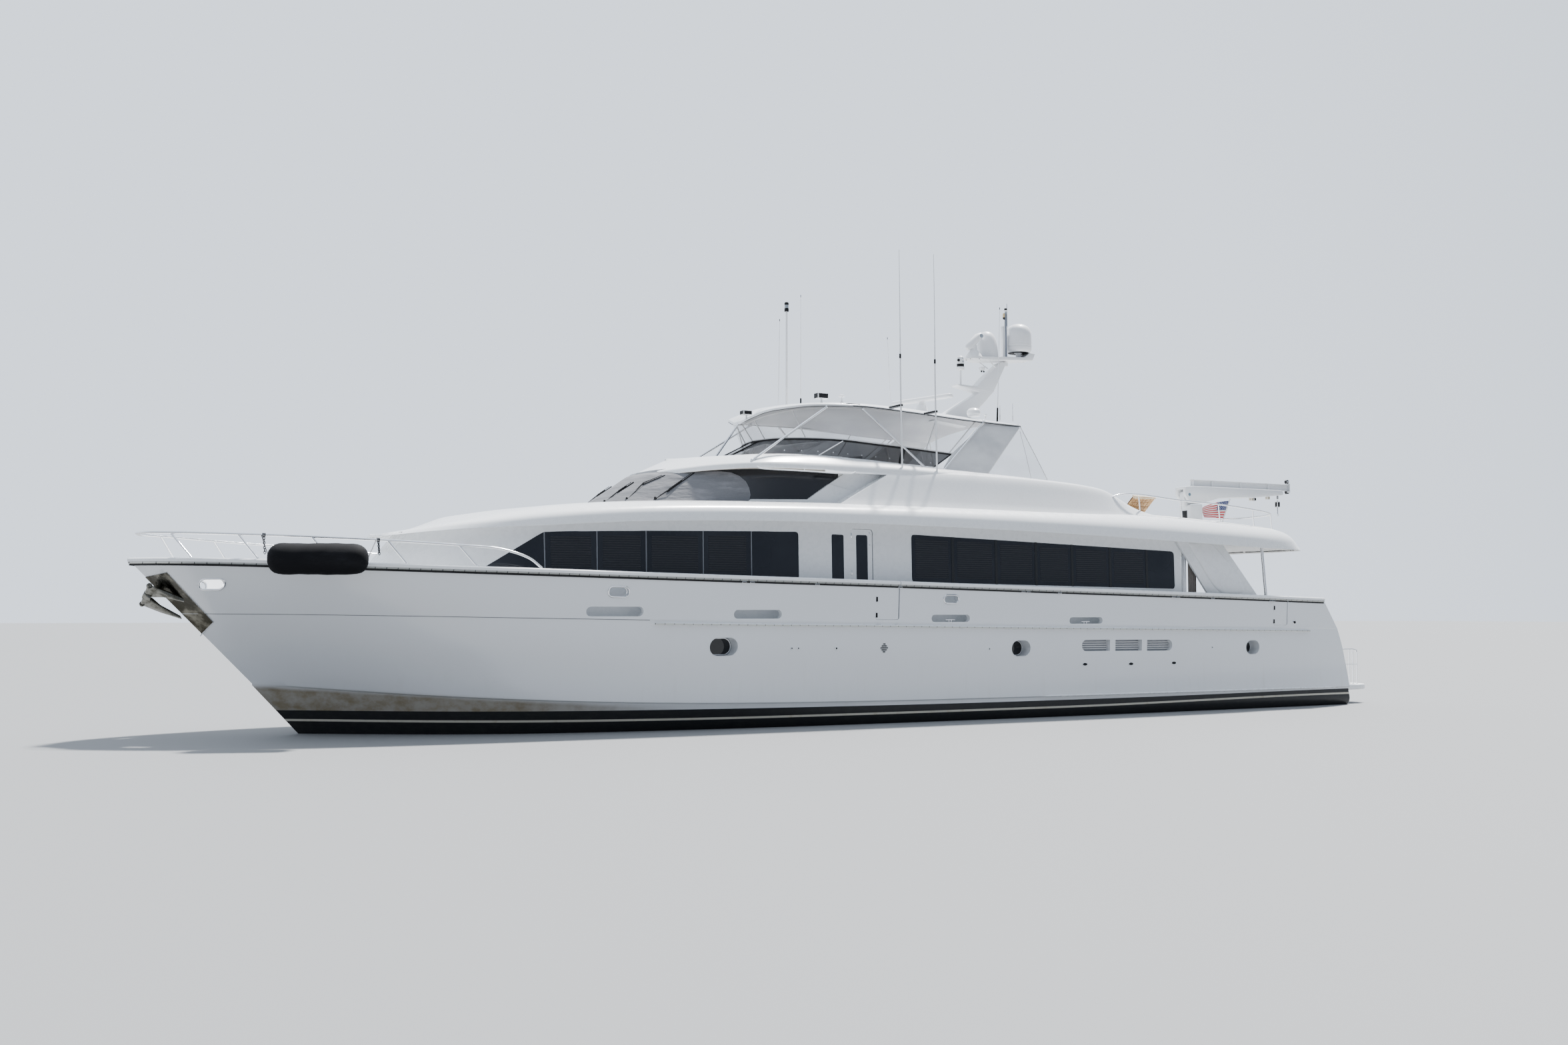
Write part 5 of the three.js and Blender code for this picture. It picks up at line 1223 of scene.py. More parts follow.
wipers = Shape()
for foot, bend, tip in (
    ((5.516, 1.061, 4.78), (5.086, 0.98, 5.146), (4.687, 1.168, 5.319)),
    ((5.069, 1.545, 4.775), (4.791, 1.59, 4.945), (4.197, 1.6, 5.356)),
    ((5.839, 0.591, 4.74), (5.52, 0.6, 4.97), (5.19, 0.63, 5.19)),
):
    foot, bend, tip = (np.array(p) + (0.022, 0.02, 0.018) for p in (foot, bend, tip))
    for s in (1, -1):
        side = np.array((1, s, 1))
        wipers.turned([(0.034, -0.03), (0.03, 0.02), (0.016, 0.045), (0, 0.05)], foot * side, 0,
            (0.5, 0.25 * s, 0.8), 12)
        for shift in (-0.022, 0.022):
            off = np.array((0, shift, 0))
            wipers.tube([foot * side + off, bend * side + off * 1.3 + (0.012, 0, 0.014),
                (bend * 0.45 + tip * 0.55) * side + (0.014, 0, 0.014)], 0.008, 0, 6)
        blade_a, blade_b = bend * 0.9 + foot * 0.1, tip
        wipers.tube([blade_a * side, blade_b * side], 0.013, 0, 6)
        blade_run = blade_b - blade_a
        ridge = [(blade_a + blade_run * t) * side + (0.02, 0, 0.022) for t in (0.1, 0.3, 0.5, 0.7, 0.9)]
        wipers.tube(ridge, 0.007, 0, 6)
wipers.piece("windscreen_wipers", [dark], "black_cover")

rail_path = [(3.121, 2.415, 5.5), (3.08, 2.455, 5.462), (3, 2.475, 5.45), (2, 2.53, 5.437),
    (0.95, 2.56, 5.42), (0.84, 2.555, 5.43), (0.744, 2.53, 5.474)]
grab = Shape().both(Shape().tube([tuple(p) for p in spline(rail_path, 4)], 0.015, 0, 10))
grab.both(rod((2.02, 2.5, 5.49), (2.02, 2.53, 5.437), 0.011))
grab.piece("brow_grab_rail", [gel], "gelcoat")

# Flybridge windscreen
# Smoked acrylic curves round the flybridge in five panes between slim black joints, trimmed
# in black along the top and buttoned down along the coaming with stainless studs.
#
# foot x, y, z | head x, y, z
SCREEN = [
    (2.9, 0, 5.9, 2, 0, 6.32), (2.78, 0.9, 5.89, 1.85, 0.85, 6.3), (2.5, 1.7, 5.89, 1.45, 1.55, 6.26),
    (1.5, 2.12, 5.88, 0.85, 2.05, 6.21), (0, 2.2, 5.82, -0.25, 2.15, 6.14),
    (-2, 2.25, 5.72, -2.05, 2.17, 6.03),
]
screen_lines = smooth_lines([[(r[0], r[1], r[2] - 0.04) for r in SCREEN], column(SCREEN, 3)])
smoke = Finish("smoked_acrylic", base_color=(0.035, 0.033, 0.034), roughness=0.05, alpha=0.74)
smoke.colour(smoke.noise(0.9, 2).fade(0.35, 0.7), (0.028, 0.026, 0.028), (0.06, 0.055, 0.052))
screen_end = [(-2.6, 6.3), (-2.033, 6.027), (-1.527, 5.7), (-1.4, 5.5), (-2.6, 5.5)]
screen = port_half(wall(screen_lines, 0.003, 0.012)).cut(seen_from_side(screen_end, 0.5))
trim = Shape().tube(run_of(screen_lines[1], 2, -2.02), 0.023, 0, 8)
trim.tube([(-2.02, 2.165, 6.02), (-1.527, 2.235, 5.715)], 0.016, 0, 8)
trim.tube(run_of(screen_lines[0], 3.2, -1.55) + np.array((0, 0.005, 0.045)), 0.007, 0, 6)
for x_foot in (2.87, 1.45, -0.62):
    low = along(screen_lines[0], x_foot)
    near = np.argmin(np.abs(screen_lines[0][:, 0] - x_foot))
    high = screen_lines[1][near]
    trim.tube([low, high], 0.05 if x_foot < 0 else 0.014, 1 if x_foot == 1.45 else 0, 8)
screen_trim = Shape().both(trim)
studs = Shape()
for x in np.arange(2.9, -1.6, -0.36):
    p = along(screen_lines[0], x)
    studs.both(Shape().ball((p[0] + 0.01, p[1] + 0.008, p[2] + 0.085), 0.012, 0, 4))
glass = Shape().both(screen)
glass.piece("flybridge_screen", [smoke], "clear_panel", ["flybridge_windscreen"], 40)
screen_trim.piece("screen_trim", [dark, steel], "black_cover")
studs.piece("screen_studs", [steel], "polished_steel")

# Hardtop
# A thin moulded hardtop shades the flybridge. It stands on raking stainless struts and has a
# dark joint along its edge, aft of the front corners.
#
# x, half width, edge z, crown z
HARDTOP = [
    (2.39, 0.2, 6.735, 6.77), (2.28, 0.62, 6.835, 6.885), (2.13, 1, 6.915, 7), (1.77, 1.5, 6.965, 7.12),
    (1.37, 1.8, 7, 7.19), (0.3, 2.04, 7.015, 7.3), (-1, 2.04, 6.96, 7.32), (-2.6, 2.02, 6.87, 7.23),
    (-4.17, 1.96, 6.83, 7.08),
]
headlining = Finish("hardtop_lining", base_color=(0.55, 0.55, 0.56), roughness=0.35)
headlining.colour(headlining.noise(0.7, 2).fade(0.35, 0.7), (0.42, 0.42, 0.44), (0.6, 0.6, 0.61))
tops = [[(r[0], 0, r[3]) for r in HARDTOP],
    [(r[0], r[1] * 0.6, r[2] + (r[3] - r[2]) * 0.68) for r in HARDTOP],
        [(r[0], r[1], r[2] + 0.03) for r in HARDTOP], [(r[0], r[1], r[2] - 0.025) for r in HARDTOP]]
tops += [[(x, y, z - 0.07) for x, y, z in line] for line in (tops[1], tops[0])]
hardtop = mirrored_loft(tops, [0.5, 0.04, 0.02, 0.3])
hardtop.paint(1, lambda normal, middle: normal.z < -0.5)
STRUTS = [
    ((3, 0, 5.85), (2.36, 0, 6.72)), ((3.15, 2.25, 5.64), (1.11, 1.87, 6.96)),
    ((-1.34, 2.38, 5.54), (0.24, 2, 6.96)), ((-1.6, 2.36, 5.54), (-3.08, 1.985, 6.87)),
]
for foot, head in STRUTS:
    strut = rod(foot, head, 0.026, 2, 14)
    for p in (foot, head):
        strut.ball(p, 0.04, 2, 8)
    hardtop.both(strut) if foot[1] else hardtop.take(strut)
hardtop.turned([(0.17, 7.18), (0.168, 7.2), (0.15, 7.35), (0.12, 7.46), (0.11, 7.475)], (-2.65, 0, 0),
    segments=32)
edge_line = spline([(r[0], r[1], r[2]) for r in HARDTOP], 8)
hardtop.both(Shape().tube(run_of(edge_line, 0.5, -4.2) + np.array((0, 0.003, -0.012)), 0.012, 3, 6))
hardtop.both(Shape().tube(run_of(edge_line, 2.36, 0.5) + np.array((0, 0.003, -0.03)), 0.006, 3, 6))
hardtop.piece("hardtop_moulding", [gel, headlining, steel, dark], "gelcoat", ["hardtop"], 40)

gear = Shape()
for x0, x1, z0, z1, y in ((2.3, 2.53, 6.86, 6.96, 0.5), (0.48, 0.77, 7.31, 7.44, 0.8)):
    gear.block((x0, y - 0.09, z0), (x1, y + 0.09, z1), 0, 0.012)
    gear.block((x1 - 0.01, y - 0.085, z0 + 0.008), (x1 + 0.008, y + 0.085, z1 - 0.008), 1, 0.002)
    gear.block((x0 + 0.02, y + 0.088, z0 + 0.01), (x1 - 0.02, y + 0.094, z1 - 0.01), 1, 0.002)
    gear.turned([(0.03, -0.1), (0.02, 0)], ((x0 + x1) / 2, y, z0 + 0.005), 0)
gear.turned([(0.05, 0), (0.05, 0.02), (0.02, 0.03), (0.018, 0.13), (0.075, 0.14), (0.078, 0.17),
    (0.03, 0.19)], (0.2, 1, 7.22), 0)
gear.block((0.28, 1.9, 7.05), (0.62, 1.97, 7.075), 1, 0.004)
dome = [(0.14, 0), (0.15, 0.03), (0.168, 0.06), (0.16, 0.13), (0.11, 0.18), (0.05, 0.2), (0, 0.205)]
gear.turned(dome, (-3.07, 1.6, 7.04))
gear.turned([(0.02, 0), (0.02, 0.07), (0.035, 0.08), (0.035, 0.11), (0, 0.115)], (-3.41, 1.6, 7), 0)
for x, top in ((-3.76, 7.34), (-4.13, 7.4)):
    gear.turned([(0.02, 0), (0.018, 0.14), (0.011, 0.16), (0.008, top - 6.96)], (x, 1.7, 6.96), 0)
gear.piece("hardtop_gear", [gel, dark], "gelcoat")

# Clear curtain
# Clear vinyl closes the gap between the windscreen and the hardtop. Each pane is zipped to the
# next and held to the windscreen by a bright track.
#
# foot x, y, z | head x, y, z
CURTAIN = [
    (2, 0, 6.33, 2.26, 0, 6.8), (1.85, 0.85, 6.31, 2.12, 0.85, 6.88), (1.45, 1.55, 6.27, 1.7, 1.45, 6.98),
    (0.85, 2.05, 6.22, 1.15, 1.78, 7.05), (-0.6, 2.165, 6.135, -0.6, 1.96, 7.1),
    (-2.06, 2.175, 6.035, -3.05, 1.95, 6.96),
]
CURTAIN_HEAD = [(2.26, 0, 6.69), (2.12, 0.82, 6.81), (1.72, 1.4, 6.91), (1.2, 1.76, 6.95),
    (-0.6, 1.95, 6.97), (-3.05, 1.94, 6.86)]
vinyl = Finish("clear_vinyl", base_color=(0.62, 0.63, 0.66), roughness=0.08, alpha=0.2)
haze = vinyl.noise(0.8, 2, 0.4, (1, 1, 1.6)).fade(0.35, 0.8)
vinyl.set("Alpha", haze * 0.14 + 0.11)
vinyl.bump(vinyl.noise(1.2, 1), 0.25, 0.02)
curtain_lines = smooth_lines([column(CURTAIN, 0), CURTAIN_HEAD])
pane = port_half(wall(curtain_lines, 0.004, 0.008))
curtain_piece = Shape().both(pane).piece("clear_curtain", [vinyl], "clear_panel", ["curtain"], 60)
binding = Finish("curtain_binding", base_color=(0.62, 0.62, 0.62), roughness=0.7)
binding.bump(binding.noise(200, 1), 0.2)
hems = Shape()
for at in (0, 8, 28, 63, 69):
    low, high = curtain_lines[0][at], curtain_lines[1][at]
    for s in ((1,) if at == 0 else (1, -1)):
        side = np.array((1, s, 1))
        hems.tube([low * side, high * side], 0.014, 0, 6)
hems.both(Shape().tube(curtain_lines[0] + np.array((0, 0, 0.012)), 0.016, 0, 8))
hems.both(Shape().tube(curtain_lines[1], 0.014, 0, 8))
hems.piece("curtain_hems", [binding], "white_fabric")

# Panels aft of the hardtop
# A padded fabric panel laces to the hardtop and leans out to the coaming on each side. Behind
# it a clear triangle is zipped along its slanting edge.
AFT_PANEL = [
    (-3.17, 6.95), (-4.13, 6.95), (-4.13, 6.8), (-2.71, 5.29), (-1.75, 5.29), (-1.75, 5.66), (-2.06, 6.03),
    (-3.17, 6.86),
]
GUSSET = [(-4.13, 6.85), (-4.13, 6.8), (-2.71, 5.29), (-4.66, 5.29), (-4.66, 5.51), (-4.45, 6.1),
    (-4.17, 6.85)]
panel_fabric = Finish("panel_fabric", base_color=(0.6, 0.61, 0.62), roughness=0.75)
cloth = panel_fabric.noise(140, 2)
wide = panel_fabric.noise(1.3, 3, 0.5, (1, 1, 1.6))
panel_fabric.colour(wide.fade(0.35, 0.7), (0.52, 0.53, 0.55), (0.68, 0.69, 0.7))
panel_fabric.bump(wide * 0.03 + cloth * 0.0006, 0.6, 1)


SHEET_CELL = 0.09


def leaning(shape, s):
    lean = Matrix.Translation((0, 1.95, 6.8)) @ Matrix.Rotation(radians(16.7), 4,
        "X") @ Matrix.Translation((0, 0, -6.8))
    return Shape().take(shape.moved(lean), mirror=s < 0)


def sheet_of(outline, thick, bow):
    """A flat panel of an outline, divided finely and bowed outward in the middle."""
    made = seen_from_side(outline, 0, thick)
    bmesh.ops.triangulate(made.bm, faces=made.bm.faces)
    for _ in range(5):
        long = [e for e in made.bm.edges if e.calc_length() > SHEET_CELL]
        if not long:
            break
        bmesh.ops.subdivide_edges(made.bm, edges=long, cuts=1)
        bmesh.ops.triangulate(made.bm, faces=made.bm.faces)
    ring = [np.array(p) for p in outline]
    for vert in made.bm.verts:
        p = np.array((vert.co.x, vert.co.z))
        near = 9.0
        for a, b in zip(ring, ring[1:] + ring[:1]):
            t = np.clip((p - a) @ (b - a) / ((b - a) @ (b - a)), 0, 1)
            near = min(near, float(np.linalg.norm(p - a - t * (b - a))))
        vert.co.y += bow * min(1, near / 0.35) + 0.3 * bow * sin(p[0] * 8 + p[1] * 5) * min(1, near / 0.2)
    return made


def flat_area(outline):
    pairs = zip(outline, outline[1:] + outline[:1])
    return abs(sum(a[0] * b[1] - b[0] * a[1] for a, b in pairs)) / 2


for side, s in SIDES.items():
    panel = leaning(sheet_of([(x, min(z, 6.86)) for x, z in AFT_PANEL], 0.02, bow=0.012), s)
    made = panel.piece(f"aft_panel_{side}_cloth", [panel_fabric], "white_fabric", [f"aft_panel_{side}"], 60)
    clear = leaning(sheet_of([(x - 0.01, min(z, 6.83)) for x, z in GUSSET], 0.004, bow=0.006), s)
    made = clear.piece(f"gusset_{side}_vinyl", [vinyl], "clear_panel", [f"gusset_{side}"], 60)
    round(flat_area(GUSSET), 2)
    edge = Shape()
    edge.tube([(-4.12, 0.012, 6.78), (-2.73, 0.012, 5.32)], 0.012, 0, 6)
    edge.tube([(-4.65, 0.005, 5.33), (-4.65, 0.005, 5.51), (-4.44, 0.005, 6.1), (-4.165, 0.005, 6.82)],
        0.01, 0, 6)
    edge.tube([(-4.19, 0.006, 5.5), (-4.17, 0.006, 6.1), (-4.13, 0.006, 6.7)], 0.007, 0, 6)
    leaning(edge, s).piece(f"gusset_{side}_binding", [binding], "white_fabric")

# Wings and posts
# Moulded wings sweep down from the roof to the bulwarks beside the aft deck, with a raised
# rounded panel on the outer face. Polished posts carry the roof at its aft corners.
WING_PANEL = [(-8.62, 4.1), (-9.28, 4.12), (-9.5, 4.02), (-10.46, 2.96), (-9.66, 2.9), (-8.9, 3.72)]
WING_OUTER = 2.775
POST = ((-11.39, 2.45, 4.3), (-11.56, 2.5, 1.95))
for side, s in SIDES.items():
    wing = traced(f"wing_{side}", 0.012)
    panel = spline([*WING_PANEL, WING_PANEL[0]], 6)[:-1]
    middle = panel.mean(axis=0)
    rings = []
    for reach, out in ((1, -0.01), (1, 0.006), (0.965, 0.018), (0.9, 0.026), (0.6, 0.03)):
        rings.append([(x, s * (WING_OUTER + out), z) for x, z in middle + (panel - middle) * reach])
    wing.skin(rings)
    wing.piece(f"wing_{side}_moulding", [gel], "gelcoat", [f"wing_{side}"], 40)
    post = Shape().take(rod(*POST, 0.038, 0, 20))
    for share in (0.006, 0.994):
        foot = [a + (b - a) * share for a, b in zip(*POST)]
        post.turned([(0.07, -0.012), (0.07, -0.002), (0.046, 0.012)], foot, 0)
    Shape().take(post, mirror=s < 0).piece(f"post_{side}_tube", [steel], "polished_steel", [f"post_{side}"])
# The slats and rails under the roof are mid grey as painted shade, and the block is the darker shaded
# gelcoat.
under_roof = Shape()
for x in np.linspace(-9.95, -10.95, 9):
    under_roof.both(Shape().block((x - 0.045, 2.36, 4.225), (x + 0.03, 2.62, 4.24), 0, 0.003))
for y in (2.35, 2.61):
    under_roof.both(Shape().block((-11.02, y, 4.2), (-9.88, y + 0.02, 4.25)))
under_roof.both(Shape().block((-12.58, 2.06, 4.08), (-12.14, 2.34, 4.22), 1, 0.03))
under_roof.piece("under_roof_fittings", [vent_shade_grey, inside_gel], "gelcoat")

# Mast
# A raking moulded arch carries a small shelf and, on top, a long platform with an upswept
# tail. The faces are flat with broad eased corners, as laid up in a female mould.
MAST = [
    (-2.92, 7.1), (-3.85, 6.98), (-4.04, 7.271), (-4.364, 7.575), (-4.713, 7.925), (-5.12, 8.7),
    (-4.957, 8.7),
    (-4.507, 8.329), (-4.209, 8.036), (-3.613, 8.051), (-3.649, 8.003), (-4.269, 7.884),
]
MAST_HALF = 0.16
PLATFORM_PLAN = [(-4.1, 0.16), (-4.3, 0.3), (-5, 0.3), (-5.7, 0.22), (-6, 0.2)]
PLATFORM = [
    (-4.1, 8.76), (-4.64, 8.79), (-5.62, 8.865), (-5.8, 8.99), (-5.975, 8.98), (-5.885, 8.8), (-5.39, 8.76),
    (-4.64, 8.7), (-4.1, 8.69),
]
mast_gel = gelcoat("mast_gelcoat", (0.79, 0.8, 0.815), 0.3, 0.08)
mast = seen_from_side(MAST, -MAST_HALF, MAST_HALF).soften(0.028, 3, 12)
rim = [(x, y) for x, y in PLATFORM_PLAN] + [(x, -y) for x, y in reversed(PLATFORM_PLAN)]
wing_top = seen_from_side(PLATFORM, -0.4,
    0.4).cut(Shape().prism([(x, y, 8.5) for x, y in rim], (0, 0, 0.7)), "INTERSECT")
mast.take(wing_top.soften(0.015, 2, 25))
mast.turned([(0.09, 0), (0.09, 0.06), (0.075, 0.1), (0, 0.12)], (-5.15, 0, 8.62), segments=20)
for s in (1, -1):
    mast.tube([(-4.52, 0.2 * s, 8.7), (-4.75, 0.155 * s, 8.55)], 0.018, 0, 8)
mast.piece("mast_moulding", [mast_gel], "gelcoat", ["mast"], 35)

dome_gel = gelcoat("dome_shell", (0.74, 0.75, 0.77), 0.38, 0.04)
DOMES = {
    "dome_aft": ((-5.59, 0, 0), [
        (0, 9), (0.28, 9), (0.3, 9.012), (0.325, 9.06), (0.335, 9.12), (0.337, 9.135), (0.333, 9.14),
        (0.333, 9.15),
        (0.337, 9.155), (0.337, 9.2), (0.333, 9.204), (0.335, 9.212), (0.335, 9.46), (0.331, 9.5),
        (0.315, 9.56),
        (0.292, 9.61), (0.26, 9.65), (0.21, 9.69), (0.15, 9.72), (0.08, 9.739), (0, 9.745),
    ]),
    "dome_forward": ((-4.64, -0.06, 0), [
        (0, 8.785), (0.29, 8.785), (0.298, 8.8), (0.298, 8.85), (0.292, 8.855), (0.294, 8.87),
        (0.291, 8.95), (0.285, 9.02),
        (0.272, 9.13), (0.25, 9.235), (0.228, 9.31), (0.197, 9.37), (0.158, 9.42), (0.11, 9.455),
        (0.055, 9.475), (0, 9.48),
    ]),
}
for node, (foot, rows) in DOMES.items():
    made = Shape().turned(rows, foot, segments=48)
    if node == "dome_aft":
        made.turned([(0.09, 8.84), (0.09, 8.87), (0.07, 8.89), (0.07, 8.975), (0.12, 8.999), (0, 9)], foot)
        made.turned([(0.245, 8.992), (0.262, 8.992), (0.262, 9.001), (0.245, 9.001)], foot, 1, segments=40,
            hollow=True)
        for k in range(6):
            a = k * pi / 3 + 0.3
            made.turned([(0.013, -0.02), (0.013, 0.004)],
                (foot[0] + 0.21 * cos(a), foot[1] + 0.21 * sin(a), 9), 1, segments=8)
    made.piece(f"{node}_shell", [dome_gel, dark], "gelcoat", [node], 40)

# Mast gear
# A remote searchlight, a thermal camera, the masthead lamps and thin aerials are bolted to the
# shelf and the platform. Housings are powder coated white, with dark lenses and staffs.
amber = Finish("amber_lens", base_color=(0.62, 0.46, 0.22), roughness=0.2)
amber.set("Roughness", amber.noise(30, 1) * 0.1 + 0.15)
gear = Shape()
light_x = -4.14
gear.turned([(0.235, 0), (0.235, 0.018), (0.225, 0.022), (0.235, 0.026), (0.235, 0.045), (0.2, 0.1),
    (0.12, 0.2), (0.085, 0.24), (0.085, 0.36), (0.075, 0.37)], (light_x, 0.1, 8.705), segments=32)
for k in range(5):
    a = k * 1.2566 + 0.5
    gear.turned([(0.014, -0.012), (0.014, 0), (0, 0)],
        (light_x + 0.19 * cos(a), 0.1 + 0.19 * sin(a), 8.705), 1, segments=8)
gear.tube([(-3.93, 0.1, 8.955), (-3.975, 0.1, 9), (-4.27, 0.1, 9.285), (-4.36, 0.1, 9.33)], 0.098, 0, 20,
    tips=[0.55, 0.92, 1, 0.8])
gear.tube([(-4.3, 0.12, 9.29), (-4.3, 0.21, 9.3)], 0.062, 0, 20, tips=[1, 0.9])
gear.turned([(0.05, 0), (0.05, 0.012), (0, 0.02)], (-4.3, 0.208, 9.3), 3, (0, 1, 0.1), 16)
camera_at = (-3.805, 0, 8)
gear.turned([(0.026, 0.05), (0.022, 0.44)], camera_at, segments=16)
gear.turned([(0.085, 0.43), (0.1, 0.45), (0.1, 0.505)], camera_at, segments=28)
gear.turned([(0.092, 0.505), (0.092, 0.58)], camera_at, 1, segments=28)
gear.turned([(0.096, 0.58), (0.096, 0.7), (0.082, 0.75), (0.05, 0.778), (0, 0.785)], camera_at, segments=28)
gear.turned([(0.034, 0.07), (0.034, 0.1)], (camera_at[0] + 0.03, 0, 8.665), 1, (0.75, 0.66, 0), 16)
gear.turned([(0.018, 0.085), (0.018, 0.1)], (camera_at[0] + 0.01, 0, 8.72), 3, (-0.15, 0.98, 0), 12)
gear.turned([(0.024, 0.085), (0.024, 0.1)], (camera_at[0], 0, 8.635), 3, (-0.15, 0.98, 0), 12)
gear.turned([(0, 8.68), (0.08, 8.68), (0.08, 8.65), (0.06, 8.6), (0.03, 8.58), (0, 8.575)][::-1],
    (-4.42, 0.05, -0.14), segments=20)
for s in (1, -1):
    gear.ball((-4.42 + 0.035 * s, 0.085, 8.425), 0.024, 1, 6)
gear.turned([(0.02, 8.8), (0.02, 9.93)], (-5.065, 0.19, 0), 2, segments=12)
gear.turned([(0.03, 9.98), (0.034, 10.02)], (-5.065, 0.19, 0), segments=16)
gear.turned([(0.036, 10.02), (0.04, 10.035), (0.036, 10.065)], (-5.065, 0.19, 0), 1, segments=16)
gear.turned([(0.026, 9.93), (0.022, 9.98)], (-5.065, 0.19, 0), 3, segments=16)
gear.block((-5.22, -0.05, 8.82), (-5.08, 0.05, 9.645), 0, 0.014)
gear.turned([(0.016, 9.63), (0.014, 9.83)], (-5.166, 0, 0), segments=12)
gear.turned([(0.018, 9.82), (0.045, 9.85), (0.047, 9.875)], (-5.166, 0, 0), 1, segments=20)
gear.turned([(0.043, 9.875), (0.045, 9.95), (0.036, 9.985), (0, 9.995)], (-5.166, 0, 0), 4, segments=20)
gear.turned([(0.012, 9.63), (0.01, 9.8), (0.006, 10.24)], (-5.24, 0, 0), 2, segments=8)
gear.turned([(0.02, 0), (0.024, 0.1), (0.05, 0.14), (0.052, 0.15), (0, 0.13)], (-4.12, 0.1, 7.42), 0,
    (-0.8, 0, -0.3), 16)
staff_grey = Finish("aerial_staff", base_color=(0.13, 0.15, 0.19), roughness=0.35)
staff_grey.bump(staff_grey.noise(90, 1), 0.05)
lens = Finish("lens", base_color=(0.25, 0.29, 0.33), roughness=0.1, coat=0.6)
lens.set("Roughness", lens.noise(20, 1) * 0.08 + 0.06)
gear.piece("mast_gear", [mast_gel, dark, staff_grey, lens, amber], "gelcoat", sharp=40)

# Radar scanner
# An open array turns on a squat pedestal. The bar is a thin moulded wing with rounded ends.
scanner = Shape()
scanner.turned([(0.09, 7.478), (0.088, 7.5), (0.07, 7.53), (0.068, 7.556)], (-2.65, 0, 0), segments=28)
bar_section = [(-0.11, 0.1), (-0.1, 0.085), (-0.06, 0.08), (0.06, 0.08), (0.1, 0.085), (0.11, 0.1),
    (0.108, 0.14), (0.08, 0.178), (0.04, 0.19), (-0.04, 0.19), (-0.08, 0.178), (-0.108, 0.14)]
rings = []
bar_ends = [(0.985, 0.45), (0.98, 0.72), (0.96, 0.9), (0.92, 1), (0.3, 1)]
for y, reach in [(-y, reach) for y, reach in bar_ends] + bar_ends[::-1]:
    rings.append([(x * reach, y, 0.135 + (z - 0.135) * reach) for x, z in bar_section])
bar = Shape().skin(rings).moved(Matrix.Translation((-2.65, 0, 7.475)) @ Matrix.Rotation(radians(13), 4,
    "Z"))
scanner.take(bar).piece("radar_scanner_array", [mast_gel], "gelcoat", ["radar_scanner"], 40,
    "radar_scanner")

# Light pole and whips
# A white tapered pole carries a black all-round lamp. The long whips are glass fibre on
# ratchet mounts, held again at the hardtop's edge by black clamps.
pole = Shape().turned([(0.055, 7.15), (0.055, 7.17), (0.032, 7.19), (0.03, 7.3), (0.024, 9.44)],
    (1.11, 0, 0), segments=20)
pole.turned([(0.05, 9.44), (0.052, 9.46), (0.052, 9.51), (0.046, 9.515), (0.046, 9.6), (0.052, 9.605),
    (0.052, 9.64), (0.04, 9.66)], (1.11, 0, 0), 1)
pole.turned([(0.0465, 9.52), (0.049, 9.53), (0.049, 9.585), (0.0465, 9.595)], (1.11, 0, 0), 2, hollow=True)
pole.piece("light_pole_tube", [mast_gel, dark, lens], "gelcoat", ["light_pole"])
for name, x, clamp in (("fore", -0.5, 7.03), ("aft", -1.43, 6.945)):
    path = [(x, 2.48, 5.48), (x + 0.02, 2.48, 6.6), (x + 0.04, 2.48, 7.7), (x + 0.045, 2.48, 8.9),
        (x + 0.052, 2.48, 9.9), (x + 0.06, 2.48, 10.56)]
    whip = Shape().tube(path, 0.02, 0, 12, tips=[1, 1, 0.95, 0.6, 0.45, 0.3])
    whip.turned([(0.05, 0), (0.05, 0.015), (0.03, 0.03), (0.03, 0.09)], (x, 2.48, 5.475), 2, segments=16)
    whip.block((x - 0.01, 2, clamp - 0.03), (x + 0.055, 2.515, clamp + 0.03), 1, 0.008)
    z = 8.14 if name == "fore" else 8.09
    whip.turned([(0.023, -0.05), (0.023, 0.05)], (x + 0.042, 2.48, z), 1, segments=12)
    whip.piece(f"whip_{name}_aerial", [mast_gel, dark, steel], "gelcoat", [f"whip_port_{name}"])
thin = Shape()
for foot, tip, black in (
    ((0.08, -1.2, 7.16), (0.078, -1.2, 10.16), 0.45), ((-3.68, 1.7, 6.94), (-3.78, 1.7, 9.7), 0.33),
    ((-2.725, -1.5, 7), (-2.601, -1.5, 9.39), 0), ((1.2, -0.25, 7.2), (1.16, -0.25, 9.3), 0),
):
    foot, tip = np.array(foot), np.array(tip)
    up = (tip - foot) / np.linalg.norm(tip - foot)
    reach = float(np.linalg.norm(tip - foot))
    if black:
        thin.turned([(0.022, 0), (0.02, black)], foot, 1, up, 10)
    thin.turned([(0.012, black), (0.008, reach * 0.6), (0.0045, reach)], foot, 0, up, 8)
    thin.turned([(0.009, 0), (0.009, 0.05)], tip - up * 0.05, 1, up, 8)
thin.piece("thin_aerials", [mast_gel, dark], "gelcoat")

# Helm
# A moulded console with a raked dash, two pedestal seats in pale vinyl and a stainless wheel
# stand on a plinth behind the windscreen.
seat_vinyl = Finish("seat_vinyl", base_color=(0.6, 0.59, 0.56), roughness=0.55)
seat_vinyl.bump(seat_vinyl.noise(90, 3), 0.25)
helm = Shape().block((-0.7, -1.4, 4.8), (0.7, 1.4, 5.02), 0, 0.02)
dash = [(0.86, 5.02), (0.86, 5.5), (0.8, 5.62), (0.66, 5.72), (0.56, 5.7), (0.5, 5.62), (0.48, 5.5),
    (0.52, 5.02)]
helm.take(seen_from_side(dash, -1.3, 1.3).soften(0.02, 2, 25))
for y in (-0.9, -0.35, 0.05):
    helm.take(seen_from_side([(0.476, 5.52), (0.5, 5.615), (0.556, 5.69), (0.553, 5.7), (0.49, 5.62),
        (0.465, 5.52)], y, y + 0.35), False)
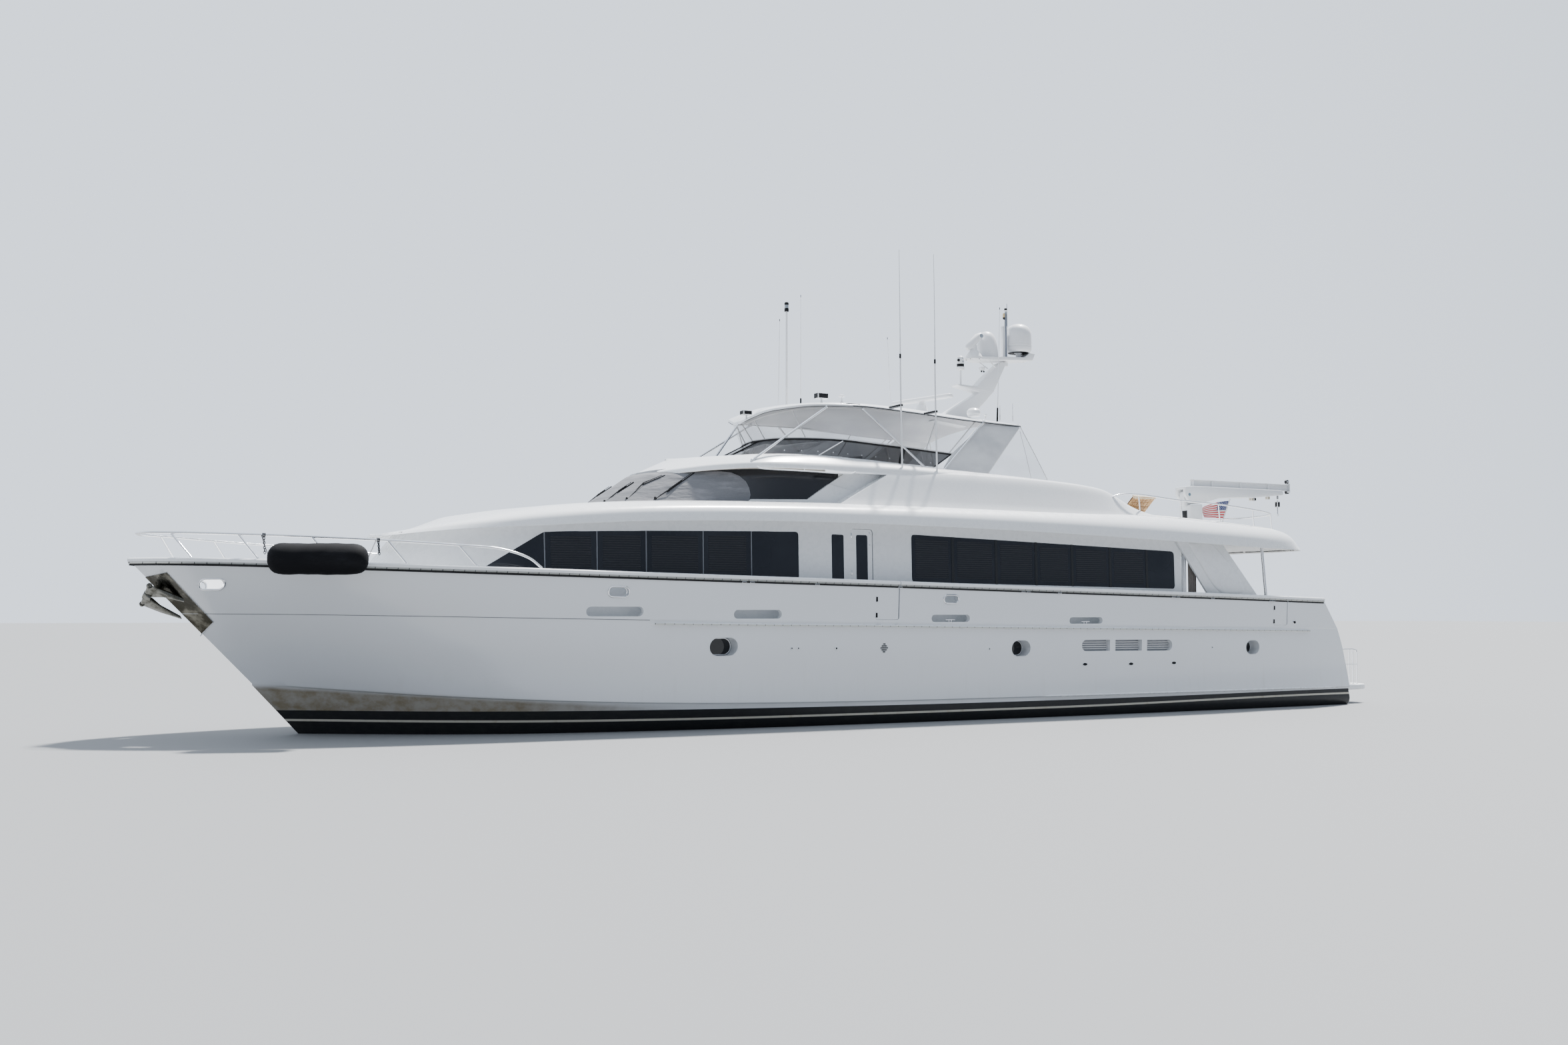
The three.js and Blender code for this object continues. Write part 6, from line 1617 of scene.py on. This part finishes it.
helm.take(Shape().turned([(0.04, 0), (0.035, 0.05), (0, 0.06)], (0.49, 0.5, 5.575), 2, (-1, 0, 0.3), 16))
wheel = Shape().tube([(0.19 * cos(a), 0.19 * sin(a), 0) for a in circle(28)], 0.013, 1, 8, closed=True)
for a in (0.5, 2.6, 4.7):
    wheel.tube([(0, 0, -0.03), (0.19 * cos(a), 0.19 * sin(a), 0)], 0.009, 2, 6)
helm.take(wheel.moved(Matrix.Translation((0.435, 0.5, 5.59)) @ Matrix.Rotation(radians(-73), 4, "Y")))
for y in (-0.5, 0.5):
    helm.turned([(0.16, 5.01), (0.15, 5.03), (0.05, 5.05), (0.05, 5.32), (0.12, 5.33)], (-0.18, y, 0), 2,
        segments=20)
    helm.block((-0.42, y - 0.26, 5.3), (0.06, y + 0.26, 5.45), 3, 0.05)
    helm.block((-0.52, y - 0.26, 5.36), (-0.4, y + 0.26, 6.05), 3, 0.045)
    helm.block((-0.46, y - 0.29, 5.5), (0, y - 0.25, 5.6), 3, 0.015)
    helm.block((-0.46, y + 0.25, 5.5), (0, y + 0.29, 5.6), 3, 0.015)
helm.piece("helm_station", [gel, dark, steel, seat_vinyl], "gelcoat", ["helm"], 35)

# Crane
# A welded aluminium davit, painted white, stands on a turning column behind the flybridge. A
# stiffened beam runs along the top of the boom, with its winch block under the end.
CRANE_X = -11.25


def aft_of_crane(shape):
    """Turns a shape made with the boom along +X to lie aft of the column."""
    return shape.moved(Matrix.Translation((CRANE_X, 0, 0)) @ Matrix.Rotation(pi, 4, "Z"))


crane_paint = gelcoat("crane_paint", (0.72, 0.735, 0.755), 0.35, 0.12)
pivot_blue = Finish("pivot_cap", base_color=(0.1, 0.17, 0.22), roughness=0.35)
pivot_blue.set("Roughness", pivot_blue.noise(40, 1) * 0.2 + 0.3)
fitting_tan = Finish("fitting_brass", base_color=(0.46, 0.42, 0.33), metallic=0.6, roughness=0.45)
fitting_tan.set("Roughness", fitting_tan.noise(50, 2) * 0.3 + 0.3)
base = Shape().turned([(0.36, 4.3), (0.36, 4.325), (0.3, 4.34), (0.3, 4.4), (0.283, 4.77), (0.28, 4.797)],
    (CRANE_X, 0, 0), segments=40)
for k in range(10):
    a = k * pi / 5
    base.turned([(0.017, 0), (0.017, 0.016), (0, 0.018)], (CRANE_X + 0.33 * cos(a), 0.33 * sin(a), 4.325),
        1, segments=6)
base.piece("crane_base_column", [crane_paint, steel], "gelcoat", ["crane_base"], 35)

body = [(-0.15, 4.8), (0.29, 4.8), (0.29, 5.32), (-0.15, 5.3)]
post = seen_from_side(body, -0.22, 0.22).soften(0.03, 3)
tongue = [(-0.24, 5.25), (-0.02, 5.25), (-0.04, 5.62), (-0.1, 5.66), (-0.21, 5.66), (-0.25, 5.62)]
post.take(seen_from_side(tongue, -0.09, 0.09).soften(0.008, 2))
post.tube([(-0.155, -0.205, 5.57), (-0.155, 0.205, 5.57)], 0.03, 1, 16)
post.block((-0.155, -0.1, 4.9), (-0.145, 0.1, 5.15), 2, 0.004)
post.block((0.05, -0.228, 4.86), (0.11, -0.215, 4.9), 2, 0.003)
aft_of_crane(post).piece("crane_post_housing", [crane_paint, steel, dark], "gelcoat", ["crane_post"], 35,
    "crane_post")

BOOM = [
    (-0.306, 5.58), (-0.306, 5.78), (-0.007, 5.81), (3.26, 5.815), (3.315, 5.78), (3.315, 5.68), (3, 5.65),
    (2.21, 5.573), (1.03, 5.531), (0.29, 5.35), (-0.15, 5.345),
]
BEAM_FOOT, BEAM_HEAD, BEAM_START, BEAM_END = 5.83, 6, 0.09, 3.73
boom = seen_from_side(BOOM, -0.2, 0.2).cut(Shape().block((-0.4, -0.1, 5), (0.1, 0.1, 5.72))).soften(0.022,
    2, 40)
boom.block((BEAM_START, -0.07, 5.812), (BEAM_END, 0.07, BEAM_FOOT), 0, 0.004)
boom.block((BEAM_START, -0.012, BEAM_FOOT), (BEAM_END, 0.012, BEAM_HEAD - 0.01), 0)
boom.block((BEAM_START, -0.07, BEAM_HEAD - 0.018), (BEAM_END, 0.07, BEAM_HEAD), 0, 0.004)
for x in (0.12, 0.8, 1.85, 2.9):
    boom.block((x - 0.012, -0.066, BEAM_FOOT), (x + 0.012, 0.066, BEAM_HEAD - 0.015), 0, 0.002)
    boom.block((x - 0.06, -0.02, BEAM_HEAD - 0.002), (x + 0.06, 0.02, BEAM_HEAD + 0.012), 0, 0.004)
boom.block((3.69, -0.075, 5.76), (3.71, 0.075, 6.03), 0, 0.004)
for z in (5.79, 6.08):
    boom.turned([(0.055, -0.035), (0.045, -0.008), (0.045, 0.008), (0.055, 0.035)], (3.66, 0, z), 1,
        (0, 1, 0), 20)
    boom.block((3.62, -0.045, z - 0.02), (3.7, -0.037, z + 0.02), 2, 0.003)
boom.block((3.28, -0.02, 5.58), (3.31, 0.02, 5.68), 1, 0.004)
for x, z in ((2.4, 5.56), (2.5, 5.565), (3.02, 5.62)):
    boom.block((x - 0.05, 0.05, z - 0.055), (x + 0.04, 0.15, z + 0.03), 3 if x != 2.5 else 1, 0.01)
for s in (1, -1):
    boom.turned([(0.042, 0.2), (0.042, 0.206), (0.036, 0.21)], (-0.155, 0, 5.57), 4, (0, s, 0))
boom.turned([(0.017, -0.2), (0.016, 0.2)], (3.285, 0, 5.35), 2, segments=10)
boom.take(Shape().block((3.232, -0.055, 5.345), (3.338, 0.055, 5.51), 1, 0.016))
for k in range(4):
    z = 5.33 - k * 0.045
    flat = k % 2
    loop = [(3.285 + 0.014 * cos(a) * (1 - flat), 0.014 * cos(a) * flat,
        z + 0.028 * sin(a)) for a in circle(12)]
    boom.tube(loop, 0.0055, 2, 6, closed=True)
hook = [(3.285 + 0.028 * sin(a), 0, 5.135 + 0.03 * cos(a)) for a in np.linspace(0, 4.4, 10)]
boom.tube(hook, 0.008, 2, 8)
boom_finishes = [crane_paint, dark, steel, fitting_tan, pivot_blue]
aft_of_crane(boom).piece("crane_boom_beam", boom_finishes, "gelcoat", ["crane_boom"], 35, "crane_boom")

# Bench
# A teak locker bench stands on the boat deck, with a chequered slatted back leaning outboard
# under a pale cap.
teak = Finish("teak", base_color=(0.42, 0.24, 0.1), roughness=0.5)
x, y, z = teak.axes()
figure = teak.noise(5, 5, 0.6, (1, 9, 9))
plank = teak.noise(2.3, 1, 0.5, (1.3, 6, 6)).fade(0.35, 0.65)
warm = teak.mix(plank, (0.36, 0.19, 0.07), (0.54, 0.33, 0.15))
teak.colour(figure.fade(0.45, 0.75) * 0.7, warm, (0.24, 0.12, 0.05))
teak.bump(figure, 0.2, 0.003)
pale_wood = Finish("weathered_teak", base_color=(0.55, 0.48, 0.36), roughness=0.7)
pale_wood.colour(pale_wood.noise(6, 4, 0.6, (1, 8, 8)).fade(0.4, 0.7), (0.6, 0.53, 0.41),
    (0.44, 0.37, 0.26))
bench = Shape().block((-8.93, 0.26, 4.7), (-8.25, 0.77, 5), 0, 0.012)
for k in range(6):
    y = 0.26 + k * 0.087
    bench.block((-8.94, y, 5), (-8.24, y + 0.078, 5.055), 0, 0.008)
lean = atan2(0.41, 0.5)
back = Shape()
for k in range(6):
    for j in range(4):
        flip = (k + j) % 2
        x0 = -8.93 + k * 0.1135
        z0 = 0.04 + j * 0.14
        if flip:
            for m in range(3):
                back.block((x0 + 0.005, z0 + 0.005 + m * 0.044, -0.008),
                    (x0 + 0.108, z0 + 0.04 + m * 0.044, 0.012), 0, 0.004)
        else:
            for m in range(3):
                back.block((x0 + 0.005 + m * 0.036, z0 + 0.005, -0.008),
                    (x0 + 0.034 + m * 0.036, z0 + 0.13, 0.012), 0, 0.004)
back.block((-8.94, 0, 0.012), (-8.24, 0.62, 0.045), 0, 0.006)
for x in (-8.94, -8.26):
    back.block((x, 0, -0.012), (x + 0.02, 0.62, 0.05), 0, 0.004)
back.block((-8.95, 0.6, -0.02), (-8.23, 0.655, 0.06), 1, 0.01)
turn_back = Matrix.Translation((0, 0.765, 4.925)) @ Matrix.Rotation(lean, 4, "X")
bench.take(back.moved(turn_back))
bench.piece("bench_slats", [teak, pale_wood], "teak", ["bench"], 35)

# Boat deck rail
# A stainless rail on raking stanchions closes the aft end of the boat deck.
RAIL = [
    (-6.1, 2.48, 4.95), (-6.65, 2.52, 5.24), (-8.6, 2.56, 5.17), (-10.5, 2.48, 5.08), (-12, 2.2, 4.96),
    (-12.25, 1.6, 4.93), (-12.3, 0, 4.93),
]
RAIL_POSTS = [(-7.3, 2.52, 5.215), (-8.6, 2.56, 5.17), (-9.9, 2.51, 5.11), (-11.2, 2.37, 5.03),
    (-12, 2.195, 4.965)]
half_rail = Shape().tube(spline(RAIL, 8), 0.019, 0, 12)
for x, y, z in RAIL_POSTS:
    half_rail.take(rod((x, y, z), (x - 0.16, y - 0.09, 4.38), 0.015, 0, 12))
    half_rail.turned([(0.036, 0), (0.036, 0.008), (0.02, 0.014)], (x - 0.16, y - 0.09, 4.4), segments=16)
Shape().both(half_rail).piece("boat_deck_rail_tubes", [steel], "polished_steel", ["boat_deck_rail"])

# Ensign
# A sewn woven flag is laced to a white raking staff and blows forward in soft folds. Thirteen
# stripes run from the staff and the starred blue field lies at its head.
HOIST_HEAD, HOIST_FOOT = np.array((-12.725, 0, 5.47)), np.array((-12.49, 0, 4.985))
FLY_HEAD, FLY_FOOT = np.array((-11.75, 0, 5.245)), np.array((-11.75, 0, 4.985))
ENSIGN_BOW = np.array((0, 0, 0.045))


def flag_place(u, v):
    """The place of the cloth at u along the fly and v down the hoist, each from 0 to 1."""
    p = (HOIST_HEAD * (1 - v) + HOIST_FOOT * v) * (1 - u) + (FLY_HEAD * (1 - v) + FLY_FOOT * v) * u
    p = p + ENSIGN_BOW * sin(pi * u) * (1 - v)
    wave = sin(u * 11.5 + v * 2.2) * 0.036 + sin(u * 5.2 - v * 3.0 + 1) * 0.02
    return p + np.array((0, wave * min(1, u * 3), 0.012 * sin(u * 9 + 1) * u * (1 - v)))


def cloth_finish(name, colour):
    made = Finish(name, base_color=colour, roughness=0.8)
    weave = made.noise(900, 1, 0.5)
    deep = tuple(c * 0.82 for c in colour)
    made.colour(made.noise(5, 3, 0.6).fade(0.35, 0.7) * 0.5, colour, deep)
    return made.bump(weave, 0.3, 0.0004)


flag_red = cloth_finish("ensign_red", (0.55, 0.02, 0.025))
flag_white = cloth_finish("ensign_white", (0.75, 0.75, 0.76))
flag_blue = cloth_finish("ensign_blue", (0.02, 0.035, 0.14))
ACROSS, STRIPES, PER_STRIPE, FIELD_STRIPES, FIELD_SHARE = 48, 13, 3, 7, 0.4
flag = Shape()
DOWN = STRIPES * PER_STRIPE
grid = [[flag_place(i / ACROSS, j / DOWN) for i in range(ACROSS + 1)] for j in range(DOWN + 1)]
flag_verts = [[[flag.bm.verts.new(p + np.array((0, s * 0.0008,
    0))) for p in row] for row in grid] for s in (1, -1)]
for j in range(DOWN):
    for i in range(ACROSS):
        stripe_number = j // PER_STRIPE
        in_field = i < FIELD_SHARE * ACROSS and stripe_number < FIELD_STRIPES
        shade = 2 if in_field else stripe_number % 2
        for k, layer in enumerate(flag_verts):
            ring = [layer[j][i], layer[j][i + 1], layer[j + 1][i + 1], layer[j + 1][i]]
            flag.bm.faces.new(ring if k else ring[::-1]).material_index = shade
edge_loop = [(0, i) for i in range(ACROSS)] + [(j, ACROSS) for j in range(DOWN)]
edge_loop += [(DOWN, i) for i in range(ACROSS, 0, -1)] + [(j, 0) for j in range(DOWN, 0, -1)]
for (ja, ia), (jb, ib) in zip(edge_loop, edge_loop[1:] + edge_loop[:1]):
    a, b = flag_verts
    flag.bm.faces.new([a[ja][ia], a[jb][ib], b[jb][ib], b[ja][ia]]).material_index = 1
flag_piece = flag.piece("ensign_cloth", [flag_red, flag_white, flag_blue], "flag_cloth", sharp=80)
stars = Shape()
STAR_ROWS = 9
for row in range(STAR_ROWS):
    count = 6 if row % 2 == 0 else 5
    for k in range(count):
        v = (row + 1) / (STAR_ROWS + 1) * FIELD_STRIPES / STRIPES
        u = ((k * 2 + 1 + row % 2) / 12) * FIELD_SHARE
        for s in (1, -1):
            points = []
            for m in range(10):
                a = pi * m / 5
                r = 1.0 if m % 2 == 0 else 0.42
                points.append(flag_place(u + 0.0145 * r * sin(a),
                    v - 0.027 * r * cos(a)) + np.array((0, s * 0.0019, 0)))
            stars.prism(points, (0, -s * 0.0006, 0))
star_piece = stars.piece("ensign_stars", [flag_white], "flag_cloth")
staff = Shape().tube([(-12.14, 0, 4.2), (-12.735, 0, 5.5)], 0.022, 0, 14, tips=[1, 0.8])
staff.ball((-12.735, 0, 5.505), 0.028, 0, 8)
staff.turned([(0.045, 0), (0.045, 0.05)], (-12.2, 0, 4.33), 1, (-0.595, 0, 1.3), 16)
staff.piece("ensign_staff", [mast_gel, steel], "gelcoat", ["ensign"])

# Running gear
# Bronze shafts run from the hull to strut bearings, each with a five-bladed propeller and a
# spade rudder behind it, painted with the bottom.
bronze = Finish("bronze", base_color=(0.42, 0.26, 0.1), metallic=0.9, roughness=0.35)
tarnish = bronze.noise(7, 4, 0.6).fade(0.4, 0.75)
bronze.colour(tarnish * 0.6, (0.45, 0.29, 0.12), (0.2, 0.22, 0.14))
bronze.set("Roughness", tarnish * 0.3 + 0.28)
antifoul = Finish("antifouling", base_color=(0.02, 0.021, 0.024), roughness=0.8)
antifoul.colour(antifoul.noise(5, 4, 0.6).fade(0.45, 0.8) * 0.5, (0.016, 0.017, 0.02), (0.06, 0.065, 0.05))
for side in SIDES:
    for node, part, bevel, finish, slot in (
        (f"propeller_{side}", "blades", 0.005, bronze, "bronze"),
        (f"rudder_{side}", "blade", 0.02, antifoul, "hull_paint"),
    ):
        traced(node, bevel).piece(f"{node}_{part}", [finish], slot, [node], 40, node)
shafts = Shape()
for s in (1, -1):
    shafts.tube([(-12.35, 1.15 * s, -1.33), (-8.4, 1.15 * s, -0.77)], 0.048, 0, 14)
    shafts.tube([(-12.09, 1.15 * s, -1.293), (-11.77, 1.15 * s, -1.248)], 0.095, 1, 18)
    for off in (-0.36, 0.36):
        shafts.tube([(-11.93, 1.15 * s, -1.27), (-11.83, (1.15 + off) * s, -0.4)], 0.045, 1, 12)
shafts.piece("shafts_and_struts", [bronze, antifoul], "bronze", sharp=40)

# Bow rail
# A bright rail on raking stanchions runs round the foredeck and turns down into the bulwark
# cap abreast of the house.
BOW_RAIL = [
    (15.08, 0, 3.885), (14.95, 0.52, 3.88), (14.4, 0.95, 3.87), (13.48, 1.6, 3.835), (12.26, 2.17, 3.79),
    (11, 2.56, 3.735), (9.67, 2.83, 3.66), (8.9, 2.96, 3.6), (8.35, 3.04, 3.43), (8.1, 3.07, 3.24),
]
BOW_POSTS = [(14.565, 0.82, 3.873), (13.48, 1.6, 3.835), (12.26, 2.17, 3.79), (10.95, 2.57, 3.73),
    (9.67, 2.83, 3.66)]
half_rail = Shape().tube(spline(BOW_RAIL, 8), 0.025, 0, 12)
for x, y, z in BOW_POSTS:
    foot = along(sheer_line, x - 0.33)
    base = (foot[0], foot[1] - 0.06, foot[2] + 0.055)
    half_rail.take(rod(base, (x, y, z), 0.021, 0, 12))
    half_rail.turned([(0.04, 0), (0.04, 0.008), (0.02, 0.016)], base, segments=16)
Shape().both(half_rail).piece("bow_rail_tubes", [steel], "polished_steel", ["bow_rail"])

# Anchor pocket and anchor
# The stem is sheathed in a folded plate of polished stainless steel, and the stockless anchor
# is drawn up flat against it, with its crown forward and its flukes down the stem.
mirror_steel = Finish("sheathing", base_color=(0.34, 0.33, 0.3), metallic=1, roughness=0.12)
reflection_and_polish_swirl = mirror_steel.noise(2.2, 4, 0.6, (1, 1.4, 1.8))
# The near-black and brownish blotches in the plate's colour are painted reflections; the same noise varies
# its polish.
mirror_steel.colour(reflection_and_polish_swirl.fade(0.45, 0.7), (0.03, 0.027, 0.018), (0.17, 0.16, 0.13))
mirror_steel.set("Roughness", reflection_and_polish_swirl.fade(0.3, 0.8) * 0.2 + 0.08)
mirror_steel.bump(reflection_and_polish_swirl, 0.5, 0.02)
POCKET = [(15.05, 3.02), (14.6, 3.13), (13.72, 2.2), (13.9, 1.93), (15.05, 1.93)]
stem_lines = [*topsides[len(topsides) * 2 // 3:-1], knuckle]
sheath = wall(stem_lines, -0.016, 0.004).cut(seen_from_side(POCKET, -0.2, 2), "INTERSECT")
upper = wall(bulwark_face, -0.016, 0.004).cut(seen_from_side(POCKET, -0.2, 2), "INTERSECT")
pocket = Shape()
for part in (sheath, upper):
    pocket.both(port_half(part))
rim_line = [POCKET[1], POCKET[2], POCKET[3]]
rim = []
for (xa, za), (xb, zb) in zip(rim_line, rim_line[1:]):
    for t in np.linspace(0, 1, 12):
        x, z = xa + (xb - xa) * t, za + (zb - za) * t
        y = bulwark_side(x, z) if z > 2.36 else hull_side(x, z)
        rim.append((x, max(y, 0.02) + 0.014, z))
pocket.both(Shape().tube(rim, 0.007, 1, 6))
pocket.piece("anchor_pocket_plate", [mirror_steel, steel], "polished_steel", ["anchor_pocket"], 40)

galvanised = Finish("anchor_steel", base_color=(0.42, 0.43, 0.44), metallic=1, roughness=0.25)
wear = galvanised.noise(8, 4, 0.6).fade(0.4, 0.7)
galvanised.colour(wear * 0.8, (0.24, 0.235, 0.21), (0.07, 0.065, 0.05))
galvanised.set("Roughness", wear * 0.2 + 0.16)
ANCHOR_MIDDLE, ANCHOR_REACH, ANCHOR_LONG = Vector((14.882, 0, 2.712)), 0.36, 0.76
anchor = Shape()
for s in (1, -1):
    fluke = [(0.02, 0.05), (0.02, 0.345), (-0.35, 0.36), (-ANCHOR_LONG, 0.33), (-0.71, 0.26), (-0.3, 0.16),
        (-0.12, 0.05)]
    fluke = [(x, y * s) for x, y in fluke]
    thick = [0.04, 0.02, 0.017, 0.01, 0.014, 0.018, 0.03]
    low = [(x, y, -t) for (x, y), t in zip(fluke, thick)]
    high = [(x, y, t) for (x, y), t in zip(fluke, thick)]
    anchor.take(Shape().skin([low, high]).soften(0.005, 2))
    web = [(0.02, 0.07), (-0.3, 0.22), (-0.6, 0.3)]
    anchor.tube([(x, y * s, 0.015) for x, y in web], 0.03, 0, 8, tips=[1, 0.7, 0.35])
anchor.tube([(0.01, -ANCHOR_REACH, 0), (0.01, ANCHOR_REACH, 0)], 0.036, 0, 14)
for s in (1, -1):
    anchor.turned([(0.052, 0), (0.056, 0.02), (0.045, 0.05), (0, 0.052)], (0.01, s * 0.31, 0), 0, (0, s, 0),
        16)
anchor.block((-0.1, -0.075, -0.055), (0.06, 0.075, 0.055), 0, 0.018)
roll, tilt, yaw = (radians(a) for a in (33.6, -21.8, -7.1))
attitude = Matrix.Rotation(yaw, 4, "Z") @ Matrix.Rotation(tilt, 4, "Y") @ Matrix.Rotation(roll, 4, "X")
anchor.moved(Matrix.Translation(ANCHOR_MIDDLE) @ attitude)
shank = [ANCHOR_MIDDLE, ANCHOR_MIDDLE + Vector((-0.2, -0.03, 0.04)),
    ANCHOR_MIDDLE + Vector((-0.4, -0.06, 0.085))]
anchor.tube(shank, 0.058, 0, 14, tips=[0.85, 1, 1])
anchor.piece("anchor_forging", [galvanised], "polished_steel", ["anchor"], 35)

# Windlass
# Two capstans stand on a low plinth on the foredeck, with chain leads forward of them.
windlass = Shape().block((12.53, -0.33, 2.752), (13.37, 0.33, 2.84), 0, 0.015)
for y in (-0.2, 0.2):
    rows = [(0.17, 2.81), (0.17, 2.84), (0.155, 2.87), (0.145, 2.93), (0.112, 2.98), (0.1, 3.02),
        (0.106, 3.06), (0.13, 3.085), (0.148, 3.1), (0.148, 3.108), (0.08, 3.11)]
    windlass.turned(rows, (12.95, y, 0), 1, segments=32)
    windlass.turned([(0.05, 2.83), (0.05, 2.86), (0.02, 2.87)], (13.22, y, 0), 1, segments=16)
windlass.piece("windlass_capstans", [gel, steel], "polished_steel", ["windlass"], 35)

# Fender
# A long foam fender in a black knitted sleeve lies along the bulwark. It hangs at each end from
# the rail on a short length of blackened chain.
FENDER_FROM, FENDER_TO, FENDER_Z = 11.22, 13.01, 3.36
side_a, side_b = along(sheer_line, FENDER_FROM), along(sheer_line, FENDER_TO)
yaw = atan2(side_a[1] - side_b[1], FENDER_TO - FENDER_FROM)
fender_x = (FENDER_FROM + FENDER_TO) / 2
fender_mid = Vector((fender_x + 0.37 * sin(yaw), along(sheer_line, fender_x)[1] + 0.37 * cos(yaw),
    FENDER_Z))
fender_way = Vector((cos(yaw), -sin(yaw), 0))
sleeve = Finish("fender_sleeve", base_color=(0.004, 0.004, 0.005), roughness=0.8, specular=0.15)
knit = sleeve.noise(300, 2, 0.5)
dust = sleeve.noise(1.6, 4, 0.6, (0.6, 1, 2)).fade(0.45, 0.8)
sleeve.colour(dust * 0.4, (0.0035, 0.0037, 0.005), (0.024, 0.025, 0.03))
sleeve.bump(knit * 0.0008 + dust * 0.006, 0.6, 1)
half = (FENDER_TO - FENDER_FROM) / 2
ends = [(0, 0), (0.05, 0.003), (0.11, 0.012), (0.17, 0.035), (0.22, 0.075), (0.258, 0.13), (0.28, 0.2),
    (0.289, 0.28)]
rows = [(r, -half + h) for r, h in ends] + [(0.2905, t) for t in np.linspace(-0.5, 0.5, 13)]
rows += [(r, half - h) for r, h in reversed(ends)]
fender = Shape().turned(rows, fender_mid, 0, fender_way, 40)
for vert in fender.bm.verts:
    p = vert.co - fender_mid
    t = p.dot(fender_way)
    out = (p - fender_way * t)
    reach = out.length
    if reach > 0.1:
        angle = atan2(out.z, out.y)
        vert.co += out / reach * (0.004 * sin(t * 7 + angle * 2) + 0.003 * sin(t * 19 + angle * 5) - 0.003)
fender_piece = fender.piece("fender_sleeve_body", [sleeve], "black_cover", ["fender"], 60)
chains = Shape()
black_chain = Finish("black_chain", base_color=(0.02, 0.02, 0.024), metallic=0.7, roughness=0.45)
black_chain.set("Roughness", black_chain.noise(60, 2) * 0.3 + 0.3)
rail_line = spline(BOW_RAIL, 8)
for end, x in ((1, 13.06), (-1, 11.12)):
    top = Vector(along(rail_line, x))
    tip = fender_mid + fender_way * (end * (half - 0.01))
    low = Vector((top.x - 0.03, top.y - 0.02, 3.47))
    count = 8
    for k in range(count):
        middle = top + (low - top) * ((k + 0.4) / count)
        way = (low - top).normalized()
        cross = way.cross(Vector((0, 1, 0)) if k % 2 else Vector((1, 0, 0))).normalized()
        loop = [middle + way * (0.032 * cos(a)) + cross * (0.018 * sin(a)) for a in circle(14)]
        chains.tube(loop, 0.007, 0, 6, closed=True)
    for wrap in (-0.02, 0, 0.02):
        p = Vector(along(rail_line, x + wrap))
        loop = [p + Vector((0, 0.03 * cos(a), 0.03 * sin(a))) for a in circle(12)]
        chains.tube(loop, 0.009, 0, 6, closed=True)
    line_foot = tip if end < 0 else tip + Vector((0, 0, 0.05))
    chains.tube([top + Vector((0.04, 0, -0.01)), line_foot + Vector((0, 0, 0.02)), tip], 0.009, 0, 8)
chains.piece("fender_chains", [black_chain], "black_cover")
